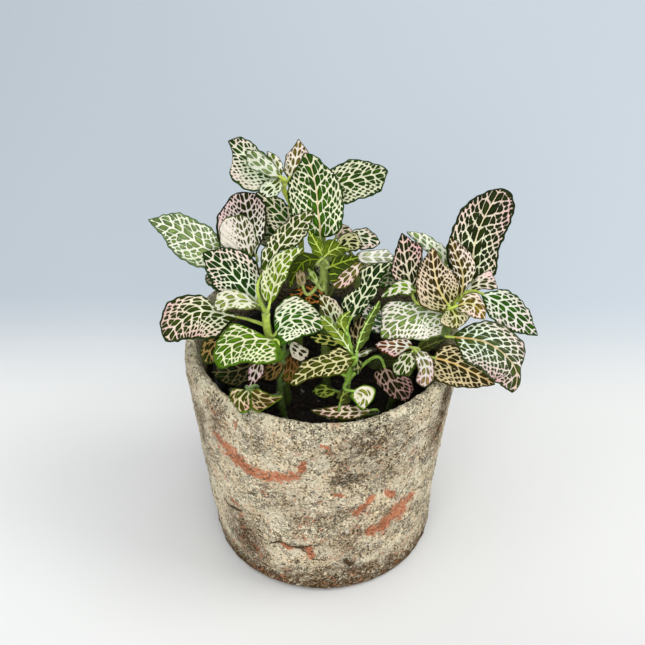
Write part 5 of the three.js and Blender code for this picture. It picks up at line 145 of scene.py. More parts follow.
        right=[-1.5,6.3,166.6,-2.3,5.4,166.2,-3.4,3.3,164.7,-6.2,2,164.1,-9.3,1.3,163.9,-12,0.3,162.9,-13.5,-1.2,160.6,-14.7,-2.3,158.7,-15.8,-2.7,157.4],
        stalk=[0.5,3.4,165.8,-0.4,7.1,166.7,-1.16,6.92,166.88]),
    'D3': dict(node='leaf_centre_turned_right', stem='D', pale=0,
        mid=[3.9,0.1,168.4,4.8,0.3,168.7,6.5,0.6,169.3,8.5,1,169.9,10.6,1.3,170.5,12.6,1.6,171,14.7,1.9,171.5,16.4,2.1,172,17.4,2.3,172.2],
        left=[3.3,0.4,168.8,3.9,0.8,169.4,4.2,2.1,171.2,6.2,2.8,172.4,8.8,2.7,172.5,11.4,2.9,172.8,14,2.8,172.9,16.6,2.5,172.8,17.3,2.4,172.5],
        right=[3.5,-0.1,167.8,3.3,-0.5,166.7,2.6,-1.8,163.4,5.2,-2.6,161.3,8,-1.5,163.8,10.9,-0.4,166.3,14,0.6,168.5,16.3,1.6,170.9,17.3,2.1,171.9],
        stalk=[0.5,3.5,166.6,2,-0.3,167.8,3.06,-0.09,168.12]),
    'D4': dict(node=None, stem='D', pale=1,
        mid=[-2.4,-4.1,160,-2.8,-3.7,160.4,-3.5,-3.1,161.3,-4.2,-2.3,162.2,-5,-1.5,163.2,-5.7,-0.7,164.1,-6.4,0.1,165.1,-7,0.7,165.9,-7.3,1.1,166.4],
        left=[-2.9,-4.3,159.6,-3.6,-4,160.2,-4.4,-3.5,160.5,-5.6,-2.8,161.2,-6.3,-2,162.3,-6.8,-1.1,163.5,-7.1,-0.4,164.7,-7.6,0.3,165.5,-7.6,1,166.2],
        right=[-1.8,-3.9,160.2,-2,-3.4,160.6,-2.3,-2.6,161.6,-2.6,-1.6,162.7,-3.2,-0.7,163.9,-4.1,0.2,164.9,-5.3,0.7,165.7,-6.3,1.2,166.4,-7,1.3,166.6],
        stalk=[0.2,2.5,158.1,-0.7,-5.8,158.3,-3.32,-3.18,160.92]),
    'D5': dict(node=None, stem='M', pale=0,
        mid=[6.3,10.8,168.8,7.1,11.2,169.4,8.5,12,170.4,10.3,12.9,171.4,12.3,13.6,172.1,14.5,13.8,172.1,16.7,13.6,171.6,18.5,13.4,171,19.5,13.3,170.6],
        left=[5.9,11.3,169.1,6.1,12.1,169.9,6.5,14.7,172,8.4,17.3,174,11.5,18.9,175.2,15.1,19,175.2,17.8,16.9,173.6,19,14.6,171.7,19.6,13.6,170.8],
        right=[6.5,10.3,168.4,7.3,10.5,168.8,9.1,10.1,168.7,11.2,10.1,168.9,13.3,10.4,169.2,15.4,10.7,169.4,17.3,11.5,169.7,18.8,12.6,170.3,19.6,13,170.4],
        stalk=[16,15,161,3.7,9.5,166.9,7.49,11.39,169.69]),
    'D6': dict(node=None, stem='M', pale=0,
        mid=[13.3,21.3,170.7,14.3,21,170.8,16.3,20.5,170.9,18.5,20.1,170.9,20.8,19.6,170.7,23,19.2,170.3,25.1,18.8,169.7,27,18.5,169,28,18.4,168.6],
        left=[13,21.8,171.1,13.5,22.4,171.7,15.2,24,173,18.3,24.4,173.5,21.4,24.4,173.6,24.2,23.2,172.7,26.4,21.4,171.2,27.6,19.5,169.6,28.1,18.6,168.8],
        right=[12.9,20.8,170.3,13.5,20,170,14.4,17.9,168.6,16.4,16,167.3,19.2,15.2,166.8,22.2,15.2,166.8,25,15.9,167.1,27,17.4,168,28,18.1,168.4],
        stalk=[16,15,161,10,22.3,170.4,14.83,20.84,170.85]),
    'D7': dict(node=None, stem='M', pale=0,
        mid=[6.4,21.9,169.1,6.8,22.3,169.5,7.5,23.2,170.3,8.5,24.2,171.1,9.7,24.9,171.7,11.2,25.1,171.9,12.8,24.9,171.8,14.1,24.7,171.5,14.8,24.5,171.4],
        left=[5.8,22.2,169.3,5.9,22.8,169.7,5.4,24.5,171,6,26.3,172.5,8,27.5,173.5,10.4,27.5,173.6,12.6,26.6,172.9,13.6,25.2,172.1,14.8,24.8,171.6],
        right=[6.6,21.4,168.6,7,21.7,168.8,8.3,21.4,168.3,9.9,21.6,168.3,11.4,22.1,168.7,12.9,22.6,169.2,14.2,23.2,169.8,14.7,24,170.8,14.9,24.3,171.2],
        stalk=[16,15,161,4.4,19.9,167.1,7.32,22.82,170.02]),
    'D8': dict(node='leaf_centre_pale', stem='M', pale=1,
        mid=[16.1,11.4,165.3,17.5,11.2,165.5,19.9,10.9,165.7,22.8,10.7,165.9,25.6,10.6,165.9,28.5,10.6,165.8,31.4,10.7,165.5,33.9,10.8,165.2,35.2,11,165],
        left=[15.8,11.9,165.6,16.4,12.7,166.3,18.8,13.7,167.4,22.2,13.8,167.7,25.6,14,168,29,14.3,168,32.3,13.6,167.3,34.3,12,165.9,35.3,11.3,165.2],
        right=[15.8,10.9,164.9,16.9,10.2,164.6,19,8.7,163.7,22.2,8.1,163.6,25.3,8,163.6,28.5,8.3,163.7,31.7,8.7,163.8,34.1,10,164.4,35.3,10.7,164.8],
        stalk=[16,15,161,13.9,11.7,165,15.22,11.53,165.17]),
    'D10': dict(node='leaf_centre_pink', stem='M', pale=0,
        mid=[20.1,12,163.6,19.1,11,163.1,17.3,9.1,162.2,15.1,7,161,12.9,5.2,159.8,10.5,3.7,158.6,8.1,2.4,157.3,6,1.4,156.2,4.9,0.9,155.5],
        left=[19.7,12.5,163.9,18.5,11.7,163.5,15.7,10.9,163.2,12.6,9.8,162.5,9.9,8,161.3,7.8,5.9,159.8,5.5,4,158.1,4.4,2.1,156.4,4.5,1,155.6],
        right=[20.7,11.8,163.3,20.2,10.5,162.6,19.6,7.7,160.8,17.7,4.8,158.9,15.4,2.3,157.2,12.6,0.4,155.6,9.3,-0.7,154.6,6.2,-0.1,154.8,4.9,0.6,155.3],
        stalk=[16,15,161,21.6,13.5,164.4,20.7,12.6,163.9]),
    'D11': dict(node='leaf_centre_shaded', stem='D', pale=0,
        mid=[0.5,-5.6,152,-0.6,-5.4,152.7,-2.7,-5,153.8,-5.3,-4.4,154.8,-8,-4.1,155.2,-10.8,-4.2,154.9,-13.5,-4.3,154.2,-15.8,-4.4,153.3,-17.1,-4.3,152.8],
        left=[1,-5.3,152.1,1,-4.3,153.2,0.6,-1.8,155.3,-2.7,-0.3,156.9,-6.6,0.2,157.4,-10.4,-0.5,156.9,-14,-1.6,155.7,-16.5,-3.1,154,-17.2,-4.1,152.9],
        right=[0.6,-6.2,151.5,-0.4,-6.8,151.6,-2.5,-8.5,151.1,-5.4,-8.8,151.3,-8.2,-8.5,151.7,-11.1,-8.1,151.9,-13.9,-7.1,152,-16,-5.4,152.5,-17.1,-4.6,152.6],
        stalk=[0,1.5,150,3,-6,150.4,1.25,-5.74,151.52]),
    'D12': dict(node=None, stem='D', pale=0,
        mid=[-9.7,-4.8,159.4,-9.9,-4.5,159.8,-10.3,-3.8,160.7,-10.7,-3,161.7,-11.1,-2.2,162.7,-11.3,-1.3,163.7,-11.3,-0.5,164.8,-11.2,0.3,165.7,-11.2,0.7,166.1],
        left=[-10.3,-5,159,-10.8,-4.5,159.9,-11.9,-4.2,159.9,-13.1,-3.3,160.9,-13.5,-2.2,162.2,-13.6,-1.1,163.6,-13.1,-0.1,164.9,-12,-0.1,165.4,-11.5,0.7,166.2],
        right=[-9,-4.8,159.3,-9,-4.4,159.7,-8.4,-3.6,160.5,-8.1,-2.6,161.7,-8.2,-1.6,162.9,-8.5,-0.6,164.2,-9.3,0.2,165.3,-10.4,0.6,165.9,-10.9,0.8,166.2],
        stalk=[0.2,3,160,-8.4,-6.7,156.8,-10.29,-3.91,160.59]),
    'E1': dict(node='leaf_centre_right_dark', stem='E', pale=0,
        mid=[13.6,-14.7,148,14.7,-13.4,149.6,16.6,-10.8,152.5,19,-7.6,155.5,21.9,-4.3,158.2,24.5,-0.6,160.7,27.8,3,162.8,31.2,5.9,164.1,33.2,7.5,164.6],
        left=[12.9,-14.7,147.9,10.8,-13.4,149.2,8.7,-9.1,152.7,12.5,-5.2,156.5,17.9,-2.5,159,17.9,3.4,162.8,23.9,6.3,164.6,29.9,7.5,164.9,33,7.7,164.7],
        right=[14,-15.1,147.6,15.8,-14.4,148.6,19.4,-12.6,150.6,22.8,-9.8,153.3,26,-6.6,155.9,27.6,-2.5,158.8,29.4,1.8,161.6,31.9,5.4,163.6,33.4,7.3,164.4],
        stalk=[11.5,-21,142,12,-16.6,145.6,13.18,-15.2,147.38]),
    'E2': dict(node='leaf_centre_upright', stem='E', pale=1,
        mid=[6.3,-20.3,146.3,5.8,-19.6,147.3,4.9,-18.2,149,3.7,-16.5,150.8,2.5,-14.6,152.5,1.3,-12.7,154.1,-0.1,-10.6,155.5,-1.3,-8.7,156.7,-2,-7.6,157.3],
        left=[5.7,-20.5,146,4.9,-19.8,147.2,3.3,-18.8,148.3,1.4,-17.2,149.8,-0.2,-15.4,151.5,-1.4,-13.3,153.2,-2,-11,154.9,-1.9,-9.3,156.3,-2.3,-7.7,157.2],
        right=[6.9,-20.2,146.4,7.2,-19.3,147.4,8.9,-17.3,149.3,10.1,-14.6,151.5,8.4,-12.2,153.7,5.9,-10.2,155.5,2.9,-8.4,156.9,-0.2,-7.8,157.3,-1.7,-7.4,157.4],
        stalk=[11.5,-21,142,7.3,-21.7,144.2,6.64,-20.78,145.62]),
    'E3': dict(node=None, stem='E', pale=0,
        mid=[13,-29.1,139.2,12.2,-28.5,140.4,10.7,-27.3,142.6,8.9,-25.9,145.1,7,-24.6,147.5,4.8,-23.4,149.7,2.4,-22.3,151.7,0.2,-21.4,153.4,-1,-20.9,154.3],
        left=[12.5,-29.3,138.8,11.5,-28.9,139.9,9.2,-27.7,141.4,6.5,-26.6,143.2,4,-25.4,145.3,1.8,-24.1,147.6,-0.3,-22.8,150.1,-1.1,-21.6,152.7,-1.3,-20.9,154.1],
        right=[13.5,-28.9,139.6,12.9,-28.1,140.9,11.6,-26.8,143.2,10.5,-25.1,146.2,8,-23.9,148.5,5.5,-22.7,150.7,3.5,-21.2,153.2,0.7,-20.8,154.3,-0.8,-20.7,154.5],
        stalk=[12.8,-25.9,136.4,13.9,-29.8,137.9,12.18,-28.49,140.43]),
    'E4': dict(node=None, stem='E', pale=0,
        mid=[10.6,-23.2,146.8,10.1,-22.8,147.4,9.3,-22.2,148.6,8.7,-21.4,150.1,8.8,-20.5,151.6,9.8,-19.8,153,11.1,-19.2,154.1,12.3,-18.7,154.9,13,-18.5,155.4],
        left=[10,-23.3,146.4,9.2,-22.9,147.6,7.8,-22.4,147.9,6.6,-21.4,149.6,6.8,-20.3,151.6,8.1,-19.4,153.3,10,-18.8,154.4,11.5,-18.6,155.2,12.7,-18.3,155.5],
        right=[11.3,-23.1,146.7,11,-22.8,147.3,11.6,-22.1,148.2,12.1,-21.3,149.4,12.4,-20.6,150.7,12.5,-19.9,152.1,12.7,-19.3,153.5,13.1,-18.8,154.6,13.3,-18.5,155.3],
        stalk=[11.5,-21,142,11.8,-24.2,145.3,9.69,-22.47,147.89]),
    'E5': dict(node='leaf_front_edge_on', stem='E', pale=0,
        mid=[16.3,-30.7,139.9,16.7,-29.9,141.6,17.6,-28.3,144.8,18.9,-26.7,148.3,20.6,-25.1,151.8,22.5,-23.5,155.1,24.5,-21.8,158.2,26.3,-20.3,160.9,27.2,-19.4,162.2],
        left=[15.7,-30.4,139.8,16.1,-29.3,141.7,16.9,-27.8,144.8,18.2,-26.1,148.3,19.9,-24.5,151.7,21.3,-22.7,155.2,23.6,-21.2,158.4,25.5,-19.8,160.7,26.9,-19.2,162.3],
        right=[16.9,-31.1,139.8,17.9,-30.9,141.5,20.2,-30.4,144.7,22.4,-29.3,148.4,23.8,-27.4,151.9,25.1,-25.3,155.3,26.7,-23.2,158.5,27.7,-21.1,161.2,27.5,-19.6,162.3],
        stalk=[12.9,-26.6,135.6,15.9,-31.5,138.1,16.11,-31.07,139.1]),
    'E6': dict(node=None, stem='E', pale=1,
        mid=[15.9,-29.1,135.5,16.4,-29,135.7,17.4,-28.6,136.1,18.5,-28.3,136.5,19.7,-27.9,136.9,20.9,-27.6,137.3,22.1,-27.4,137.6,23.1,-27.1,137.9,23.6,-27,138.1],
        left=[15.5,-28.7,135.9,16.2,-28.5,136.4,17.1,-28.2,136.8,18,-27.5,137.2,19.2,-27.1,137.7,20.5,-26.9,138,21.6,-26.9,138.3,22.7,-26.7,138.6,23.5,-26.8,138.3],
        right=[16.1,-29.5,134.9,16.7,-29.4,134.9,17.7,-29.1,135.3,19,-29,135.4,20.3,-28.7,135.8,21.4,-28.3,136.3,22.5,-27.8,137,23.5,-27.6,137.3,23.8,-27.2,137.8],
        stalk=[13.3,-28,133.9,14.7,-29.3,135,17.36,-28.81,136.08]),
    'E7': dict(node='leaf_front_cream', stem='E', pale=1,
        mid=[14.4,-34.2,139.1,12.1,-35.1,139.2,7.9,-36.6,139.2,3,-38.1,139.1,-1.7,-39.6,138.5,-6.1,-41.7,137.4,-10.3,-43.9,135.8,-13.9,-45.7,134.2,-15.8,-46.6,133.3],
        left=[14.9,-34.6,138.8,14.3,-36.9,138,11.6,-40.9,136.6,6.6,-43.4,135.9,1.2,-44.2,135.8,-4.1,-44.7,135.6,-9.1,-46.3,134.4,-13.4,-47.6,133.1,-15.7,-46.9,133.1],
        right=[14.5,-33.5,139.3,12.8,-32,140.3,8.7,-29.1,142,3.1,-31.7,141.5,-2.5,-34.2,140.5,-8.3,-36,139.4,-12.5,-39.9,137.2,-14.6,-44.3,134.7,-15.9,-46.3,133.4],
        stalk=[13.3,-27.9,134.1,14,-32,133,15.5,-33.8,139.1,15.24,-33.87,139.06]),
    'E8': dict(node=None, stem='E', pale=0,
        mid=[15.9,-30,134.3,16.1,-30.4,134,16.4,-31,133.5,16.7,-31.8,132.8,16.9,-32.6,132.1,17,-33.4,131.5,16.9,-34.2,130.8,16.9,-34.9,130.2,16.9,-35.2,129.9],
        left=[15.2,-29.9,134.4,15.4,-30.9,133.7,14.3,-30.6,133.6,13.7,-31.5,132.7,13.7,-32.5,131.8,14.3,-33.5,131,15.3,-34.3,130.4,16,-35.1,130.1,16.5,-35.3,129.8],
        right=[16.4,-29.6,134.6,16.7,-29.9,134.4,17.9,-29.9,134.2,19,-30.5,133.6,19,-31.6,132.6,18.6,-32.8,131.7,18,-33.9,130.9,17.8,-34.7,130.2,17.2,-35.2,129.9],
        stalk=[13.2,-28.5,132.7,15.4,-29,135.1,16.49,-31.19,133.41]),
    'E9': dict(node=None, stem='E', pale=0,
        mid=[16.6,-16.7,130.7,16.6,-15.8,131.5,16.7,-14.2,132.8,16.9,-12.4,134.4,17.2,-10.6,136,17.7,-8.8,137.6,18.3,-7,139.1,18.8,-5.5,140.4,19.1,-4.6,141.1],
        left=[15.9,-16.7,130.6,15.5,-15.9,131.2,13.8,-14.3,132.4,12.8,-12.1,134.1,12.8,-9.9,136,14,-7.8,137.9,15.9,-6.2,139.5,17.9,-5.1,140.6,18.8,-4.5,141.2],
        right=[17.3,-16.8,130.5,17.7,-16,131.2,19.5,-14.7,132.1,21.1,-12.8,133.6,22,-10.7,135.3,22.2,-8.6,137.2,21.5,-6.6,139.1,20.1,-5.2,140.5,19.5,-4.6,141.2],
        stalk=[13,-29,131.3,16.6,-19.3,128.4,16.6,-15.5,131.76]),
    'F2': dict(node=None, stem='G', pale=0,
        mid=[33.9,-6.4,136.3,32.7,-6.4,136.7,30.4,-6.1,137.4,27.8,-5.5,138.2,25.4,-4.6,139,23.1,-3.3,140,21,-1.8,140.9,19.2,-0.3,141.6,18.2,0.6,142],
        left=[33.9,-6.9,135.8,32.7,-7.5,135.5,30.2,-9.2,134.3,26.5,-9.8,134,23.3,-8.5,135.1,20.9,-6.3,136.9,19.3,-3.5,139.1,18.5,-0.9,141,18,0.4,141.8],
        right=[34.3,-5.9,136.6,33.5,-5.3,137.3,32.5,-3.3,139.2,30.5,-1.2,140.9,27.8,0.3,142.2,24.9,1.6,143.2,21.7,2.5,143.7,19.2,1.5,142.8,18.2,0.9,142.2],
        stalk=[52.8,-4,128,37.2,-6.4,135.2,32.38,-6.4,136.81]),
    'G1': dict(node='leaf_right_peach', stem='G', pale=0,
        mid=[60.6,-13.3,155,59.4,-12.2,156.3,57.4,-10,158.7,55.6,-7,161.5,54.5,-3.4,164.1,53.8,0.5,166.6,53.4,4.8,169,53.2,8.7,170.8,53.1,10.9,171.8],
        left=[60.4,-13.8,154.5,58.4,-15.4,153.6,52.6,-16.1,153.5,46.8,-13.3,155.6,44.8,-7.9,159.7,45.3,-2,163.8,47.6,3.8,167.6,51,8.5,170.4,52.7,10.9,171.7],
        right=[61.3,-13.4,154.9,62.8,-12.4,155.8,65.5,-9.6,158.1,66,-5.3,161.4,64.1,-1.2,164.5,60.4,1.8,166.8,56.9,5.3,168.9,55,9.4,171.1,53.4,11,171.8],
        stalk=[64,-5,152,62.6,-15.1,152.8,61.12,-13.78,154.44]),
    'G2': dict(node='leaf_right_peach_back', stem='G', pale=0,
        mid=[67,-6.5,154.5,67.4,-5,156,68,-2.2,158.6,68.1,1.3,161.5,67.2,4.9,164.3,65.6,8.4,166.8,64,12.1,169.3,62.8,15.5,171.4,62.1,17.3,172.4],
        left=[66.3,-6.6,154.4,65.7,-5.3,155.6,64.3,-2.5,157.9,63.7,1,160.8,62.9,4.6,163.5,62.2,8.3,166.3,61.5,12.1,169,61.5,15.6,171.3,61.8,17.4,172.4],
        right=[67.7,-6.4,154.5,68.4,-4.9,156,71.1,-1.7,158.6,74,2.2,161.4,74.3,6.7,164.8,72.2,11,167.9,68.5,14.4,170.4,64.6,16.7,172,62.4,17.5,172.5],
        stalk=[64,-5,152,66.7,-7.7,153.3,66.83,-7.13,153.87]),
    'G3': dict(node='leaf_right_tall_dark', stem='G', pale=0,
        mid=[73,6.3,155.6,73.1,8,158.6,73.4,11.4,163.8,74.2,15.9,169.3,76.3,20.9,174.2,79.2,26.2,178.5,82.9,32,182.1,86.3,37.4,184.8,88.4,40.5,186],
        left=[72.4,6.1,155.4,68.4,6.4,156.8,61.7,9.2,161.1,60.5,15.6,168.4,63.6,22.4,175.1,67.8,29.6,181.1,75.5,35.4,184.8,83.6,39.2,186.2,88.1,40.6,186.1],
        right=[73.6,6.1,155.2,77.3,6.1,155.7,84.5,7.7,157.5,86.1,13.5,164.2,88.8,19.5,170,92.2,25.8,175.1,94.6,33,180.3,92.3,39.2,185.1,88.7,40.6,186],
        stalk=[64,-5,152,72.9,4.6,152.6,72.97,5.86,154.82]),
    'G4': dict(node=None, stem='G', pale=1,
        mid=[68.8,-1.7,153.8,69.8,-1.4,154.4,71.8,-0.6,155.3,74.2,0.2,156.1,76.8,0.9,156.6,79.4,1,156.6,82.1,0.6,156.1,84.2,0.2,155.4,85.4,0,155],
        left=[68.8,-1.1,154.2,69.9,-0.6,154.8,72,1.7,156.5,74.7,4.3,158.3,77.9,6.5,159.6,81.7,7.2,159.9,83.8,4.3,158,84.9,1.5,156,85.5,0.3,155.1],
        right=[68.9,-2.3,153.4,69.7,-2.2,154,72.1,-2.3,154,74.6,-1.9,154.4,77,-1.2,155,79.5,-1,155,82.1,-1.2,154.7,84.3,-0.5,154.8,85.4,-0.3,154.7],
        stalk=[64,-5,152,66.8,-2.3,152.6,70.13,-1.3,154.6]),
    'G5': dict(node='leaf_right_young', stem='G', pale=1,
        mid=[64.1,-14.7,155.4,65.3,-14.7,156,67.4,-14.7,156.9,70,-14.9,157.4,72.5,-15.7,157,74.6,-16.9,155.9,76.2,-18.3,154.3,77.4,-19.3,152.6,78,-19.9,151.6],
        left=[64.1,-14.1,155.8,65.2,-13.7,156.6,67.5,-11.9,158.7,70.7,-10.1,160.4,74.6,-10.7,160,76.9,-13.4,158,78.5,-16.2,155.5,78.4,-18.6,153,78.2,-19.7,151.7],
        right=[63.9,-15.1,155,64.7,-15.7,155.1,66,-17.5,154.4,68.1,-18.7,153.9,70.3,-19.6,153.5,72.4,-20.5,152.7,74.7,-20.7,152,76.8,-20.3,151.7,77.8,-20.1,151.3],
        stalk=[64,-5,152,61,-14.7,153.8,63.3,-14.7,155]),
    'G6': dict(node=None, stem='G', pale=0,
        mid=[61.4,-13.4,153.2,61.8,-14.4,153.2,62.7,-16,153.1,63.5,-17.8,152.8,64.1,-19.5,152.1,64.3,-21,151.2,64.2,-22.2,150.1,64.1,-23,148.9,64,-23.4,148.2],
        left=[60.7,-13.3,153.1,60.2,-14.1,153.2,58.2,-15.6,152.8,56.7,-18.1,151.9,56.5,-20.7,150.7,58,-22.7,149.7,60.4,-23.5,149,62.7,-23.5,148.5,63.7,-23.5,148.1],
        right=[62,-13,153.3,62.8,-13.8,153.4,65.5,-14.5,153.6,68.5,-15.5,153.4,70.9,-17.3,152.5,69.9,-20.2,151,67.7,-22.1,149.7,65.3,-23,148.7,64.3,-23.4,148.2],
        stalk=[63.7,-4.9,151.2,60.1,-10.2,153.2,61.99,-14.89,153.2]),
    'G7': dict(node='leaf_far_right', stem='G', pale=0,
        mid=[77.4,-3.7,154.1,79.5,-4.9,153.8,83.5,-6.9,153,87.7,-9.2,151.4,91.7,-11.6,149.2,95.5,-13.6,146.5,99.2,-15.5,143.4,102.6,-16.6,140.5,104.6,-17,138.9],
        left=[77.5,-3.1,154.5,80,-3,155.1,85.2,-2.3,156.1,91.2,-2.8,155.5,95.9,-5.5,152.8,99.9,-8.6,149.4,102.4,-12.2,145.2,103.9,-15.3,141.2,104.8,-16.7,139],
        right=[76.9,-4,153.8,77.6,-6.1,152.7,78.7,-10.3,149.9,81.7,-14.1,146.9,86.1,-16.7,144.4,91.3,-18,142.4,96.8,-18.3,140.6,101.8,-17.7,139.4,104.4,-17.2,138.7],
        stalk=[64,-5,152,74.4,-2,154.5,76.62,-3.26,154.21]),
    'G8': dict(node='leaf_right_drooping', stem='G', pale=0,
        mid=[63,-20.7,141,66.2,-21.8,141.5,72.3,-23.4,142,79.1,-25.4,141.3,85.2,-28.1,138.8,90.3,-31.1,134.9,93.5,-34.6,129.5,92.9,-37.8,124.1,91.9,-39.2,121.2],
        left=[62.9,-20.2,141.5,66.1,-18.6,143.9,74,-16.5,147,83.8,-16.7,147.4,92.4,-20.4,143.7,98.2,-25.7,137.8,96.1,-32.2,131,95,-37.3,124,92.2,-39.1,121.1],
        right=[62.5,-21.1,140.7,64.1,-23.3,139.8,66,-27.9,137.1,69.3,-32.2,134,74.9,-33.9,132.5,79.3,-36.6,129,84.5,-38.1,125.8,89.2,-39,122.7,91.5,-39.3,121],
        stalk=[53,-4,129,61,-13,136,59.7,-19.6,140.5,62.16,-20.41,140.87]),
    'G9': dict(node='leaf_right_low_olive', stem='H', pale=0,
        mid=[53.7,-28.3,134.1,55.9,-28.9,134.1,59.9,-30.1,133.7,64.4,-31.6,132.8,68.8,-33.1,131.4,73.1,-34.5,129.7,77.4,-35.7,127.7,81.1,-36.5,125.7,83.1,-36.9,124.6],
        left=[53.4,-27.8,134.5,54.4,-26.1,136,58.3,-23.3,138.3,64.5,-23.5,138.1,70,-25.9,136,74.8,-28.7,133.3,79.1,-31.9,130,82,-35,126.6,83.3,-36.6,124.8],
        right=[53,-28.5,133.9,52.1,-30.4,132.7,52.4,-34.7,129.5,56.6,-38.1,126.8,62.5,-39.5,125.5,68.6,-39.8,124.8,74.9,-39.1,124.4,80.3,-37.9,124.4,83,-37.1,124.4],
        stalk=[45,-23.5,131,50.3,-27.4,134.1,52.83,-28.06,134.1]),
    'G10': dict(node='leaf_right_pale', stem='G', pale=1,
        mid=[59.4,-9.6,145.7,57,-9.6,146.6,52.4,-9.8,147.7,47.1,-10.5,148.2,42.2,-12.5,147.2,37.4,-14.4,145.7,33.1,-16.5,143.4,29.9,-18.5,140.9,28.1,-19.5,139.4],
        left=[59.3,-8.9,146.1,56.7,-8.2,147.3,50.7,-7.4,149,43.8,-5.6,150.7,36.6,-4.8,151.1,29.7,-6,149.8,28.2,-11.9,145.6,27.7,-16.9,141.6,27.9,-19.3,139.5],
        right=[60,-9.9,145.4,60.9,-12.1,144.4,62.4,-17.2,141.4,56.4,-19.6,140.7,50,-21.7,139.8,43.4,-21.5,139.9,36.8,-21.2,139.6,31.1,-20.6,139.2,28.3,-19.7,139.2],
        stalk=[60.4,-4,143.8,61.6,-9.6,144.9,60.24,-9.6,145.38]),
    'G11': dict(node='leaf_right_back_dark', stem='G', pale=0,
        mid=[43.3,-3.1,155.5,42.9,-1.7,157,42.1,0.9,159.5,41.2,4,162.4,40.5,7.4,165.2,39.8,10.8,167.9,39.3,14.5,170.5,38.9,17.8,172.7,38.7,19.6,173.8],
        left=[42.7,-3.3,155.3,41.2,-2.2,156.4,37.3,-0.4,157.9,33.4,2.3,160,33.1,6.2,163.3,34.5,10.2,166.6,35.9,14.2,169.9,37.4,17.8,172.5,38.3,19.6,173.8],
        right=[44,-3,155.5,44.4,-1.5,157,46,1.8,159.8,47,5.8,163.1,48.6,9.9,166.2,48.6,14.1,169.4,44.6,16.6,171.5,40.7,18.5,173,39,19.7,173.9],
        stalk=[62.1,-4.2,147.5,44,-5.4,153,43.47,-3.7,154.85]),
    'G12': dict(node=None, stem='G', pale=1,
        mid=[60.5,12.8,158.6,59.3,13.7,159.7,57.1,15.4,161.5,54.5,17.4,163.5,51.7,19.4,165.2,48.7,21.4,166.7,45.6,23.4,168,42.9,25.2,169,41.4,26.3,169.5],
        left=[60,12.5,158.3,58.5,13.5,159.6,56.3,15.1,161.4,53.4,16.6,162.6,50.2,18.2,164,47.3,20.3,165.6,44.8,22.7,167.3,42.5,24.6,168.6,41.2,26.1,169.3],
        right=[61.2,13,158.7,61.6,14.4,159.9,62.4,17.5,162.5,59.8,20.4,165.1,56.1,22.6,167.1,52.1,24.6,168.7,47.7,26.1,169.7,43.6,26.4,169.7,41.6,26.5,169.7],
        stalk=[64,-5,152,62.8,11.1,156.5,59.47,13.57,159.55]),
    'G13': dict(node=None, stem='G', pale=1,
        mid=[45.2,-4.3,156.5,43.9,-4.3,157.1,41.6,-4.1,158.1,38.9,-4,158.7,36.1,-4.3,158.8,33.5,-5.1,158.1,31.1,-6,156.9,29.2,-6.6,155.6,28.1,-6.9,154.8],
        left=[45.6,-3.8,156.8,44.8,-3.2,157.7,43.2,-1.3,159.5,40.1,0,160.8,36.7,-1,160.5,33.7,-2.7,159.3,31,-4.4,157.7,29,-5.9,156.2,28.1,-6.6,155],
        right=[45.3,-4.9,156.1,44.2,-5.3,156.3,42.1,-6.7,156,39.4,-7.1,156.3,36.8,-7.2,156.5,34.2,-7.7,156,31.6,-7.8,155.4,29.4,-7.4,155,28.2,-7.2,154.6],
        stalk=[62.8,-4.5,149.1,48.4,-4.3,155,43.75,-4.3,157.17]),
    'H1': dict(node='leaf_front_right_pink', stem='H', pale=0,
        mid=[42.5,-25.8,138.6,41.3,-25.8,138.9,39,-25.9,139.3,36.4,-25.8,139.6,33.8,-25.7,139.8,31.2,-25.5,139.8,28.6,-25.2,139.7,26.3,-24.7,139.6,25.1,-24.5,139.4],
        left=[43.1,-25.4,138.8,43.1,-24.5,139.5,42.1,-22.6,140.9,38.8,-22.3,141.4,35.5,-22.5,141.4,32.2,-22.7,141.2,28.9,-22.9,140.9,26.2,-23.6,140.2,25.1,-24.2,139.6],
        right=[42.5,-26.3,138.2,41.2,-26.6,138.3,38.9,-28.1,137.6,36.4,-29.8,136.5,33.4,-30,136.4,30.5,-29,137.1,27.8,-27.5,137.9,25.8,-25.7,138.8,25,-24.7,139.2],
        stalk=[44.9,-23.4,130.5,45.9,-25.8,137.8,43.37,-25.8,138.38]),
    'H2': dict(node='leaf_front_right_green', stem='H', pale=0,
        mid=[43.4,-28,138.3,42.7,-29.1,138.2,41.4,-30.9,137.8,40,-32.9,137.2,38.8,-34.6,136.3,37.6,-36.1,135.2,36.5,-37.3,133.7,35.5,-38.2,132.3,35.1,-38.6,131.5],
        left=[43,-27.4,138.5,42.1,-28.2,138.6,39.6,-28.9,138.8,37,-30.4,138.3,35.1,-32.4,137.2,33.7,-34.4,135.7,33.1,-36.5,133.9,34.2,-38,132.3,34.7,-38.6,131.5],
        right=[44.1,-28.1,138.1,43.9,-29.3,137.8,44.6,-31.8,136.9,44.6,-34.5,135.6,43.5,-36.9,134.2,41.3,-38.4,133.2,38.7,-39,132.4,36.3,-38.9,131.8,35.3,-38.8,131.3],
        stalk=[43.6,-23.2,126.5,44.3,-26.7,138.4,43.88,-27.24,138.37]),
    'H3': dict(node='leaf_front_right_white', stem='H', pale=1,
        mid=[44.8,-29.5,139.5,45.6,-30.8,139.3,47.1,-33.1,138.7,48.4,-35.6,137.7,49.2,-38.1,136.4,49.3,-40.5,134.7,49,-42.5,132.8,48.6,-44.1,130.9,48.3,-44.8,129.9],
        left=[44.1,-29.6,139.4,44.1,-30.9,139.1,43.8,-33.6,138,45,-36.4,136.8,45.4,-39.1,135.3,44.6,-41.4,133.5,45,-43.6,131.6,47,-44.7,130.3,48,-44.9,129.8],
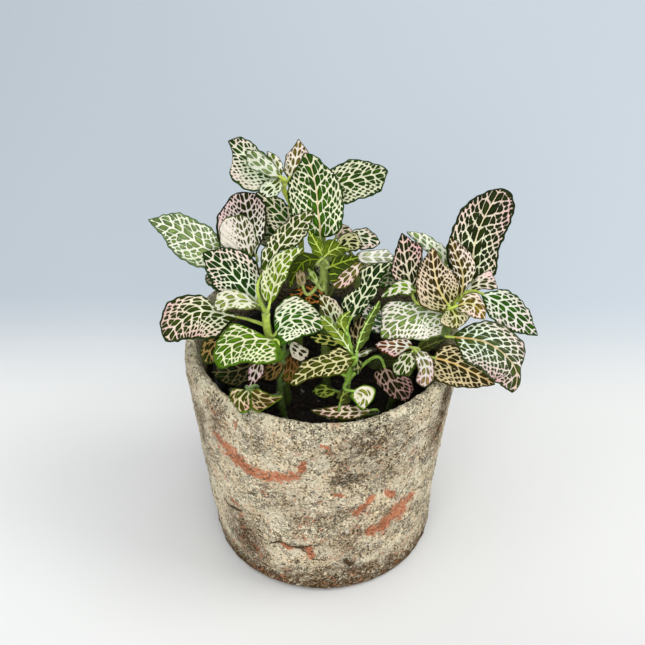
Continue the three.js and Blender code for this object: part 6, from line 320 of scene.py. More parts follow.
        right=[45.2,-29,139.8,46.5,-29.7,139.9,49.8,-30.5,139.9,52.2,-33.5,138.6,53.4,-36.8,136.7,53.6,-40.1,134.4,52.4,-42.9,132.1,50,-44.5,130.5,48.6,-44.9,129.8],
        stalk=[45.2,-23.6,131,44.5,-29,139.6,44.33,-28.74,139.62]),
    'H4': dict(node=None, stem='H', pale=0,
        mid=[46.6,-22.4,134.2,47.5,-22.3,134.7,49.1,-22.1,135.6,51.1,-21.8,136.5,53,-21.3,137.2,55,-20.7,137.7,57,-20.1,138.1,58.8,-19.4,138.3,59.7,-19,138.4],
        left=[46.2,-22,134.6,47.5,-21.8,135.5,48.2,-21.1,136.6,50.2,-20.5,137.7,52.3,-20,138.5,54.5,-19.4,139.1,56.7,-18.9,139.3,58.5,-19,139,59.7,-18.8,138.6],
        right=[46.7,-22.8,133.7,47.6,-22.8,134,49.5,-23.3,133.7,51.6,-23.1,134.4,53.6,-22.5,135.3,55.5,-21.7,136.3,57.3,-20.6,137.3,59.1,-19.9,137.6,59.9,-19.2,138.1],
        stalk=[44.6,-23.2,129,44.6,-22.6,133.1,47.99,-22.25,134.97]),
    'F3': dict(node=None, stem='E', pale=0,
        mid=[11.2,-19.3,134.8,10,-19.1,135.1,7.7,-18.7,135.7,5.1,-18.2,136.2,2.5,-17.8,136.7,-0.1,-17.5,137.1,-2.8,-17.2,137.5,-5.1,-17,137.7,-6.3,-16.9,137.9],
        left=[11.4,-18.8,135.3,10.1,-18.6,135.9,8.1,-17.8,136.6,5.6,-16.8,137.7,2.9,-16.1,138.5,0,-15.7,139,-2.9,-15.7,139,-5.3,-16.3,138.4,-6.4,-16.6,138.1],
        right=[11.1,-19.7,134.3,9.9,-19.6,134.4,7.5,-19.7,134,4.6,-19.7,133.9,1.8,-19.5,134.1,-1,-19.1,134.7,-3.6,-18.4,135.7,-5.5,-17.4,137,-6.5,-17,137.6],
        stalk=[12.5,-24.8,137.7,13.6,-19.7,134.2,9.67,-19.04,135.18]),
    'F4': dict(node=None, stem='L', pale=1,
        mid=[-16.6,-18.7,135.6,-15.9,-19.1,135.2,-14.8,-19.7,134.6,-13.4,-20.5,133.8,-12,-21.2,133.1,-10.6,-21.9,132.3,-9.2,-22.6,131.6,-8,-23.2,131,-7.3,-23.5,130.7],
        left=[-16.4,-18.2,136,-15.7,-18.2,135.9,-13.8,-17.9,136.1,-11.8,-18.4,135.5,-9.8,-19.1,134.7,-7.9,-19.9,133.8,-6.7,-21.2,132.6,-7,-22.7,131.3,-7,-23.3,130.8],
        right=[-17.1,-19,135.2,-16.6,-19.4,134.7,-16.6,-20.8,133.1,-16,-22.4,131.2,-14.7,-23.7,129.7,-12.4,-24.5,129,-10,-24.5,129.1,-8.2,-23.9,130.1,-7.4,-23.7,130.4],
        stalk=[-19,-19,132,-17.9,-17.9,136.4,-15.36,-19.41,134.89]),
    'F6': dict(node=None, stem='L', pale=0,
        mid=[-15.2,-15.6,126.7,-15.4,-16.4,125.9,-15.6,-17.8,124.5,-15.9,-19.4,122.9,-16.2,-20.9,121.2,-16.5,-22.5,119.6,-16.8,-24.1,117.9,-17,-25.5,116.5,-17.2,-26.2,115.7],
        left=[-15.9,-15.4,126.9,-16.5,-15.9,126.3,-18.8,-16.5,125.3,-20.6,-18,123.5,-21.1,-20,121.4,-20.9,-22.1,119.4,-20,-24.2,117.4,-18.4,-25.7,116.2,-17.5,-26.3,115.7],
        right=[-14.5,-15.5,126.7,-14.1,-16.1,126,-12.3,-17.2,124.6,-11.2,-18.9,122.6,-11.2,-21,120.5,-12.1,-22.9,118.5,-13.8,-24.7,116.9,-15.9,-25.8,116,-16.9,-26.3,115.6],
        stalk=[-19.8,-20.3,126.1,-14.7,-13.8,128.5,-15.48,-16.71,125.59]),
    'F7': dict(node=None, stem='L', pale=0,
        mid=[-30.5,-29.1,132.3,-30.9,-30,131.9,-31.5,-31.6,131.1,-32.3,-33.3,130.1,-33.1,-34.9,128.9,-33.8,-36.3,127.7,-34.6,-37.6,126.3,-35.3,-38.6,125,-35.7,-39.1,124.3],
        left=[-31,-28.7,132.5,-31.6,-29.4,132.3,-33.6,-30,132,-35.5,-31.3,131.2,-36.3,-33.2,129.8,-36.5,-35.1,128.3,-36.3,-36.9,126.6,-36.2,-38.4,125.3,-36.1,-39,124.4],
        right=[-29.8,-29,132.3,-29.5,-29.7,132,-28.1,-31.2,131,-28.4,-33.3,129.6,-29.5,-35.2,128.3,-31.1,-36.7,127,-33,-37.9,125.8,-34.5,-38.8,124.8,-35.4,-39.2,124.2],
        stalk=[-20.6,-22.6,111,-29.2,-26.1,133.6,-31.1,-30.45,131.7]),
    'F8': dict(node=None, stem='L', pale=0,
        mid=[-19.1,-21.5,125.8,-19.9,-21.9,125.4,-21.5,-22.6,124.7,-23.3,-23.4,123.9,-25.1,-24.3,123,-26.8,-25.2,122.1,-28.5,-26.1,121.1,-30,-26.8,120.3,-30.8,-27.3,119.9],
        left=[-19.3,-21,126.3,-20.2,-21.1,126.1,-22.4,-20.6,126.3,-25,-20.7,126.1,-27.3,-21.5,125.2,-29,-23,123.8,-29.9,-24.8,122.2,-30.3,-26.3,121,-31,-27.1,120],
        right=[-18.6,-21.8,125.4,-19.2,-22.3,124.9,-19.6,-23.7,123.1,-20.5,-25.4,121.2,-22.3,-26.7,119.7,-24.7,-27.5,119,-27.4,-27.7,119,-29.6,-27.5,119.5,-30.7,-27.5,119.6],
        stalk=[-20,-20.5,125.1,-18.6,-21.3,126,-20.41,-22.15,125.15]),
    'F9': dict(node=None, stem='L', pale=0,
        mid=[-32.3,-20,124.5,-33.8,-20.5,124.1,-36.6,-21.5,123.2,-39.8,-22.5,122.4,-43.2,-23.3,121.7,-46.6,-23.7,121.3,-50.1,-23.8,121.2,-53.2,-23.8,121.3,-54.8,-23.7,121.3],
        left=[-32.5,-19.4,124.9,-34,-19.8,124.6,-37.1,-19.4,124.7,-40.8,-19.3,124.6,-44.4,-19.4,124.4,-47.9,-20,123.9,-51.2,-21.1,123.1,-53.7,-22.7,122,-55,-23.4,121.5],
        right=[-31.9,-20.3,124.1,-32.7,-21.5,123,-33.8,-24.3,120.1,-36.9,-27,117.5,-41.3,-28.3,116.3,-46.1,-28.3,116.4,-50.4,-26.9,117.9,-53.4,-24.9,120,-54.9,-23.9,121.1],
        stalk=[-20.4,-21,122.5,-29.1,-18.9,125.4,-33.77,-20.49,124.11]),
    'F10': dict(node=None, stem='C', pale=0,
        mid=[-49.3,-15,137,-50,-15.6,136.4,-51.4,-16.6,135.3,-52.9,-17.9,134,-54.3,-19.2,132.6,-55.4,-20.7,131.1,-56.4,-22.2,129.6,-57.1,-23.5,128.2,-57.5,-24.2,127.5],
        left=[-49.8,-14.6,137.3,-50.8,-14.9,136.9,-53.6,-14.8,136.7,-56.7,-15.5,135.8,-59,-17,134.1,-60.2,-19.1,132,-60,-21.5,129.8,-58.6,-23.3,128.2,-57.9,-24.2,127.5],
        right=[-48.6,-15.1,136.8,-48.5,-15.7,136,-47.5,-17.2,134.1,-47.8,-19.2,131.9,-49.4,-21,130,-51.3,-22.6,128.4,-53.6,-24.1,127,-56.2,-24.4,127.1,-57.3,-24.4,127.3],
        stalk=[-25.4,-17.4,135.2,-47.1,-13.1,138.9,-50.32,-15.87,136.13]),
    'F11a': dict(node=None, stem='L', pale=0,
        mid=[-35.2,-51,133.9,-35.9,-51.4,133.5,-37.2,-52.2,132.7,-38.5,-53.2,131.7,-39.5,-54.5,130.6,-39.8,-56,129.3,-39.7,-57.6,128.1,-39.5,-58.9,127,-39.4,-59.7,126.5],
        left=[-35.7,-50.5,134.1,-36.7,-50.7,133.8,-39.6,-50.2,133.6,-43,-49.7,133.2,-45,-51.3,131.6,-44.1,-54,129.7,-42.1,-56.4,128.3,-40.2,-58.5,127.4,-39.7,-59.5,126.5],
        right=[-34.5,-51.1,133.8,-34.7,-51.7,133.3,-33.9,-53.1,132,-33.5,-54.8,130.4,-33.8,-56.6,128.9,-34.6,-58.3,127.4,-36.3,-59.5,126.5,-38.3,-59.7,126.4,-39.1,-59.9,126.3],
        stalk=[-20.6,-22.7,106,-31,-42,124,-34,-50.3,134.6,-36.44,-51.71,133.19]),
    'F11b': dict(node=None, stem='L', pale=0,
        mid=[-34.6,-52.5,134.6,-33.7,-53.3,134.4,-31.9,-54.6,133.8,-29.7,-55.9,133.3,-27.2,-56.5,132.9,-24.7,-56.4,132.9,-22.2,-55.9,132.9,-20.1,-55.3,132.9,-19,-54.8,132.9],
        left=[-34.6,-51.9,135,-33.5,-52.3,135,-31.4,-52.1,135.3,-29.1,-52.8,135.1,-26.9,-53.9,134.5,-24.6,-54.8,133.9,-22,-55.3,133.5,-20.1,-54.6,133.5,-19,-54.5,133.1],
        right=[-35,-52.9,134.2,-34.5,-54.2,133.5,-34.1,-57.2,131.4,-33.5,-60.5,128.9,-30.2,-61.4,128.4,-26.6,-59.9,129.7,-23,-58.1,130.9,-20.1,-56.2,132,-19,-55.1,132.7],
        stalk=[-20.6,-22.6,108,-30,-43.5,125,-35.8,-51.5,134.9,-33.42,-53.55,134.34]),
    'F13': dict(node=None, stem='E', pale=0,
        mid=[6.8,-31.9,116.1,6,-31.7,116.3,4.4,-31.4,116.5,2.6,-31.2,116.7,0.7,-31.1,116.7,-1.2,-31.3,116.6,-3,-31.6,116.4,-4.5,-31.9,116.1,-5.4,-32.1,116],
        left=[6.8,-31.3,116.5,5.7,-31.1,116.8,4.4,-30.3,117.1,2.5,-29.3,117.8,0.4,-28.5,118.2,-1.8,-28.7,118.1,-3.6,-29.9,117.3,-4.5,-31.3,116.7,-5.5,-31.8,116.2],
        right=[7,-32.4,115.7,6.3,-32.6,115.5,5.1,-33.6,114.6,3.1,-34.3,114,0.9,-34.5,113.8,-1.2,-34.2,114,-3.2,-33.5,114.7,-4.6,-32.6,115.5,-5.4,-32.4,115.8],
        stalk=[11.2,-31,114.3,8.6,-32.4,115.6,5.29,-31.52,116.48]),
    'F14': dict(node='leaf_mouth_cream', stem='E', pale=1,
        mid=[14.4,-40.8,123.9,15.4,-41.1,124,17.1,-41.7,124,19,-42.5,123.8,20.1,-44,122.8,20.2,-45.7,121.6,19.8,-47.2,120.2,19.4,-48.4,119,19.2,-49,118.3],
        left=[13.8,-41,123.7,13.9,-41.5,123.5,13,-42.7,122.8,13.6,-44.3,121.8,14.8,-45.6,121.1,15.9,-46.9,120.2,17.2,-48,119.4,18.5,-48.7,118.7,18.9,-49.1,118.2],
        right=[14.6,-40.2,124.2,15.7,-39.8,124.7,18.6,-38.8,125.6,22.4,-38.7,125.7,25.4,-40.4,124.6,24.8,-43.6,122.4,22.7,-46.2,120.6,20.5,-48.1,119.1,19.5,-48.9,118.3],
        stalk=[12,-31,121.8,11.1,-39.8,123.6,13.54,-40.54,123.81]),
    'F14b': dict(node=None, stem='E', pale=0,
        mid=[8.2,-43.3,118.4,8.3,-42.9,118.9,8.6,-42.2,119.7,9,-41.4,120.7,9.9,-40.8,121.6,11,-40.3,122.1,12.3,-40,122.5,13.4,-39.8,122.8,14,-39.7,122.9],
        left=[7.5,-43.3,118.4,7.7,-42.6,119.5,6.8,-41.9,119.9,6.9,-40.7,121.3,7.9,-39.6,122.5,9.6,-39.2,123.1,11.5,-39.3,123.1,12.6,-39.6,123.2,13.8,-39.5,123.1],
        right=[8.6,-43.6,117.9,8.9,-43.3,118.2,10.3,-43.3,118,11.9,-43,118.1,13.3,-42.4,118.7,14.2,-41.7,119.8,14.5,-40.8,121.1,14.2,-40.1,122.3,14.3,-39.8,122.7],
        stalk=[11.4,-31,116.3,7.7,-45.5,115.7,8.45,-42.31,119.63]),
    'F15': dict(node='leaf_mouth_on_rim', stem='E', pale=0,
        mid=[23.7,-44.6,115,21.6,-45,115,17.8,-45.6,115.1,13.3,-46.1,115.2,8.9,-46.3,115.2,4.5,-46.1,115.2,0.1,-45.6,115.1,-3.8,-45,115,-5.8,-44.6,115],
        left=[23.7,-43.9,115.2,21.7,-44,115.4,18,-43,116.1,13.5,-42.3,116.6,9,-42.3,116.7,4.5,-43,116.4,0.1,-43.8,115.8,-3.5,-44.2,115.5,-5.8,-44.2,115.1],
        right=[23.8,-45.1,114.6,21.9,-46.1,114.4,18.4,-48.3,113.5,13.8,-49.6,113.1,9,-49.6,113.1,4.3,-48.9,113.4,-0.3,-47.8,113.8,-4.2,-46.1,114.4,-5.9,-44.9,114.8],
        stalk=[10.9,-31,101,18,-35,103,26.5,-41.5,111,24.9,-44.4,115,24.58,-44.43,115]),
    'F16': dict(node='leaf_mouth_dark', stem='E', pale=0,
        mid=[29.8,-22.5,124.2,30.3,-23.8,123.5,31.4,-26.1,122.2,32.7,-28.6,120.7,34.3,-30.9,119.1,36.1,-32.9,117.5,37.9,-34.7,115.8,39.5,-36.2,114.3,40.4,-36.9,113.4],
        left=[29.1,-22.4,124.2,28,-23.4,123.5,24.8,-25.2,122.1,25,-28.6,119.8,27.8,-31.5,117.8,30.9,-34.2,115.9,34.6,-36.2,114.3,38.3,-36.9,113.6,40.1,-37.1,113.3],
        right=[30.4,-22.2,124.3,31.8,-22.9,124,34.4,-25.2,122.6,37.6,-27,121.3,42,-26.8,121.1,44.3,-29.6,118.9,43.9,-33.1,116.3,41.9,-35.8,114.3,40.7,-36.9,113.4],
        stalk=[12.1,-31,122.3,28.7,-19.6,125.8,29.51,-21.75,124.6]),
    'F17': dict(node=None, stem='H', pale=0,
        mid=[36.8,-18.5,124.6,35.7,-18.8,124.7,33.6,-19.2,124.9,31.2,-19.5,125,28.9,-19.7,124.9,26.5,-19.7,124.8,24.2,-19.6,124.5,22.2,-19.4,124.2,21.1,-19.3,124],
        left=[36.9,-18,125,35.9,-17.9,125.4,34.1,-16.9,126.5,31.5,-16.3,127.3,28.7,-16.3,127.3,26,-16.7,126.9,23.5,-17.4,126,21.8,-18.6,124.8,20.9,-19,124.2],
        right=[37,-19,124.1,36.1,-19.6,123.9,34.6,-21.3,122.7,32,-22.4,121.9,29.1,-22.7,121.7,26.1,-22.6,121.8,23.3,-21.9,122.1,21.6,-20.3,123.2,20.9,-19.5,123.7],
        stalk=[40,-21.2,117,40.1,-17.6,124.3,35.26,-18.92,124.74]),
    'R1': dict(node='leaf_rear_top', stem='K', pale=0,
        mid=[-3,36,160,-3.2,38.7,160.8,-3.4,43.8,162.1,-3.7,49.7,163,-4,55.7,163.3,-4.4,61.8,163,-4.7,67.9,162.2,-4.9,73.3,161.1,-5,76.2,160.2],
        left=[-3.7,36,160.1,-8.9,38.3,161.4,-13.3,43.1,163.1,-15.8,48.9,164.2,-16.5,54.9,164.6,-15.7,61,164.2,-13.3,67.4,163.1,-9.3,73,161.5,-5.4,76.2,160.3],
        right=[-2.3,36,160.1,2.6,38.9,161.6,6.4,44.1,163.4,8.3,50.1,164.6,8.4,56.2,165,7,62.2,164.6,3.9,68.2,163.4,-0.5,73.5,161.7,-4.7,76.2,160.3],
        stalk=[0.1,27.8,158,-2.8,32.7,159,-2.94,35.14,159.74]),
    'R2': dict(node='leaf_rear_left', stem='K', pale=0,
        mid=[-14,31,156,-16,32.5,156.6,-19.6,35.4,157.5,-23.9,38.7,157.9,-28.1,42.1,157.7,-32.2,45.6,157,-36.4,49.2,155.7,-40,52.3,154.1,-41.9,54,153.1],
        left=[-14.4,30.4,156,-19.2,28.5,156.7,-25.1,28.5,157.6,-30.5,30.4,158,-34.9,33.5,157.9,-38.5,37.8,157.1,-41.2,43.2,155.8,-42.5,49.2,154.2,-42.2,53.7,153.1],
        right=[-13.6,31.5,156.2,-12.8,36.4,157.8,-14.2,42,159.4,-17.3,46.8,160.3,-21.2,50.5,160.2,-26,53.2,159.3,-31.7,54.9,157.4,-37.6,55.3,155,-41.7,54.3,153.2],
        stalk=[0.3,27.5,153.8,-11.3,29,155.2,-13.3,30.47,155.79]),
    'R3': dict(node='leaf_rear_right', stem='M', pale=0,
        mid=[23,24,138,25,25.5,138.4,28.7,28.4,138.9,32.9,31.8,139.1,37.1,35.2,138.7,41.3,38.6,137.8,45.4,42.1,136.4,48.9,45.2,134.8,50.8,46.8,133.8],
        left=[22.6,24.5,138.2,21.9,29.4,139.6,23.3,35.1,140.9,26.4,39.9,141.5,30.4,43.6,141.2,35.1,46.3,140.1,40.7,47.9,138.2,46.5,48.2,135.7,50.6,47.1,133.9],
        right=[23.4,23.4,138,28.2,21.6,138.5,34.2,21.6,139,39.6,23.4,139.2,44,26.6,138.8,47.5,30.8,137.9,50.2,36.2,136.5,51.4,42.1,134.9,51,46.6,133.8],
        stalk=[17,15.5,135.9,20.2,21.9,137.4,22.29,23.47,137.86]),
    'R4': dict(node='leaf_rear_left_low', stem='B', pale=0,
        mid=[-32,17,139,-34,18.3,139.4,-37.7,20.7,139.9,-41.9,23.6,140.1,-46.1,26.6,139.7,-50.2,29.5,138.8,-54.3,32.6,137.4,-57.8,35.3,135.9,-59.7,36.7,134.8],
        left=[-32.4,16.4,139,-36.9,14.1,139.4,-42.6,13.5,139.8,-47.9,14.8,139.9,-52.3,17.5,139.5,-55.9,21.3,138.7,-58.6,26.3,137.3,-60,32,135.8,-59.9,36.4,134.8],
        right=[-31.6,17.6,139.2,-31.2,22.4,140.7,-32.9,27.7,142.1,-36,32.2,142.7,-40,35.4,142.5,-44.7,37.6,141.3,-50.1,38.7,139.4,-55.7,38.4,136.8,-59.5,37,134.9],
        stalk=[-30.4,9.7,137.2,-29.5,15.4,138.5,-31.26,16.52,138.85]),
    'R5': dict(node='leaf_rear_right_low', stem='G', pale=0,
        mid=[50,4,137,51.2,6.2,137.6,53.5,10.2,138.5,56,15,138.9,58.5,19.8,138.7,60.9,24.7,138,63.3,29.6,136.7,65.3,33.9,135.1,66.4,36.3,134.1],
        left=[49.4,4.3,137.2,46.8,8.4,138.9,45.9,14.1,140.7,46.8,19.7,141.6,49,24.7,141.5,52.3,29.1,140.6,56.7,33,138.7,61.9,35.7,136.1,66.1,36.5,134.2],
        right=[50.6,3.7,137,55.7,3.8,137.5,61.2,6.1,138.3,65.5,10,138.7,68.2,14.6,138.5,69.8,20,137.8,70,26,136.6,68.8,32.1,135.1,66.7,36.1,134.1],
        stalk=[55.6,-4,134.1,48.4,1,136.2,49.58,3.23,136.79]),
    'R6': dict(node='leaf_rear_low', stem='K', pale=0,
        mid=[5,34,130,5.2,36.5,130.3,5.6,41.2,130.6,6,46.6,130.4,6.4,52,129.8,6.9,57.3,128.7,7.3,62.6,127,7.6,67.2,125.2,7.8,69.6,124],
        left=[4.3,34.1,130.1,-0.1,37,131,-3.5,42,131.8,-5,47.6,132,-4.9,52.9,131.4,-3.5,58.2,130.1,-0.6,63.3,128.1,3.5,67.5,125.7,7.4,69.7,124.1],
        right=[5.7,33.9,130.1,10.5,36.1,130.9,14.7,40.5,131.5,17.1,45.8,131.6,17.9,51.1,131,17.3,56.5,129.7,15.2,62,127.8,11.7,66.9,125.6,8.1,69.6,124.1],
        stalk=[1.6,25.6,128.1,4.7,30.5,129.6,4.93,33.11,129.89]),
    'S1': dict(node=None, stem='A', pale=0,
        mid=[-13.7,28.7,141.8,-13.8,30.9,141.4,-13.9,34.9,140.6,-13.9,39.5,139.4,-14,43.9,137.8,-14.1,48.3,135.9,-14.1,52.6,133.7,-14.1,56.2,131.6,-14.1,58.1,130.3],
        left=[-14.4,28.7,141.9,-18.2,31,142.1,-21.5,35.1,141.8,-23.3,39.7,140.8,-23.7,44.2,139.3,-22.9,48.5,137.3,-20.8,52.8,134.8,-17.6,56.3,132.1,-14.5,58.1,130.4],
        right=[-13,28.8,141.9,-9.4,31.3,142.4,-6.3,35.5,142.3,-4.7,40.2,141.4,-4.5,44.7,139.9,-5.4,49,137.8,-7.5,53.1,135.2,-10.7,56.5,132.3,-13.8,58.2,130.4],
        stalk=[-11.2,22.3,141.3,-13.6,26,142.3,-13.77,30.27,141.51]),
    'S2': dict(node=None, stem='M', pale=0,
        mid=[24.1,19.6,156.1,25.8,20.8,155.7,29.1,23,154.9,32.9,25.4,153.6,36.6,27.5,152,40.4,29.5,150.1,44.2,31.2,147.9,47.5,32.6,145.8,49.2,33.3,144.5],
        left=[23.7,20.1,155.9,23.2,24.3,154.3,24.6,28.9,152.4,27.4,32.6,150.6,31,35,148.9,35.2,36.2,147.3,40.3,36.4,145.8,45.4,35.2,144.6,49,33.5,144.4],
        right=[24.5,19.2,156.5,28.4,18.1,158.3,33.6,18.3,159.3,38.3,19.6,158.9,42.2,21.6,157.5,45.5,24,155.2,48.1,27.1,151.7,49.5,30.5,147.7,49.4,33,144.7],
        stalk=[16.6,15,154.9,21.3,17.6,156.8,25.38,20.51,155.8]),
    'S3': dict(node=None, stem='K', pale=0,
        mid=[3.7,37.9,146,4.2,40.3,145.7,5.1,44.6,144.8,6.3,49.3,143.2,7.8,53.8,141.1,9.4,58,138.5,11.2,62,135.4,13,65.3,132.2,14,67,130.4],
        left=[3.1,38,145.9,-0.2,41.2,144.8,-2.5,46.1,143.2,-2.9,51.2,141.3,-1.7,55.7,139.1,0.7,59.8,136.7,4.7,63.3,134,9.6,66,131.5,13.6,67,130.3],
        right=[4.3,37.9,146.4,7.9,40.2,148.3,11.5,44.4,149.2,14.2,49.1,148.6,15.9,53.6,146.7,16.8,57.9,143.6,16.8,61.9,139.3,15.9,65.2,134.2,14.3,67,130.6],
        stalk=[0.7,26.9,145.5,3,34.5,146.4,4.02,39.45,145.81]),
    'S4': dict(node=None, stem='G', pale=0,
        mid=[64.7,6,147.6,65,7.9,147.4,65.7,11.5,146.8,66.7,15.4,145.7,67.7,19.3,144.2,68.7,22.9,142.4,69.9,26.5,140.2,71,29.5,137.9,71.6,31,136.6],
        left=[64,6.1,147.6,60.8,8.9,147.3,58.5,13.1,146.5,57.8,17.4,145.4,58.5,21.3,144,60.4,24.8,142.1,63.6,27.9,140,67.7,30.2,137.8,71.2,31.1,136.6],
        right=[65.3,5.9,147.9,68.9,7.6,149.4,72.3,10.9,150.3,74.7,14.8,149.9,75.9,18.6,148.6,76.3,22.3,146.4,75.6,26,143.2,73.9,29.2,139.5,71.9,31,136.7],
        stalk=[62.2,-4.3,147.7,64.2,2.6,148,64.95,7.57,147.43]),
    'S5': dict(node=None, stem='M', pale=0,
        mid=[21.5,18.8,113.4,22.9,19.9,113.1,25.5,21.7,112.4,28.5,23.6,111.3,31.4,25.3,109.8,34.3,26.8,107.9,37.2,28.1,105.6,39.6,29.1,103.4,40.9,29.6,102.1],
        left=[21.1,19.4,113.2,21.1,22.3,112.3,22.3,25.9,111.1,24.6,28.7,109.6,27.4,30.6,108,30.6,31.7,106.3,34.4,31.8,104.5,38.2,31,102.8,40.7,29.9,102],
        right=[22,18.4,113.7,24.9,17.7,114.4,28.9,17.9,114.7,32.5,19,114,35.6,20.6,112.6,38.1,22.5,110.5,40.1,24.9,107.6,41.1,27.4,104.4,41.1,29.4,102.2],
        stalk=[16.6,15.8,113.8,19.7,17.4,113.8,22.74,19.77,113.13]),
    'S6': dict(node=None, stem='C', pale=0,
        mid=[-19.8,-9.9,130.8,-19.1,-8.4,131.1,-17.5,-5.7,131.2,-15.6,-2.9,130.9,-13.5,-0.2,130.1,-11.3,2.3,128.8,-8.8,4.6,127.1,-6.6,6.4,125.1,-5.3,7.3,124],
        left=[-20.4,-9.5,130.6,-21.5,-6.8,130.1,-21.8,-3,129.6,-20.8,0.4,128.9,-18.9,3.2,128.1,-16.2,5.4,127,-12.6,6.9,125.6,-8.5,7.6,124.4,-5.6,7.5,123.9],
        right=[-19.3,-10.1,131.3,-16.9,-9.6,132.9,-13.8,-7.8,134.4,-11.1,-5.4,134.8,-8.9,-2.8,134.1,-7,-0.1,132.5,-5.6,2.7,129.8,-4.9,5.4,126.6,-5.1,7.2,124.2],
        stalk=[-24.2,-16.2,129.8,-21.1,-12.7,130.2,-19.13,-8.47,131.09]),
    'S7': dict(node=None, stem='K', pale=0,
        mid=[9.5,34.7,139.7,10.7,36.1,139.8,12.9,38.5,139.7,15.5,41.2,139.2,18.2,43.7,138.3,20.9,46.1,136.9,23.7,48.3,135.1,26.2,50.1,133.3,27.6,51,132.1],
        left=[9,35.2,139.5,8.1,38.4,139,8.5,42.6,138.3,10.1,46.1,137.5,12.6,48.8,136.5,15.9,50.7,135.3,19.9,51.8,133.9,24.2,51.9,132.6,27.3,51.2,132],
        right=[10,34.3,140,13.1,34.1,141.4,17,35.1,142.5,20.6,37,142.7,23.4,39.4,141.8,25.7,42.1,140.2,27.3,45.3,137.6,28.1,48.5,134.5,27.8,50.8,132.3],
        stalk=[1.1,26.3,137.3,7.2,32,139.5,10.54,35.91,139.79]),
    'S8': dict(node=None, stem='A', pale=0,
        mid=[-20.2,35.9,166.6,-20.9,37.3,166.9,-22.1,40,167.3,-23.4,43.1,167.3,-24.4,46.3,166.8,-25.2,49.5,165.7,-25.9,52.7,164.2,-26.3,55.6,162.5,-26.4,57.2,161.5],
        left=[-20.9,35.6,166.5,-23.8,36.2,166.5,-27.1,38.1,166.5,-29.4,40.8,166.3,-30.7,43.9,165.7,-30.9,47.3,164.8,-30.2,51.1,163.5,-28.5,54.8,162.2,-26.8,57.1,161.4],
        right=[-19.7,36.1,167,-18.5,38.3,168.7,-18,41.7,170.4,-18.3,45.1,171,-19.2,48.4,170.6,-20.5,51.4,169.3,-22.3,54.2,166.9,-24.4,56.4,163.9,-26.2,57.3,161.7],
        stalk=[-11.8,28.2,163.6,-18.7,32.8,165.9,-20.9,37.31,166.9]),
    'S9': dict(node=None, stem='K', pale=0,
        mid=[7.3,32.3,158.6,8.7,33.2,158.6,11.3,34.9,158.3,14.3,36.8,157.6,17.3,38.5,156.6,20.2,40.1,155.2,23.2,41.5,153.4,25.7,42.7,151.5,27.1,43.2,150.4],
        left=[7,32.9,158.6,7.1,36,158.5,8.4,39.7,158.2,10.8,42.5,157.5,13.6,44.4,156.5,16.9,45.5,155.1,20.7,45.6,153.3,24.4,44.8,151.5,26.9,43.6,150.4],
        right=[7.7,31.8,159,10.5,31,160.2,14.3,31.1,161,18,32.2,160.9,21.1,33.7,160,23.7,35.7,158.2,25.8,38.2,155.7,27.1,41,152.7,27.3,43,150.6],
        stalk=[0.1,27.9,158.4,4.5,30.5,158.6,8.65,33.17,158.6]),
    'S10': dict(node=None, stem='D', pale=0,
        mid=[-11.2,7.7,156.9,-12.6,8.4,156.9,-15.1,9.8,156.5,-17.9,11,155.5,-20.5,12.1,154,-23.1,12.8,151.8,-25.4,13.4,149.1,-27.4,13.7,146.3,-28.4,13.7,144.6],
        left=[-11.5,7.1,157.2,-14.2,5.9,158,-17.9,5.3,158.4,-21.2,5.6,157.9,-24,6.5,156.4,-26.2,7.8,154,-27.8,9.5,150.8,-28.7,11.7,147.2,-28.6,13.5,144.7],
        right=[-10.9,8.3,156.8,-11.1,11.3,156.4,-12.6,14.7,155.7,-14.8,17,154.5,-17.4,18.2,152.9,-20.2,18.5,150.9,-23.3,17.7,148.4,-26.3,15.9,145.9,-28.3,14.1,144.5],
        stalk=[0.3,2.6,159.3,-8.1,6.1,156.9,-12.63,8.42,156.9]),
    'S11': dict(node=None, stem='A', pale=0,
        mid=[-25.4,39.5,194.1,-26.1,40.7,194.5,-27.4,43.1,194.9,-28.9,45.9,195,-30.4,48.6,194.7,-31.8,51.4,193.9,-33.2,54.2,192.7,-34.5,56.6,191.3,-35.1,57.9,190.4],
        left=[-26,39.1,194.2,-28.5,39.4,194.7,-31.6,40.8,195.3,-34,43.1,195.4,-35.7,45.8,195.1,-36.6,48.8,194.3,-36.9,52.2,192.9,-36.3,55.6,191.4,-35.4,57.8,190.4],
        right=[-24.8,39.8,194.3,-23.7,42,195,-23.3,45.4,195.8,-23.9,48.6,196.1,-25.2,51.5,195.8,-27.1,54,194.9,-29.6,56.2,193.4,-32.6,57.6,191.6,-34.8,58.1,190.4],
        stalk=[-19.6,31,193.7,-23.7,36.6,193.1,-26.17,40.83,194.54]),
    'S12': dict(node=None, stem='H', pale=0,
        mid=[54.8,-22.6,127.8,56.5,-22.4,128.2,59.5,-22.1,128.5,63,-21.9,128.4,66.5,-21.8,127.8,69.9,-21.8,126.6,73.3,-21.9,124.9,76.2,-22.1,122.9,77.8,-22.2,121.7],
        left=[54.8,-21.9,127.8,56.3,-19.3,128.3,59.2,-16.7,128.7,62.6,-15.3,128.7,66.1,-14.9,128,69.5,-15.6,126.8,73,-17.1,125,76.1,-19.6,123,77.8,-21.8,121.7],
        right=[54.9,-23.3,128.1,56.7,-25.3,129.5,59.9,-27.1,130.8,63.5,-27.9,131.2,67,-28,130.6,70.4,-27.5,129.2,73.7,-26.2,126.8,76.4,-24.3,123.9,77.8,-22.5,121.8],
        stalk=[44,-23.3,127.7,51.4,-23,127,56.35,-22.42,128.16]),
    'S13': dict(node=None, stem='B', pale=0,
        mid=[-35.5,15.7,163.2,-35.7,17.3,164,-36.1,20.3,165.1,-36.3,23.9,165.9,-36.3,27.5,166.2,-36,31.3,165.8,-35.5,35.2,164.9,-34.9,38.7,163.6,-34.5,40.6,162.7],
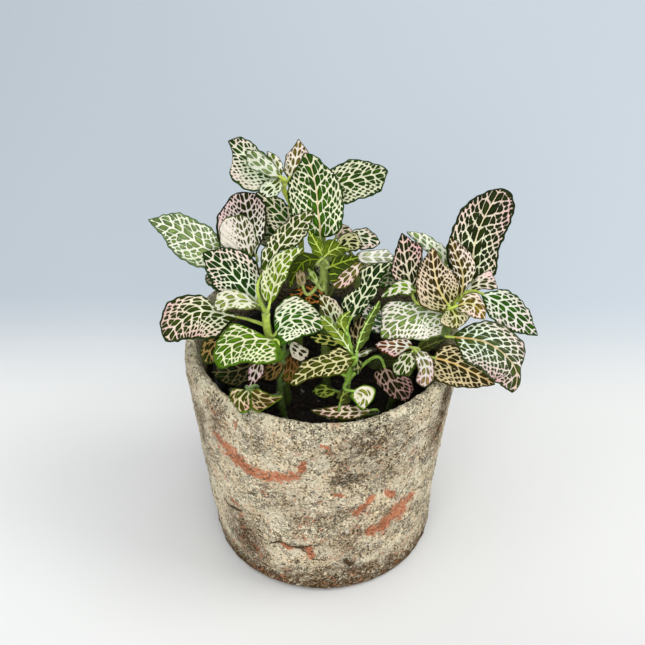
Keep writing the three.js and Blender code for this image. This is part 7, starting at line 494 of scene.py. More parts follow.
        left=[-36.2,15.7,163.1,-39.4,17.2,163.4,-42.5,20.2,164.2,-44.1,23.7,164.8,-44.3,27.4,165,-43.3,31.2,164.7,-41.1,35.2,164,-37.8,38.7,163.1,-34.8,40.6,162.6],
        right=[-34.9,15.7,163.6,-32.7,17,166.1,-30.9,19.8,168.9,-30,23.3,170.5,-29.7,27,170.9,-30,30.8,170.1,-31,34.8,168.1,-32.6,38.5,165.2,-34.2,40.6,162.9],
        stalk=[-35.2,9.2,158.6,-35.1,12.9,161.8,-35.68,17.12,163.91]),
    'S14': dict(node=None, stem='C', pale=0,
        mid=[-20.8,-11.1,138.9,-20,-9.7,139.2,-18.4,-7.2,139.3,-16.4,-4.4,139.1,-14.2,-1.8,138.4,-11.9,0.5,137.2,-9.4,2.7,135.5,-7.2,4.5,133.7,-5.9,5.4,132.6],
        left=[-21.3,-10.7,138.7,-22.4,-8,138,-22.5,-4.3,137.3,-21.4,-1,136.6,-19.4,1.7,135.8,-16.6,3.8,134.9,-13,5.2,133.8,-9,5.8,132.8,-6.2,5.6,132.5],
        right=[-20.3,-11.4,139.3,-17.7,-11.2,140.7,-14.5,-9.7,142,-11.6,-7.5,142.4,-9.3,-5.1,141.8,-7.4,-2.4,140.3,-6,0.5,137.9,-5.4,3.4,134.9,-5.6,5.2,132.8],
        stalk=[-26,-18,137.9,-22.5,-14.1,138.3,-20.02,-9.73,139.19]),
    'S15': dict(node=None, stem='G', pale=0,
        mid=[59.9,-4.3,135.3,61,-4.1,136.8,63.2,-4,139.3,66.1,-4.1,141.9,69.2,-4.4,144.1,72.7,-4.9,145.9,76.4,-5.5,147.4,79.9,-6.3,148.4,81.8,-6.7,148.8],
        left=[60,-3.6,135.2,61.7,-0.7,136.2,64.4,1.9,138.2,67.5,3.1,140.5,70.7,3.1,142.7,74,1.9,144.6,77.4,-0.4,146.4,80.4,-3.6,147.9,81.9,-6.4,148.7],
        right=[59.6,-4.9,135.6,59.7,-7.2,138.1,61.1,-9.3,141.6,63.4,-10.5,144.7,66.5,-11,147,70.2,-10.9,148.5,74.5,-10.1,149.4,78.9,-8.6,149.4,81.7,-7,148.9],
        stalk=[53.8,-4,130.2,58,-4.6,132.7,60.84,-4.13,136.58]),
    'S16': dict(node=None, stem='B', pale=0,
        mid=[-34.9,8,140.1,-36.1,7.6,140.9,-38.5,6.6,141.9,-41.3,5.6,142.5,-44.2,4.5,142.7,-47.1,3.3,142.4,-50.2,2.2,141.6,-53,1.2,140.5,-54.5,0.6,139.7],
        left=[-34.6,7.4,140.3,-35,4.9,141.5,-36.5,2,143,-38.8,-0.1,144,-41.6,-1.3,144.2,-44.8,-1.9,143.7,-48.5,-1.8,142.6,-52.1,-0.9,141,-54.3,0.3,139.8],
        right=[-35.1,8.7,140.3,-37,10.3,141.6,-40,11.4,143.2,-43.2,11.4,144.1,-46.1,10.5,144.4,-48.9,8.8,143.9,-51.6,6.3,142.7,-53.7,3.3,141,-54.6,0.9,139.8],
        stalk=[-30.4,9.7,137.2,-33.1,8.6,138.9,-36.18,7.57,140.96]),
    'S17': dict(node=None, stem='G', pale=0,
        mid=[58.3,4.2,149.8,58.1,5.4,150.6,57.5,7.6,151.9,56.9,10.2,152.9,56.1,12.9,153.5,55.2,15.8,153.6,54.1,18.8,153.3,53.2,21.5,152.7,52.6,23,152.2],
        left=[57.7,4,150.1,55.5,4.3,151.8,53.2,5.7,153.9,51.5,7.9,155.4,50.5,10.6,156,50.1,13.7,155.9,50.3,17.2,155.1,51.2,20.7,153.6,52.3,22.9,152.3],
        right=[59,4.4,149.9,61,6,151,62.6,8.7,152.5,63,11.6,153.6,62.4,14.4,154.2,60.9,17.1,154.3,58.5,19.8,153.8,55.4,22,152.9,53,23.1,152.2],
        stalk=[60.5,-4,144.1,58.8,1.3,147.9,58.08,5.52,150.68]),
    'S18': dict(node=None, stem='G', pale=0,
        mid=[62.6,-0.2,131.1,63.7,0.3,132.3,65.8,1.3,134.1,68.5,2.2,135.9,71.6,3.1,137.1,74.9,3.8,137.8,78.6,4.3,138,82.1,4.7,137.9,84,4.9,137.6],
        left=[62.5,0.5,131,62.9,3.2,132,64.4,6.2,133.7,66.8,8.3,135.3,69.8,9.3,136.5,73.3,9.4,137.3,77.4,8.6,137.6,81.4,6.9,137.6,83.9,5.2,137.6],
        right=[62.6,-0.8,131.5,63.6,-2.2,133.9,65.6,-3,137,68.3,-3,139.3,71.3,-2.3,140.7,74.7,-1.2,141.1,78.4,0.6,140.5,82,2.8,139.1,84,4.6,137.8],
        stalk=[51.2,-4,124.3,60.3,-1.2,128.6,63.63,0.27,132.23]),
    'S19': dict(node=None, stem='E', pale=0,
        mid=[7,-31.8,128.6,5.8,-31.8,129.5,3.5,-32,130.7,0.8,-32.4,131.6,-2.1,-33,132.1,-5,-33.9,132,-8.1,-34.9,131.4,-10.9,-36.1,130.5,-12.4,-36.8,129.8],
        left=[7.2,-32.4,129,6.7,-34.2,131,5,-36.1,133.4,2.5,-37.4,134.9,-0.3,-38.2,135.4,-3.4,-38.6,135.1,-6.9,-38.5,133.7,-10.3,-37.9,131.7,-12.3,-37,130],
        right=[6.9,-31.2,128.5,5.2,-29,128.9,2.5,-27.1,129.8,-0.5,-26.4,130.5,-3.4,-26.8,130.9,-6.3,-28.2,131,-9,-30.7,130.6,-11.4,-33.9,130.1,-12.5,-36.4,129.8],
        stalk=[12.3,-31,124.4,9.2,-31.8,127,5.72,-31.8,129.56]),
    'S20': dict(node=None, stem='B', pale=0,
        mid=[-35.6,11.5,134.8,-37,12.1,135.1,-39.5,13,135.5,-42.4,14,135.4,-45.3,14.8,134.9,-48.2,15.5,133.8,-51.1,16.1,132.3,-53.6,16.5,130.6,-55,16.7,129.5],
        left=[-35.9,10.9,135.1,-37.9,9.5,136.5,-41,8.7,137.8,-44.2,8.7,138.2,-47.2,9.4,137.8,-49.9,10.6,136.5,-52.4,12.3,134.3,-54.3,14.5,131.6,-55.1,16.4,129.7],
        right=[-35.4,12.2,134.8,-36.1,14.9,135,-37.9,17.9,135.2,-40.4,19.9,135.1,-43.3,20.9,134.6,-46.3,21.1,133.6,-49.7,20.3,132.1,-52.9,18.7,130.5,-54.9,17,129.5],
        stalk=[-29.9,9.7,134.5,-33.4,10.6,134.3,-37.04,12.12,135.11]),
    'S21': dict(node=None, stem='M', pale=0,
        mid=[15.1,20.5,149.3,14.8,21.9,149.3,14.1,24.5,149.3,13.1,27.4,148.9,12,30.1,148.3,10.8,32.8,147.3,9.5,35.5,146,8.2,37.6,144.6,7.4,38.8,143.8],
        left=[14.5,20.3,149.7,12.5,21.3,151,10.1,23.5,152.1,8.3,26.2,152.4,7.1,29,151.8,6.3,31.8,150.5,6,34.7,148.4,6.4,37.2,145.9,7.1,38.7,144],
        right=[15.7,20.6,149,17.4,22.6,148.4,18.6,25.7,147.6,18.6,28.9,146.9,17.7,31.8,146.2,16,34.3,145.4,13.4,36.6,144.5,10.2,38.2,143.9,7.7,38.9,143.6],
        stalk=[17,15,150.4,15.6,18.2,149.3,14.76,22.06,149.3]),
    'S22': dict(node=None, stem='G', pale=0,
        mid=[52.9,5.8,134.1,52.7,7.2,133.9,52.2,9.7,133.2,51.5,12.4,132.1,50.6,14.8,130.6,49.6,17.1,128.8,48.4,19.1,126.6,47.2,20.7,124.3,46.6,21.4,123],
        left=[52.3,5.8,134.4,50.1,7.1,135.3,47.8,9.5,135.6,46.1,12.2,135.1,45,14.6,133.7,44.5,16.9,131.6,44.5,18.9,128.7,45.2,20.6,125.4,46.3,21.4,123.1],
        right=[53.5,5.9,133.8,55.4,7.5,132.8,56.9,10.2,131.4,57.2,13,129.9,56.5,15.5,128.4,55,17.7,126.7,52.5,19.5,125,49.4,20.9,123.5,46.9,21.5,122.8],
        stalk=[55.7,-4,134.4,53.4,2.4,134.6,52.68,7.37,133.88]),
    'S23': dict(node=None, stem='L', pale=0,
        mid=[-15.4,-19,113.3,-14.1,-18.1,113.5,-11.7,-16.4,113.7,-8.9,-14.7,113.6,-6.1,-13,113.2,-3.2,-11.4,112.6,-0.3,-9.9,111.6,2.3,-8.7,110.5,3.7,-8.1,109.9],
        left=[-15.8,-18.4,113.2,-15.8,-15.4,113,-14.7,-11.8,112.8,-12.5,-9,112.6,-9.8,-7.1,112.2,-6.6,-6.1,111.6,-2.8,-5.9,110.9,1,-6.6,110.2,3.5,-7.8,109.8],
        right=[-15.1,-19.5,113.7,-12.6,-20.4,115.2,-9.1,-20.4,116.5,-5.7,-19.5,117.1,-2.8,-18,116.8,-0.2,-15.9,115.9,2,-13.4,114.1,3.5,-10.5,111.8,3.9,-8.3,110.1],
        stalk=[-20.7,-22.3,111.3,-17.5,-20.5,113,-14.09,-18.1,113.5]),
}
STEMS = {
    'A': dict(node='stem_top_left', top='#a9b648', radius=(2.1, 1.35), path=[-12,14,70,-12,16,110,-11,24,150,-12.3,30.5,171,-16.9,33.2,184.5,-19.4,31.8,192,-20,29.3,197]),
    'B': dict(node='stem_left_back', top='#8c9a50', radius=(2, 1.5), path=[-20,6,70,-26,9,115,-32,10,145,-36,9,162]),
    'C': dict(node='stem_left', top='#a8bf4e', radius=(2.2, 1.8), path=[-17,-9,70,-20,-12,110,-26,-18,138,-27.4,-18.5,148,-27.5,-17.5,153]),
    'D': dict(node='stem_centre', top='#8a9c48', radius=(2.2, 1.9), path=[2,0,70,1,1,120,0,1.5,150,0.5,3.5,167]),
    'M': dict(node='stem_centre_back', top='#8c9a50', radius=(1.9, 1.4), path=[14,14,70,17,16,120,17,15,150,16,15,161]),
    'E': dict(node='stem_front', top='#8fb83e', radius=(2.1, 1.4), path=[9,-27,70,10.5,-31,108,12.5,-31,126,13.3,-28,134,11.5,-21,142]),
    'G': dict(node='stem_right', top='#aabd48', radius=(2.3, 1.8), path=[36,-4,70,45,-4,110,55,-4,133,61.5,-4,146,64,-5,152]),
    'H': dict(node='stem_front_right', top='#a0b450', radius=(2, 1.4), path=[30,-13,70,38,-20,110,43,-23,124,45,-23.5,131]),
    'L': dict(node='stem_front_left', top='#5f7a3a', radius=(1.9, 1.3), path=[-14,-22,70,-20,-23,95,-21,-22,118,-19,-19,132]),
    'K': dict(node='stem_back', top='#8fa04c', radius=(2.1, 1.5), path=[2,22,70,2,25,120,0,28,160,-1,30,180]),
}


# ------------------------------------------------------------------ helpers
def lin(h):
    h = h.lstrip("#")
    v = np.array([int(h[i:i + 2], 16) / 255.0 for i in (0, 2, 4)])
    return np.where(v <= 0.04045, v / 12.92, ((v + 0.055) / 1.055) ** 2.4)


def smooth(a, b, x):
    t = np.clip((x - a) / (b - a + 1e-12), 0, 1)
    return t * t * (3 - 2 * t)


def spline(x, Y, q):
    """Natural cubic spline through Y at x, evaluated at q."""
    x = np.asarray(x, float); Y = np.asarray(Y, float); n = len(x)
    h = np.diff(x)
    A = np.zeros((n, n)); rhs = np.zeros((n,) + Y.shape[1:])
    A[0, 0] = A[-1, -1] = 1
    for i in range(1, n - 1):
        A[i, i - 1], A[i, i], A[i, i + 1] = h[i - 1], 2 * (h[i - 1] + h[i]), h[i]
        rhs[i] = 6 * ((Y[i + 1] - Y[i]) / h[i] - (Y[i] - Y[i - 1]) / h[i - 1])
    m = np.linalg.solve(A, rhs)
    k = np.clip(np.searchsorted(x, q) - 1, 0, n - 2)
    a = ((x[k + 1] - q) / h[k])[:, None]; b = ((q - x[k]) / h[k])[:, None]; hk = h[k][:, None]
    return a * Y[k] + b * Y[k + 1] + ((a ** 3 - a) * m[k] + (b ** 3 - b) * m[k + 1]) * hk ** 2 / 6


def new_mesh(name, verts_mm, faces, mat=None, attrs=None, smooth_shade=True, quads=True):
    me = bpy.data.meshes.new(name)
    v = np.asarray(verts_mm, np.float64) * MM
    f = np.asarray(faces, np.int32)
    me.vertices.add(len(v)); me.vertices.foreach_set("co", v.astype(np.float32).ravel())
    k = f.shape[1]
    me.loops.add(f.size); me.loops.foreach_set("vertex_index", f.ravel())
    me.polygons.add(len(f))
    me.polygons.foreach_set("loop_start", np.arange(0, f.size, k, dtype=np.int32))
    me.polygons.foreach_set("loop_total", np.full(len(f), k, np.int32))
    me.polygons.foreach_set("use_smooth", np.full(len(f), smooth_shade, bool))
    me.update(calc_edges=True)
    for an, arr in (attrs or {}).items():
        arr = np.asarray(arr, np.float32)
        if arr.ndim == 2 and arr.shape[1] == 3:
            a = me.attributes.new(an, "FLOAT_VECTOR", "POINT"); a.data.foreach_set("vector", arr.ravel())
        else:
            a = me.attributes.new(an, "FLOAT", "POINT"); a.data.foreach_set("value", arr.ravel())
    ob = bpy.data.objects.new(name, me)
    bpy.context.scene.collection.objects.link(ob)
    if mat:
        me.materials.append(mat)
    return ob


def value_noise(P, scale, seed):
    """Smooth noise in [-1, 1] at points P (n, 3)."""
    rng = np.random.default_rng(seed)
    tab = rng.uniform(-1, 1, (32, 32, 32))
    q = P / scale
    i = np.floor(q).astype(int); f = q - i; f = f * f * (3 - 2 * f)
    out = np.zeros(len(P))
    for dx in (0, 1):
        for dy in (0, 1):
            for dz in (0, 1):
                w = (f[:, 0] if dx else 1 - f[:, 0]) * (f[:, 1] if dy else 1 - f[:, 1]) * (f[:, 2] if dz else 1 - f[:, 2])
                out += w * tab[(i[:, 0] + dx) % 32, (i[:, 1] + dy) % 32, (i[:, 2] + dz) % 32]
    return out


# ------------------------------------------------------------------ node helpers
class NT:
    def __init__(self, name):
        self.mat = bpy.data.materials.new(name)
        self.mat.use_nodes = True
        self.t = self.mat.node_tree
        self.t.nodes.clear()
        self.out = self.n("ShaderNodeOutputMaterial")
        self.bsdf = self.n("ShaderNodeBsdfPrincipled")
        self.l(self.bsdf.outputs[0], self.out.inputs["Surface"])

    def n(self, kind, **kw):
        nd = self.t.nodes.new(kind)
        for k, v in kw.items():
            setattr(nd, k, v)
        return nd

    def l(self, a, b):
        self.t.links.new(a, b)

    def attr(self, name):
        nd = self.n("ShaderNodeAttribute"); nd.attribute_name = name
        return nd

    def put(self, sock, v):
        if hasattr(v, "is_linked") or isinstance(v, bpy.types.NodeSocket):
            self.l(v, sock)
        elif isinstance(v, (tuple, list, np.ndarray)):
            v = [float(q) for q in v]
            if len(v) == 3 and sock.type == "RGBA":
                v = v + [1.0]
            sock.default_value = v
        else:
            sock.default_value = v

    def math(self, op, a, b=None, c=None, clamp=False):
        nd = self.n("ShaderNodeMath", operation=op); nd.use_clamp = clamp
        for i, v in enumerate((a, b, c)):
            if v is not None:
                self.put(nd.inputs[i], v)
        return nd.outputs[0]

    def range(self, v, a, b, lo=0.0, hi=1.0, kind="SMOOTHSTEP"):
        nd = self.n("ShaderNodeMapRange", interpolation_type=kind)
        nd.clamp = True
        for i, q in enumerate((v, a, b, lo, hi)):
            self.put(nd.inputs[i], q)
        return nd.outputs[0]

    def mix(self, f, a, b, mode="MIX"):
        nd = self.n("ShaderNodeMix", data_type="RGBA", blend_type=mode)
        self.put(nd.inputs[0], f); self.put(nd.inputs[6], a); self.put(nd.inputs[7], b)
        return nd.outputs[2]

    def noise(self, scale, detail=3.0, rough=0.5, vec=None, dist=0.0):
        nd = self.n("ShaderNodeTexNoise")
        nd.inputs["Scale"].default_value = scale; nd.inputs["Detail"].default_value = detail
        nd.inputs["Roughness"].default_value = rough; nd.inputs["Distortion"].default_value = dist
        if vec is not None:
            self.l(vec, nd.inputs["Vector"])
        return nd

    def voronoi(self, scale, feature="F1", vec=None, rnd=1.0):
        nd = self.n("ShaderNodeTexVoronoi", feature=feature)
        nd.inputs["Scale"].default_value = scale
        nd.inputs["Randomness"].default_value = rnd
        if vec is not None:
            self.l(vec, nd.inputs["Vector"])
        return nd

    def bump(self, height, strength, dist, normal=None):
        nd = self.n("ShaderNodeBump")
        nd.inputs["Strength"].default_value = strength
        nd.inputs["Distance"].default_value = dist
        self.l(height, nd.inputs["Height"])
        if normal is not None:
            self.l(normal, nd.inputs["Normal"])
        return nd.outputs[0]

    def pos(self):
        return self.n("ShaderNodeTexCoord").outputs["Object"]


# ------------------------------------------------------------------ materials
def leaf_material():
    m = NT("leaf")
    vd = m.attr("vein_mm").outputs["Fac"]
    vw = m.attr("vein_half").outputs["Fac"]
    cell = m.attr("cell_rgb").outputs["Vector"]
    vein = m.attr("vein_rgb").outputs["Vector"]
    wax = m.attr("wax").outputs["Fac"]
    pos = m.pos()
    # ragged vein edge
    n1 = m.noise(1500, 2.0, 0.6, pos).outputs["Fac"]
    n2 = m.noise(420, 3.0, 0.55, pos).outputs["Fac"]
    n3 = m.noise(110, 3.0, 0.5, pos).outputs["Fac"]
    d = m.math("ADD", vd, m.math("MULTIPLY", m.math("SUBTRACT", n2, 0.5), 0.16))
    over = m.math("SUBTRACT", d, vw)
    edge = m.range(over, -0.06, 0.10)
    # cells: mottled, with painted shade where they dip against the veins and a painted highlight on the crown of each
    # blister
    core = m.range(over, 0.05, 0.8)
    c1 = m.mix(m.range(n2, 0.3, 0.7), m.mix(1.0, cell, (0.70, 0.74, 0.66), "MULTIPLY"), m.mix(1.0, cell, (1.22, 1.16, 1.02), "MULTIPLY"))
    c2 = m.mix(core, m.mix(1.0, c1, (0.72, 0.72, 0.66), "MULTIPLY"), m.mix(1.0, c1, (1.28, 1.2, 1.02), "MULTIPLY"))
    v1 = m.mix(m.range(n3, 0.35, 0.65), m.mix(1.0, vein, (0.92, 0.91, 0.87), "MULTIPLY"), m.mix(1.0, vein, (1.08, 1.07, 1.06), "MULTIPLY"))
    v2 = m.mix(m.math("MULTIPLY", m.range(n1, 0.45, 0.75), 0.12), v1, cell)
    col = m.mix(edge, v2, c2)
    # painted sheen: a pale bluish-green reflection laid over the blisters
    col = m.mix(m.math("MULTIPLY", wax, m.range(n2, 0.25, 0.75, 0.45, 1.0)), col, (0.50, 0.62, 0.50))
    # fine surface cells of the skin
    sk = m.voronoi(4200, "F1", pos).outputs["Distance"]
    col = m.mix(m.math("MULTIPLY", m.range(sk, 0.1, 0.7), 0.12), col, m.mix(1.0, col, (0.75, 0.78, 0.75), "MULTIPLY"))
    m.l(col, m.bsdf.inputs["Base Color"])
    ro = m.math("ADD", m.range(n2, 0.3, 0.7, 0.40, 0.54), m.math("MULTIPLY", m.math("SUBTRACT", 1.0, edge), 0.10))
    m.l(ro, m.bsdf.inputs["Roughness"])
    m.bsdf.inputs["Specular IOR Level"].default_value = 0.08
    m.bsdf.inputs["Subsurface Weight"].default_value = 0.06
    m.bsdf.inputs["Subsurface Radius"].default_value = (0.6, 1.0, 0.25)
    m.bsdf.inputs["Subsurface Scale"].default_value = 0.0006
    hgt = m.math("ADD", m.math("MULTIPLY", m.range(over, -0.15, 0.5), 0.8), m.math("ADD", m.math("MULTIPLY", sk, 0.18), m.math("MULTIPLY", n1, 0.14)))
    m.l(m.bump(hgt, 0.7, 0.00026), m.bsdf.inputs["Normal"])
    # light passes through the thin blade
    tr = m.n("ShaderNodeBsdfTranslucent")
    m.l(m.mix(1.0, col, (0.95, 1.05, 0.45), "MULTIPLY"), tr.inputs["Color"])
    mx = m.n("ShaderNodeMixShader")
    mx.inputs[0].default_value = 0.13
    m.l(m.bsdf.outputs[0], mx.inputs[1]); m.l(tr.outputs[0], mx.inputs[2])
    m.l(mx.outputs[0], m.out.inputs["Surface"])
    return m.mat


def stem_material():
    m = NT("stem")
    pos = m.pos()
    rgb = m.attr("stem_rgb").outputs["Vector"]
    n1 = m.noise(300, 4, 0.6, pos).outputs["Fac"]
    n2 = m.noise(1600, 2, 0.6, pos).outputs["Fac"]
    col = m.mix(m.range(n1, 0.3, 0.7), m.mix(1.0, rgb, (0.72, 0.75, 0.68), "MULTIPLY"), m.mix(1.0, rgb, (1.2, 1.16, 1.1), "MULTIPLY"))
    col = m.mix(m.math("MULTIPLY", m.range(n2, 0.55, 0.8), 0.22), col, (0.42, 0.2, 0.12))
    m.l(col, m.bsdf.inputs["Base Color"])
    m.bsdf.inputs["Roughness"].default_value = 0.55
    m.bsdf.inputs["Subsurface Weight"].default_value = 0.25
    m.bsdf.inputs["Subsurface Radius"].default_value = (0.6, 1.0, 0.3)
    m.bsdf.inputs["Subsurface Scale"].default_value = 0.0015
    m.l(m.bump(m.math("ADD", n1, n2), 0.4, 0.0002), m.bsdf.inputs["Normal"])
    return m.mat


def hair_material():
    m = NT("stem_hair")
    pos = m.pos()
    n = m.noise(700, 2, 0.5, pos).outputs["Fac"]
    m.l(m.mix(n, (0.70, 0.74, 0.58), (0.90, 0.90, 0.82)), m.bsdf.inputs["Base Color"])
    m.bsdf.inputs["Roughness"].default_value = 0.6
    return m.mat


def clay_material():
    m = NT("clay")
    pos = m.pos()
    big = m.noise(26, 5, 0.62, pos, 0.8).outputs["Fac"]
    mid = m.noise(95, 5, 0.68, pos, 0.6).outputs["Fac"]
    clot = m.noise(240, 4, 0.7, pos, 0.5).outputs["Fac"]
    fine = m.noise(800, 3, 0.66, pos, 0.9).outputs["Fac"]
    dust = m.noise(2200, 2, 0.6, pos).outputs["Fac"]
    grain = m.voronoi(820, "F1", pos)
    gc = m.n("ShaderNodeSeparateColor"); m.l(grain.outputs["Color"], gc.inputs[0])
    # limewash cream over tan, in cloudy patches
    base = m.mix(m.range(mid, 0.34, 0.62), lin("#fdebc6"), lin("#fffbe6"))
    base = m.mix(m.math("MULTIPLY", m.range(clot, 0.40, 0.60), 0.5), base, lin("#fffae6"))
    base = m.mix(1.0, base, (1.0, 0.955, 0.885), "MULTIPLY")
    # single sand grains
    gcol = m.mix(gc.outputs[0], lin("#b48f60"), lin("#fffaea"))
    base = m.mix(m.math("MULTIPLY", m.range(grain.outputs["Distance"], 0.50, 0.18), 0.40), base, gcol)
    mot = m.noise(560, 4, 0.72, pos, 0.7).outputs["Fac"]
    base = m.mix(m.range(mot, 0.30, 0.52), m.mix(1.0, base, (0.70, 0.60, 0.46), "MULTIPLY"), base)
    st = m.attr("stain").outputs["Fac"]
    gr = m.attr("grey").outputs["Fac"]
    te = m.attr("terra").outputs["Fac"]
    rim = m.attr("rimness").outputs["Fac"]
    inn = m.attr("inside").outputs["Fac"]
    # broad warm stains and grey weathering
    bs = m.math("ADD", m.math("MULTIPLY", st, 1.0), m.math("MULTIPLY", m.range(big, 0.46, 0.68), 0.20))
    bs = m.math("MULTIPLY", bs, m.range(clot, 0.34, 0.62, 0.25, 1.15), clamp=True)
    base = m.mix(m.math("MULTIPLY", bs, 0.88), base, lin("#73502b"))
    gs = m.math("MULTIPLY", gr, m.range(clot, 0.35, 0.62, 0.2, 1.1), clamp=True)
    base = m.mix(m.math("MULTIPLY", gs, 0.70), base, lin("#6c573c"))
    # crevices: winding dark lines and pits, denser where the wall is stained
    dens = m.math("ADD", m.math("MULTIPLY", m.math("SUBTRACT", mid, 0.5), -0.30), m.math("MULTIPLY", m.math("ADD", bs, gs), 0.075))
    cr = m.math("ADD", fine, m.math("MULTIPLY", m.math("SUBTRACT", clot, 0.5), 0.34))
    thr = m.math("ADD", dens, 0.398)
    crev = m.range(m.math("SUBTRACT", thr, cr), -0.012, 0.016)
    # thin winding cracks in the wash, in clusters
    lw = m.noise(430, 3, 0.62, pos, 1.4).outputs["Fac"]
    cl = m.range(m.math("ADD", m.noise(70, 3, 0.6, pos, 0.5).outputs["Fac"], m.math("MULTIPLY", m.math("ADD", bs, gs), 0.12)), 0.46, 0.60)
    line = m.math("MULTIPLY", m.range(m.math("ABSOLUTE", m.math("SUBTRACT", lw, 0.5)), 0.052, 0.028), m.range(dust, 0.32, 0.50))
    crack = m.range(m.math("ADD", m.attr("crack").outputs["Fac"], m.math("MULTIPLY", m.math("SUBTRACT", fine, 0.5), 1.8)), 0.52, 0.62)
    crev = m.math("MAXIMUM", crev, crack)
    crev = m.math("MAXIMUM", crev, m.math("MULTIPLY", line, m.math("ADD", 0.20, m.math("MULTIPLY", cl, 0.80))))
    pitd = m.voronoi(520, "F1", pos)
    pc = m.n("ShaderNodeSeparateColor"); m.l(pitd.outputs["Color"], pc.inputs[0])
    pits = m.math("MULTIPLY", m.range(m.math("ADD", pitd.outputs["Distance"], m.math("MULTIPLY", m.math("SUBTRACT", dust, 0.5), 0.5)), 0.34, 0.2), m.range(pc.outputs[0], 0.80, 0.84))
    # terracotta showing through scrapes
    edge = m.noise(110, 2, 0.5, pos, 0.6).outputs["Fac"]
    tf = m.range(m.math("ADD", m.math("ADD", te, m.math("MULTIPLY", m.math("SUBTRACT", edge, 0.5), 1.3)), m.math("ADD", m.math("MULTIPLY", m.math("SUBTRACT", clot, 0.5), 2.6), m.math("MULTIPLY", m.math("SUBTRACT", fine, 0.5), 2.8))), 0.53, 0.59)
    keep = m.math("SUBTRACT", 1.0, m.math("MULTIPLY", tf, 0.60))
    dark = m.math("MULTIPLY", m.math("MAXIMUM", m.math("MULTIPLY", crev, 0.93), m.math("MULTIPLY", pits, 0.9)), keep)
    tcol = m.mix(m.range(fine, 0.3, 0.7), lin("#a9522c"), lin("#dc9068"))
    tcol = m.mix(m.math("MULTIPLY", m.range(mot, 0.56, 0.68), 0.45), tcol, lin("#f0cfa8"))
    base = m.mix(m.math("MULTIPLY", tf, 0.93), base, tcol)
    base = m.mix(m.math("MULTIPLY", rim, m.range(clot, 0.3, 0.6, 0.2, 0.7)), base, lin("#d9d2b4"))
    rd = m.math("MULTIPLY", m.range(m.noise(300, 3, 0.6, pos).outputs["Fac"], 0.69, 0.73), 0.30)
    base = m.mix(rd, base, lin("#a8684a"))
    spk = m.voronoi(170, "F1", pos)
    sc_ = m.n("ShaderNodeSeparateColor"); m.l(spk.outputs["Color"], sc_.inputs[0])
    white = m.math("MULTIPLY", m.range(m.math("ADD", spk.outputs["Distance"], m.math("MULTIPLY", m.math("SUBTRACT", dust, 0.5), 0.3)), 0.17, 0.11), m.range(sc_.outputs[1], 0.93, 0.94))
    base = m.mix(white, base, lin("#fbf8f0"))
    dcol = m.mix(m.range(clot, 0.35, 0.65), lin("#1e1207"), lin("#453015"))
    base = m.mix(dark, base, dcol)
    base = m.mix(m.math("MULTIPLY", inn, 0.6), base, lin("#5e4a35"))
    m.l(base, m.bsdf.inputs["Base Color"])
    m.l(m.range(fine, 0.2, 0.8, 0.84, 0.98), m.bsdf.inputs["Roughness"])
    m.bsdf.inputs["Specular IOR Level"].default_value = 0.12
    h = m.math("ADD", m.math("MULTIPLY", cr, 1.1), m.math("MULTIPLY", m.range(grain.outputs["Distance"], 0.5, 0.0), 0.45))
    h = m.math("ADD", h, m.math("MULTIPLY", dust, 0.2))
    h = m.math("SUBTRACT", h, m.math("MULTIPLY", dark, 1.1))
    m.l(m.bump(h, 0.95, 0.0009), m.bsdf.inputs["Normal"])
    return m.mat


def plastic_material():
    m = NT("black_plastic")
    pos = m.pos()
    n = m.noise(260, 4, 0.6, pos).outputs["Fac"]
    g = m.noise(40, 3, 0.5, pos).outputs["Fac"]
    dust = m.range(m.math("MULTIPLY", n, g), 0.22, 0.36)
    m.l(m.mix(m.math("MULTIPLY", dust, 0.28), lin("#191c20"), lin("#5a4c3c")), m.bsdf.inputs["Base Color"])
    m.l(m.range(n, 0.3, 0.7, 0.38, 0.6), m.bsdf.inputs["Roughness"])
    m.l(m.bump(n, 0.25, 0.0002), m.bsdf.inputs["Normal"])
    return m.mat


def soil_material():
    m = NT("soil")
    pos = m.pos()
    n = m.noise(220, 6, 0.7, pos).outputs["Fac"]
    v = m.voronoi(520, "F1", pos)
    # near-black soil: its own dark brown, deepened as painted shade of the pot mouth
    c = m.mix(m.range(n, 0.3, 0.7), lin("#0a0705"), lin("#1f160e"))
    sc = m.n("ShaderNodeSeparateColor"); m.l(v.outputs["Color"], sc.inputs[0])
    c = m.mix(m.math("MULTIPLY", m.range(sc.outputs[0], 0.86, 0.9), 0.4), c, lin("#4a3826"))
    m.l(c, m.bsdf.inputs["Base Color"])
    m.bsdf.inputs["Roughness"].default_value = 0.95
    m.l(m.bump(m.math("ADD", n, m.math("MULTIPLY", v.outputs["Distance"], 0.6)), 0.9, 0.0012), m.bsdf.inputs["Normal"])
    return m.mat


def crumb_material():
    m = NT("soil_crumbs")
    pos = m.pos()
    n = m.noise(900, 4, 0.6, pos).outputs["Fac"]
    big = m.voronoi(160, "F1", pos)
    sc = m.n("ShaderNodeSeparateColor"); m.l(big.outputs["Color"], sc.inputs[0])
    # near-black crumbs: their own dark brown, deepened as painted shade of the pot mouth; the grey bits are perlite
    c = m.mix(n, lin("#0f0a06"), lin("#2a1d12"))
    c = m.mix(m.range(sc.outputs[0], 0.93, 0.94), c, lin("#8f887a"))
    m.l(c, m.bsdf.inputs["Base Color"])
    m.bsdf.inputs["Roughness"].default_value = 0.95
    m.l(m.bump(n, 0.6, 0.0005), m.bsdf.inputs["Normal"])
    return m.mat


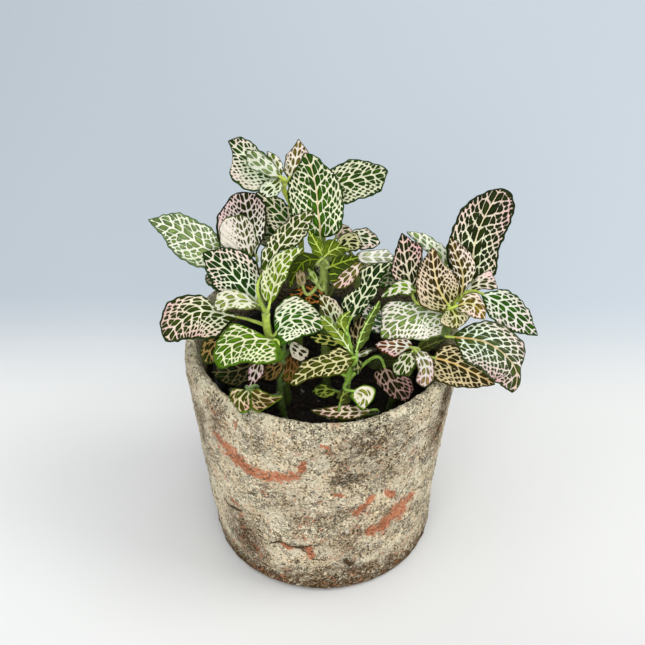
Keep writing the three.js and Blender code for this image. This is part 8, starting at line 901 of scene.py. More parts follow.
def floor_material():
    m = NT("floor")
    pos = m.pos()
    n = m.noise(6, 3, 0.5, pos).outputs["Fac"]
    sp = m.n("ShaderNodeSeparateXYZ"); m.l(pos, sp.inputs[0])
    far = m.range(sp.outputs[1], 0.080, 0.200)
    # painted shade: the blue-grey backdrop darkens to the left and towards its near edge
    side = m.math("MULTIPLY", m.range(sp.outputs[0], -0.38, 0.15, 0.86, 1.0), m.range(sp.outputs[1], 0.15, 0.95, 0.84, 1.0))
    # painted shade: the pale floor darkens to the right and towards the camera
    across = m.range(sp.outputs[0], -0.14, 0.10, 1.0, 0.90)
    front = m.math("MULTIPLY", m.range(sp.outputs[1], -0.22, -0.02, 0.79, 1.0), across)
    near = m.mix(n, lin("#e4e6e6"), lin("#e9eaea"))
    near = m.mix(1.0, near, m.mix(front, (0, 0, 0), (1, 1, 1)), "MULTIPLY")
    back = m.mix(1.0, (0.635, 0.71, 0.785), m.mix(side, (0, 0, 0), (1, 1, 1)), "MULTIPLY")
    m.l(m.mix(far, near, back), m.bsdf.inputs["Base Color"])
    m.bsdf.inputs["Roughness"].default_value = 0.7
    m.bsdf.inputs["Specular IOR Level"].default_value = 0.15
    return m.mat


LEAF = leaf_material()
STEM = stem_material()
HAIR = hair_material()
CLAY = clay_material()
PLASTIC = plastic_material()
SOIL = soil_material()
CRUMB = crumb_material()

# ------------------------------------------------------------------ leaf styles
# cell / cell2: blister colour at the base and at the tip; vein / vein2: net colour near the midrib and near the margin
# vw: half width of the net's lines (mm); cs: size of the cells; mg: width of the plain margin (mm); the sheen amount is
# a painted sheen, a pale reflection over the blisters; u: the side seen in front is the underside
ST = dict(cell="#4f7d2a", cell2="#33571f", vein="#ecebcf", vein2="#e6dcc0", rib="", mar="#3d6a26", vw=0.36, cs=1.0, mg=0.55, wax=0.0, u=0, fade=0.0)
def S(**k):
    d = dict(ST); d.update(k); return d
STYLES = {
    "A1": S(cell="#385611", cell2="#28410b", vein="#d3dec1", vein2="#d9b9bd", vw=0.36, cs=0.92, mg=0.7, mar="#35541b"),
    "A2": S(cell="#818f66", cell2="#647850", vein="#d0d3c1", vein2="#d3d4c7", vw=0.72, cs=1, mg=0.4, mar="#98ab7b", wax=0.25),
    "A3": S(mar="#47792c", cell2="#43712b", cell="#8d8e50", vein="#e0dfd2", vein2="#e2dcd2", vw=0.45, cs=0.8, mg=0.25),
    "A4": S(cell2="#192d0b", cell="#515e25", vein="#cfd8be", vein2="#d0d8c2", vw=0.42, cs=0.85, mg=0.3, mar="#697d3c"),
    "A5": S(cell="#7e6b3f", cell2="#685a39", vein="#dddac7", vein2="#e3bfc7", vw=0.38, cs=0.82, mg=0.45, mar="#697d37"),
    "A6": S(cell="#42650b", cell2="#1b360b", vein="#dde1c1", vein2="#d8d5bd", rib="#d9bf92", vw=0.34, cs=1.14, mg=0.6, mar="#315a14"),
    "A7": S(cell="#38520b", cell2="#29420b", vein="#cfd0b3", vein2="#c7cab0", vw=0.33, cs=1, mg=0.7, mar="#314f16"),
    "B1": S(cell="#3a3d15", cell2="#2c2b0f", vein="#efede3", vein2="#efbdc7", vw=0.36, cs=0.95, mg=0.95, mar="#2b3419"),
    "B2": S(cell="#535421", cell2="#656330", vein="#d9d2c7", vein2="#d8d0c6", vw=0.38, cs=0.8, mg=0.35, mar="#869857", wax=0.05),
    "B3": S(cell="#9aa98d", cell2="#788d78", vein="#e7e8d8", vein2="#e2e8d4", vw=0.38, cs=1.1, mg=0.75, mar="#617d55", wax=0.12),
    "B4": S(cell="#3a5a1c", cell2="#33491a", vein="#f2ecd0", vein2="#f3d3c0", vw=0.33, cs=1.0, mg=0.5, mar="#335017"),
    "C1": S(cell="#24410b", cell2="#1a320b", vein="#dae5c8", vein2="#dcb4b7", vw=0.34, cs=1.08, mg=0.8, mar="#27400e"),
    "C2": S(cell="#475718", cell2="#3d4a15", vein="#d9d8bb", vein2="#d3cbb2", vw=0.31, cs=0.98, mg=0.45, mar="#41581e"),
    "C3": S(cell="#869938", cell2="#69803a", vein="#ced2a9", vein2="#d2d2b3", vw=0.4, cs=0.92, mg=0.35, mar="#6e8b3a"),
    "C4": S(cell="#b5b98b", cell2="#a3aa7d", vein="#dddfcc", vein2="#dfdbc9", vw=0.80, cs=1.0, mg=0.4, mar="#aeba8b"),
    "C5": S(cell="#3f4c0b", cell2="#2a330b", vein="#dde1c3", vein2="#dc9eaa", vw=0.34, cs=1, mg=0.95, mar="#2a3911"),
    "C6": S(cell="#6a8912", cell2="#53780f", vein="#d5d9b2", vein2="#d2d7ad", vw=0.38, cs=1.12, mg=1.0, mar="#5e8320"),
    "C7": S(cell="#456f0d", cell2="#3a5f0d", vein="#dae3c5", vein2="#decec3", vw=0.4, cs=1.0, mg=0.7, mar="#47711c"),
    "D1a": S(cell2="#1e400b", cell="#647e11", vein="#bacd5f", vein2="#b5c65a", vw=0.3, cs=0.8, mg=0.3, mar="#87992d", u=1),
    "D1b": S(cell2="#1b360b", cell="#55690e", vein="#aebd5f", vein2="#aab758", vw=0.3, cs=0.8, mg=0.3, mar="#7d8e2c", u=1),
    "D2": S(cell="#313f0b", cell2="#2b360b", vein="#728813", vein2="#617812", vw=0.25, cs=0.9, mg=0.3, mar="#4d5c13", u=1),
    "D3": S(cell="#33440b", cell2="#2b3a0b", vein="#94aa32", vein2="#81982a", vw=0.28, cs=0.9, mg=0.35, mar="#5b6c20", u=1),
    "D4": S(mar="#335a1d", cell2="#8da05a", cell="#95a862", vein="#a5b273", vein2="#9fae6c", vw=0.5, cs=0.8, mg=0.2, u=0),
    "D5": S(cell="#24290b", cell2="#1d1e0b", vein="#bec28a", vein2="#b5ad8c", vw=0.32, cs=0.8, mg=0.4, mar="#3a4411"),
    "D6": S(cell2="#27480b", cell="#35440b", vein="#d0d5bd", vein2="#cda7ab", vw=0.34, cs=0.85, mg=0.45, mar="#3d4e19"),
    "D7": S(cell2="#325a20", cell="#6a6553", vein="#e7d3c6", vein2="#dabdb6", vw=0.4, cs=0.75, mg=0.3, mar="#6a6d4b"),
    "D8": S(cell="#beb7c9", cell2="#9f9ea3", vein="#e1ddda", vein2="#ded9d4", vw=0.5, cs=0.9, mg=0.3, mar="#9da79d", wax=0.45),
    "D10": S(cell="#7f744d", cell2="#6e6342", vein="#e5d5c8", vein2="#e8b6b8", vw=0.38, cs=0.9, mg=0.45, mar="#7e8646"),
    "D11": S(cell="#131f0b", cell2="#0f1b0b", vein="#ab7033", vein2="#9b5c2a", vw=0.32, cs=0.95, mg=0.5, mar="#25380e"),
    "D12": S(mar="#264315", cell2="#7c7050", cell="#8a7a5c", vein="#96866a", vein2="#8f8060", vw=0.5, cs=0.8, mg=0.2, u=0),
    "E1": S(cell="#203a0b", cell2="#1c340b", vein="#d4d9b7", vein2="#c9c8a8", vw=0.28, cs=1, mg=0.4, mar="#26410d"),
    "E2": S(cell="#514915", cell2="#5f4918", vein="#c3cfab", vein2="#c9a9a1", vw=0.34, cs=0.85, mg=0.3, mar="#6a7330"),
    "E3": S(cell="#6f8626", cell2="#6a8025", vein="#d1dfa8", vein2="#c4d699", vw=0.3, cs=0.8, mg=0.25, mar="#94ab4c", u=1),
    "E4": S(cell2="#203b0b", cell="#6d8326", vein="#bacd70", vein2="#b1c668", vw=0.3, cs=0.8, mg=0.25, mar="#90a74b", u=1),
    "E5": S(cell="#4e5f27", cell2="#475920", vein="#bddd7e", vein2="#b5d775", vw=0.3, cs=0.85, mg=0.25, mar="#646f40", u=1),
    "E6": S(cell2="#1b320e", cell="#767566", vein="#c3c9b7", vein2="#c3bbac", vw=0.45, cs=0.8, mg=0.2, mar="#9d9d83"),
    "E7": S(cell="#4a4d0b", cell2="#4b470c", vein="#cbc692", vein2="#cabf8d", vw=0.3, cs=1, mg=0.5, mar="#686c1e"),
    "E8": S(cell2="#2b480f", cell="#313f11", vein="#8c905e", vein2="#808254", vw=0.3, cs=0.8, mg=0.3, mar="#405820"),
    "E9": S(cell="#2a210b", cell2="#231e0b", vein="#b3a67a", vein2="#9e8560", vw=0.3, cs=0.9, mg=0.4, mar="#2f3010"),
    "F2": S(cell="#3f6146", cell2="#38543e", vein="#efefeb", vein2="#efd5ca", vw=0.35, cs=0.95, mg=0.5, mar="#3b5b41", wax=0.12),
    "G1": S(cell="#473b0b", cell2="#58360b", vein="#d1c2a6", vein2="#d3bbac", rib="#d8c07c", vw=0.27, cs=0.86, mg=0.35, mar="#736421", fade=0.5),
    "G2": S(cell="#50410d", cell2="#5e3f12", vein="#e1dbc8", vein2="#e4cec8", rib="#c9b468", vw=0.27, cs=0.8, mg=0.3, mar="#6b6426", fade=0.3),
    "G3": S(cell="#252f0b", cell2="#1e280b", vein="#d5daba", vein2="#dba8b3", rib="#d8c8a2", vw=0.34, cs=1.3, mg=0.9, mar="#22300c"),
    "G4": S(cell2="#1e3e0b", cell="#524925", vein="#d8d9c5", vein2="#dfb3bb", vw=0.38, cs=0.8, mg=0.3, mar="#757848"),
    "G5": S(cell="#856d2f", cell2="#936c3c", vein="#dfddc2", vein2="#e8bec2", rib="#cfc074", vw=0.27, cs=0.8, mg=0.3, mar="#919247", fade=0.3),
    "G6": S(cell="#605d0e", cell2="#554f0d", vein="#c9c49f", vein2="#c9bd9c", rib="#c4c46c", vw=0.25, cs=0.8, mg=0.3, mar="#797d29", fade=0.4),
    "G7": S(cell="#375c1e", cell2="#3b5822", vein="#d6ddcb", vein2="#e0c5cf", vw=0.38, cs=1.0, mg=0.6, mar="#305420"),
    "G8": S(cell="#465428", cell2="#3e3e1b", vein="#d7e3d0", vein2="#d7a0ad", rib="#c9a457", vw=0.34, cs=1.05, mg=0.8, mar="#414b26", wax=0.08),
    "G9": S(cell="#3b310b", cell2="#3f2d0b", vein="#c3b68c", vein2="#c5af8c", rib="#d2ae68", vw=0.33, cs=1.02, mg=0.55, mar="#494a14"),
    "G10": S(cell="#8f9f6f", cell2="#78895d", vein="#e5e6d7", vein2="#e7d9d7", vw=0.42, cs=1, mg=0.5, mar="#8fa37b", wax=0.14),
    "G11": S(cell="#252a0b", cell2="#20250b", vein="#d3cbb1", vein2="#d995aa", vw=0.29, cs=0.98, mg=0.55, mar="#303f13"),
    "G12": S(cell="#94a37b", cell2="#88986e", vein="#eaeddf", vein2="#eae8da", vw=0.5, cs=0.9, mg=0.35, mar="#869c6d", wax=0.3),
    "G13": S(cell2="#2e5210", cell="#89a545", vein="#d4d4c1", vein2="#d6cfc1", vw=0.6, cs=0.9, mg=0.4, mar="#75973e"),
    "H1": S(cell="#724626", cell2="#723019", vein="#ccd0c1", vein2="#ca8092", vw=0.36, cs=0.85, mg=0.35, mar="#8c5637"),
    "H2": S(cell2="#28410b", cell="#485b0d", vein="#bfbfa5", vein2="#bdb9a1", vw=0.34, cs=0.9, mg=0.5, mar="#4b6a1c"),
    "H3": S(cell="#90867c", cell2="#a3717c", vein="#d0d1c6", vein2="#d7aebf", vw=0.42, cs=0.85, mg=0.35, mar="#a9a490"),
    "H4": S(cell2="#1a2f0b", cell="#2a2d0b", vein="#575c28", vein2="#525721", vw=0.25, cs=0.8, mg=0.3, mar="#454f1b", u=1),
    "F3": S(cell2="#214b0b", cell="#263a0b", vein="#c7ca6b", vein2="#beb760", vw=0.3, cs=0.8, mg=0.3, mar="#394d13"),
    "F4": S(cell2="#23360b", cell="#503917", vein="#e1dec9", vein2="#d7c8b5", vw=0.45, cs=0.75, mg=0.3, mar="#5d532c"),
    "F6": S(cell2="#466c16", cell="#643f1c", vein="#866336", vein2="#78532f", vw=0.35, cs=0.8, mg=0.3, mar="#51411e"),
    "F7": S(cell2="#16220b", cell="#3f2411", vein="#efe0d5", vein2="#efa8cd", vw=0.42, cs=0.8, mg=0.25, mar="#64462e"),
    "F8": S(cell2="#11320b", cell="#1d1b0b", vein="#806739", vein2="#73562f", vw=0.4, cs=0.8, mg=0.3, mar="#2f2b12"),
    "F9": S(cell2="#294210", cell="#1b1b0f", vein="#665f3f", vein2="#5d4935", vw=0.28, cs=1.0, mg=0.4, mar="#272b19"),
    "F10": S(cell2="#24440b", cell="#352b0b", vein="#a78c55", vein2="#98784d", vw=0.33, cs=0.9, mg=0.6, mar="#496314"),
    "F11a": S(cell2="#5f4710", cell="#505710", vein="#cec79c", vein2="#d59f99", vw=0.28, cs=1, mg=0.6, mar="#689520"),
    "F11b": S(cell2="#533611", cell="#4d3f12", vein="#b1a578", vein2="#b78576", vw=0.28, cs=1, mg=0.7, mar="#6c8c23"),
    "F13": S(cell2="#28470b", cell="#444e0b", vein="#92a243", vein2="#89983d", vw=0.3, cs=0.8, mg=0.3, mar="#526315"),
    "F14": S(cell="#b3ad72", cell2="#889d49", vein="#d9d4c3", vein2="#dbd4c3", vw=0.62, cs=0.9, mg=0.9, mar="#6f9939"),
    "F14b": S(cell2="#1a2e0b", cell="#3d4311", vein="#85933e", vein2="#7c8938", vw=0.3, cs=0.8, mg=0.3, mar="#5d6927", u=1),
    "F15": S(cell="#6b5e31", cell2="#5a5128", vein="#ecdec3", vein2="#eba6bb", vw=0.34, cs=0.8, mg=0.5, mar="#77803c"),
    "F16": S(cell="#2d2712", cell2="#26210f", vein="#b19586", vein2="#a8767d", vw=0.30, cs=1.0, mg=0.5, mar="#2e321b"),
    "F17": S(cell2="#1f2e0b", cell="#1f240b", vein="#2f3b0f", vein2="#29340d", vw=0.28, cs=0.8, mg=0.3, mar="#324118", u=1),
    "R1": S(cell="#41662a", cell2="#31521f"), "R2": S(cell="#3a5a26", vein2="#e2c0b0", cs=1.05), "R3": S(cell="#4c7a2c", vw=0.38),
    "R4": S(cell="#37502a", vein2="#dcb2a6", mg=0.8), "R5": S(cell="#355a28", vein="#e8dcc4"), "R6": S(cell="#3f6228", cs=1.1),
}
REAR = ["A7", "C1", "G7", "C2", "R3", "B3", "G11", "E1", "A5", "C7", "R2", "G5"]
for _i in range(40):
    STYLES["S%d" % (_i + 1)] = STYLES[REAR[(_i * 5) % len(REAR)]]
UU = np.array([0, .07, .2, .35, .5, .65, .8, .93, 1.0])
VIEW = np.array([0.0, -math.cos(math.radians(39.04)), math.sin(math.radians(39.04))])


ROW = 2.75                            # spacing of the cell rows along the midrib, mm
SPAN = 2                              # cell rows between two lateral veins


def net(s, w, L, cs, seed):
    """Distance (mm) to the net of veins, at arc length s along the midrib and distance w from it.
    Lateral veins arch from the midrib towards the tip; between two of them lie rows of small rounded cells."""
    rng = np.random.default_rng(seed)
    J = rng.uniform(-1, 1, (128, 64, 2))
    k = 0.055 * 30.0 / max(L, 14.0)
    a0 = 0.92
    slope = a0 + k * w
    run = a0 * w + 0.5 * k * w * w
    rs = ROW * cs
    wl = w * np.sqrt(1 + (0.5 * (a0 + slope)) ** 2)
    ph = rng.uniform(0, 6.28, 3)
    wander = 0.10 * np.sin(wl * 0.45 + ph[0] + 0.05 * s) + 0.05 * np.sin(wl * 1.3 + ph[1] + 0.3 * s)
    beta = (s - run) / rs + 60.2 + 0.37 * seed + wander + 0.16 * np.sin(s * 0.33 + ph[2])
    p = rs / np.sqrt(1 + slope * slope)
    l0, l1 = 3.5 * cs, 2.35 * cs
    wm = max(L * 0.36, 4.0)
    g = (l1 - l0) / wm
    ll = np.maximum(l0 + g * np.minimum(wl, wm), l1)
    inner = np.log(np.maximum(1 + g * np.minimum(wl, wm) / l0, 0.05)) / g
    alpha = np.where(wl < wm, inner, inner + (wl - wm) / l1)
    band = np.floor(beta / SPAN).astype(int)
    ai = np.floor(alpha).astype(int)
    cand = []
    for db in range(SPAN):
        row = band * SPAN + db
        for da in (-2, -1, 0, 1, 2):
            col = ai + da
            j = J[row % 128, (col + 8) % 64]
            # one large cell against the midrib, then two rows of smaller ones
            sx = np.where(col == 0, 0.58 + 0.16 * j[..., 0], np.maximum(col + 0.42 + 0.30 * j[..., 0] + 0.5 * (row % 2), 0.30))
            sy = np.where(col == 0, band * SPAN + 1.0, row + 0.5 + 0.19 * j[..., 1])
            dy = (sy - beta) * p
            dx = np.where((col < 0) | ((col == 0) & (db == 1)), 99.0, (sx - alpha) * ll + slope * dy * 0.45)
            cand.append((dx, dy, row * 64 + col))
    best = np.full(s.shape, 1e9); bx = np.zeros(s.shape); by = np.zeros(s.shape); bid = np.zeros(s.shape, int)
    for dx, dy, cid in cand:
        d = dx * dx + dy * dy
        m = d < best
        best = np.where(m, d, best); bx = np.where(m, dx, bx); by = np.where(m, dy, by); bid = np.where(m, cid, bid)
    acc = np.zeros(s.shape)
    for dx, dy, cid in cand:
        ex, ey = dx - bx, dy - by
        ln = np.sqrt(ex * ex + ey * ey)
        ok = (cid != bid) & (ln > 0.3)
        q = ((dx + bx) / 2 * ex + (dy + by) / 2 * ey) / np.maximum(ln, 1e-6)
        acc = acc + np.where(ok, np.exp(-4.5 * np.minimum(q, 6.0)), 0)
    lf = (beta / SPAN) % 1.0
    dl = np.minimum(lf, 1 - lf) * SPAN * p
    edge = -np.log(np.maximum(acc, 1e-9)) / 4.5
    return np.clip(edge, 0, 9), dl, bid


def leaf_arrays(key, row):
    st = STYLES[key]
    seed = sum(ord(c) * (i + 3) for i, c in enumerate(key)) % 97 + 1
    M, Lm, Rm = [np.array(row[k], float).reshape(-1, 3) for k in ("mid", "left", "right")]
    length = np.linalg.norm(np.diff(M, axis=0), axis=1).sum()
    width = max(np.linalg.norm(Lm - M, axis=1).max(), np.linalg.norm(Rm - M, axis=1).max())
    pitch = STEP * (1.3 if key[0] in "RS" else 1.0)
    nu = max(13, int(length / pitch)) | 1; nv = max(6, int(width / pitch)); nv += nv % 2
    u = np.linspace(0, 1, nu)
    m, l, r = spline(UU, M, u), spline(UU, Lm, u), spline(UU, Rm, u)
    v = np.linspace(-1, 1, 2 * nv + 1)
    # rounded section: margins start along the chord but the blade bows a little
    side = np.where((v < 0)[None, :, None], (l - m)[:, None, :], (r - m)[:, None, :])
    wd = np.linalg.norm(side, axis=2, keepdims=True) + 1e-6
    sc = 0.22 * np.sin(u * length / 1.15 + 0.8 * seed) + 0.20 * np.sin(u * length / 0.62 + seed)
    sc = sc * smooth(0.04, 0.2, u) * smooth(1.0, 0.85, u)
    P = m[:, None, :] + side * (np.abs(v)[None, :, None] + (sc[:, None, None] - 0.1) / wd * smooth(0.55, 1.0, np.abs(v))[None, :, None] * smooth(1.5, 5.0, wd))
    # normals of the smooth base surface
    du = np.gradient(P, axis=0); dv = np.gradient(P, axis=1)
    N = np.cross(du, dv); N /= np.linalg.norm(N, axis=-1, keepdims=True) + 1e-9
    ref = np.array([0, 0, 1.0]) if key[0] in "RS" else VIEW
    if (N[nu // 2, nv] @ ref) < 0:
        N = -N
    # blend the two halves' normals across the midrib
    k = np.exp(-(np.abs(v) * width / 1.6) ** 2)[None, :, None]
    Nm = N[:, nv - 1] + N[:, nv + 1]; Nm /= np.linalg.norm(Nm, axis=-1, keepdims=True) + 1e-9
    N = N * (1 - k) + Nm[:, None, :] * k; N /= np.linalg.norm(N, axis=-1, keepdims=True) + 1e-9
    # leaf coordinates
    fm = spline(UU, M, np.linspace(0, 1, 90))
    sl = np.concatenate([[0], np.cumsum(np.linalg.norm(np.diff(fm, axis=0), axis=1))])
    flat = P.reshape(-1, 3)
    d2 = ((flat[:, None, :] - fm[None]) ** 2).sum(-1)
    a = d2.argmin(1)
    s = sl[a].reshape(P.shape[:2]); w = np.sqrt(d2.min(1)).reshape(P.shape[:2])
    w[:, nv] = 0
    sgn = np.broadcast_to(np.sign(v)[None, :], w.shape)
    edL, dL, iL = net(s, w, length, st["cs"], seed)
    edR, dR, iR = net(s + 0.9, w, length, st["cs"], seed + 31)
    ed = np.where(sgn < 0, edL, edR); dl = np.where(sgn < 0, dL, dR); cid = np.where(sgn < 0, iL, iR)
    # distance to the margin and to the midrib
    half = np.where((v < 0)[None, :], np.linalg.norm(l - m, axis=1)[:, None], np.linalg.norm(r - m, axis=1)[:, None])
    em = (1 - np.abs(v))[None, :] * half
    em = np.minimum(em, np.minimum(s * 0.9 + 0.35, (length - s) * 0.6 + 0.25) + 0.0 * em)
    rel = np.clip(w / np.maximum(width, 1e-6), 0, 1); along = s / length
    rib = min(0.46, 0.035 * width + 0.14) * (1 - 0.6 * along)
    row_mm = ROW * st["cs"] * 0.72
    v0 = 0.68 * st["vw"] if st["vw"] <= 0.4 else 0.28 + (st["vw"] - 0.4) * 0.45
    vw = v0 * (0.90 + 0.22 * rel) * (1.0 - 0.08 * along)
    vw = np.minimum(vw, 0.30 * row_mm)
    wr = np.maximum(w - rib + vw, 0)
    vd = np.maximum(-np.log(np.exp(-4.2 * ed * 1.30) + np.exp(-4.2 * dl * 0.66) + np.exp(-4.2 * wr)) / 4.2, 0)
    wob = value_noise(flat, 2.2, seed).reshape(w.shape)
    marg = smooth(st["mg"] * 1.25, st["mg"] * 0.65, em + 0.18 * wob)
    # colours
    tip = np.clip(0.55 * smooth(0.25, 1.0, along) + 0.45 * smooth(0.2, 1.0, rel), 0, 1)[..., None]
    rnd = np.random.default_rng(seed + 5).uniform(0.72, 1.22, 4096)[cid % 4096][..., None]
    blotch = (1 + 0.20 * value_noise(flat, 5.0, seed + 9).reshape(w.shape))[..., None]
    cell = (lin(st["cell"]) * (1 - tip) + lin(st["cell2"]) * tip) * rnd * blotch
    vein = np.minimum((lin(st["vein"]) * (1 - tip) + lin(st["vein2"]) * tip) * 1.10, 0.93)
    ribm = (smooth(rib.min() + 0.75, 0.2, w) * (1 - 0.6 * along))[..., None]
    vein = vein * (1 - ribm) + lin(st["rib"] or st["vein"]) * ribm
    if st["fade"]:
        g = (np.exp(-(s / (0.22 * length)) ** 2) * st["fade"])[..., None]
        vein = vein * (1 - g) + lin("#a9ad58") * g
    grey = (cell @ np.array([0.2126, 0.7152, 0.0722]))[..., None]
    cell = np.clip(grey + (cell - grey) * 1.16, 0.001, 1.0)
    deep = np.array([0.63, 0.76, 0.36])
    if not st["u"]:
        cell = cell * deep
    rim_dark = (1 - 0.62 * smooth(0.75, 0.2, em + 0.1 * wob))[..., None]
    mcol = lin(st["mar"]) * blotch * np.array([0.85, 0.95, 0.7])
    cell = (cell * (1 - marg[..., None]) + mcol * marg[..., None]) * rim_dark
    vd_top = vd * (1 - marg) + 3.0 * marg
    vw_top = vw
    # painted sheen along the blade: none at the base, fading out towards the tip
    wax = st["wax"] * smooth(0.0, 0.35, along) * smooth(1.1, 0.55, along) * (0.7 + 0.5 * wob.clip(-1, 1))
    # underside: pale, plain, with raised ribs
    uc = lin(st["cell"]) * 0.35 + lin("#93a465") * 0.45
    uv_ = lin("#c3cc94")
    if st["u"]:
        uc, uv_ = None, None
    plain = np.ones_like(w)[..., None]
    u_cell = (plain * (lin("#a2b478") * 0.80 + 0.28 * lin(st["cell"]))) * blotch
    u_vein = plain * (lin("#d3dbab") * 0.85 + 0.2 * lin(st["vein"]))
    latd = np.minimum(dl, np.maximum(w - 0.08, 0))
    u_vd = latd; u_vw = (0.15 + 0.14 * (1 - rel)) * (1 - 0.4 * along)
    # relief
    env = smooth(0.0, 1.2, em) * smooth(0, 1.0, s) 
    blister = smooth(0.0, 0.9, ed) * 0.30 * env
    quilt = (np.sin(np.pi * np.clip(dl / row_mm, 0, 1) * 0.5) - 0.6) * 0.80 * env * smooth(0.3, 2.0, w)
    groove = -0.55 * np.exp(-(w / 1.1) ** 2) * smooth(1.02, 0.6, along)
    wave = 0.34 * wob * smooth(2.6, 0.0, em) + 0.45 * value_noise(flat, 7.5, seed + 2).reshape(w.shape) * smooth(0, 4, w)
    curl = -0.35 * smooth(1.6, 0.0, em)
    base = wave + curl
    th_t = 0.24; th_b = 0.20
    up = base + blister + quilt + groove + th_t * smooth(-0.1, 0.5, em)
    rib_b = 0.55 * np.exp(-(w / 0.75) ** 2) * (1 - 0.7 * along)
    dn = base + quilt * 0.8 - rib_b - 0.16 * np.exp(-(dl / 0.35) ** 2) * env - th_b * smooth(-0.1, 0.5, em)
    if st["u"]:
        # the side towards the viewer is the underside, so swap the two reliefs
        up, dn = -dn, -up
        up = np.maximum(up, dn + 0.28)
    Pt = P + N * up[..., None]; Pb = P + N * dn[..., None]
    A = dict(vein_mm=vd_top, vein_half=vw_top, cell_rgb=cell, vein_rgb=vein, wax=wax)
    B = dict(vein_mm=u_vd, vein_half=u_vw * np.ones_like(w), cell_rgb=u_cell, vein_rgb=u_vein, wax=0 * w)
    if st["u"]:
        # side in front: underside in the style's own colours
        F = dict(vein_mm=u_vd, vein_half=u_vw * np.ones_like(w), cell_rgb=(lin(st["cell"]) * (1 - tip) + lin(st["cell2"] if st["cell2"] != ST["cell2"] else st["cell"]) * tip) * blotch, vein_rgb=vein, wax=0 * w)
        Bk = dict(vein_mm=vd_top, vein_half=vw_top, cell_rgb=lin("#47692c") * rnd * blotch, vein_rgb=lin("#e8e2c8") * np.ones_like(vein), wax=0 * w)
        A, B = F, Bk
    n, c = w.shape
    idx = np.arange(n * c).reshape(n, c)
    q = np.stack([idx[:-1, :-1], idx[1:, :-1], idx[1:, 1:], idx[:-1, 1:]], -1).reshape(-1, 4)
    # orientation of the top faces
    e1 = Pt.reshape(-1, 3)[q[:, 1]] - Pt.reshape(-1, 3)[q[:, 0]]; e2 = Pt.reshape(-1, 3)[q[:, 3]] - Pt.reshape(-1, 3)[q[:, 0]]
    f = np.cross(e1, e2); mid = len(q) // 2
    turned = (f * N.reshape(-1, 3)[q[:, 0]]).sum() < 0
    if turned:
        q = q[:, ::-1]
    o = n * c
    ring = np.concatenate([idx[0, :], idx[1:, -1], idx[-1, -2::-1], idx[-2:0:-1, 0]])
    a0, b0 = ring[0], ring[1]
    has = ((q == a0) & (np.roll(q, -1, axis=1) == b0)).any()
    # the side turned away has half the rows and columns, joined to the rim by triangles
    n2, c2 = (n + 1) // 2, (c + 1) // 2
    idb = np.arange(n2 * c2).reshape(n2, c2) + o
    qb = np.stack([idb[:-1, :-1], idb[1:, :-1], idb[1:, 1:], idb[:-1, 1:]], -1).reshape(-1, 4)
    if not turned:
        qb = qb[:, ::-1]
    rb = np.concatenate([idb[0, :], idb[1:, -1], idb[-1, -2::-1], idb[-2:0:-1, 0]])
    t0, t1, t2 = ring[::2], ring[1::2], np.roll(ring, -2)[::2]
    b0_, b1_ = rb, np.roll(rb, -1)
    sidef = np.concatenate([np.stack([t0, t1, b0_], -1), np.stack([t1, b1_, b0_], -1), np.stack([t1, t2, b1_], -1)])
    if has:
        sidef = sidef[:, ::-1]
    faces = np.concatenate([q[:, [0, 1, 2]], q[:, [0, 2, 3]], qb[:, [0, 1, 2]], qb[:, [0, 2, 3]], sidef])
    verts = np.concatenate([Pt.reshape(-1, 3), Pb[::2, ::2].reshape(-1, 3)])
    at = {}
    for k2 in A:
        x, y = np.asarray(A[k2]), np.asarray(B[k2])
        at[k2] = np.concatenate([x.reshape(o, -1), y[::2, ::2].reshape(n2 * c2, -1)]).squeeze()
    return verts, faces, at


def tube_arrays(line, r0, r1, sides, step=0.6, bumps=0.0, seed=0, knots=()):
    line = np.array(line, float).reshape(-1, 3)
    d = np.concatenate([[0], np.cumsum(np.linalg.norm(np.diff(line, axis=0), axis=1))])
    keep = np.concatenate([[True], np.diff(d) > 1e-6]); line = line[keep]; d = d[keep]
    n = max(6, int(d[-1] / step))
    q = np.linspace(0, d[-1], n)
    c = spline(d, line, q) if len(line) > 2 else line[0] + (line[-1] - line[0]) * (q / d[-1])[:, None]
    t = np.gradient(c, axis=0); t /= np.linalg.norm(t, axis=1, keepdims=True)
    nv = np.zeros_like(c); x = np.array([1.0, 0, 0]) if abs(t[0, 0]) < 0.9 else np.array([0, 1.0, 0])
    for i in range(n):
        x = x - t[i] * (x @ t[i]); x /= np.linalg.norm(x); nv[i] = x
    b = np.cross(t, nv)
    r = np.linspace(r0, r1, n)
    for z, amp in knots:
        r = r + amp * np.exp(-((q - z) / 1.6) ** 2)
    a = np.arange(sides) * 2 * np.pi / sides
    rr = r[:, None] * (1 + bumps * np.random.default_rng(seed).uniform(-1, 1, (n, sides)))
    V = c[:, None] + rr[..., None] * (nv[:, None] * np.cos(a)[None, :, None] + b[:, None] * np.sin(a)[None, :, None])
    idx = np.arange(n * sides).reshape(n, sides); nx = np.roll(idx, -1, axis=1)
    f = np.stack([idx[:-1], nx[:-1], nx[1:], idx[1:]], -1).reshape(-1, 4)
    V = V.reshape(-1, 3)
    # caps: a centre vertex at each end, as degenerate-free quads of two triangles
    c0, c1 = len(V), len(V) + 1
    V = np.concatenate([V, c[:1] - t[:1] * r0 * 0.3, c[-1:] + t[-1:] * r1 * 0.3])
    tri = [[idx[0, (k + 1) % sides], idx[0, k], c0] for k in range(sides)] + [[idx[-1, k], idx[-1, (k + 1) % sides], c1] for k in range(sides)]
    F = np.concatenate([np.stack([f[:, 0], f[:, 1], f[:, 2]], -1), np.stack([f[:, 0], f[:, 2], f[:, 3]], -1), np.array(tri)])
    return V, F, c, nv, b, r


def join(parts):
    V, F, o = [], [], 0
    for v, f in parts:
        V.append(v); F.append(np.asarray(f) + o); o += len(v)
    return np.concatenate(V), np.concatenate(F)


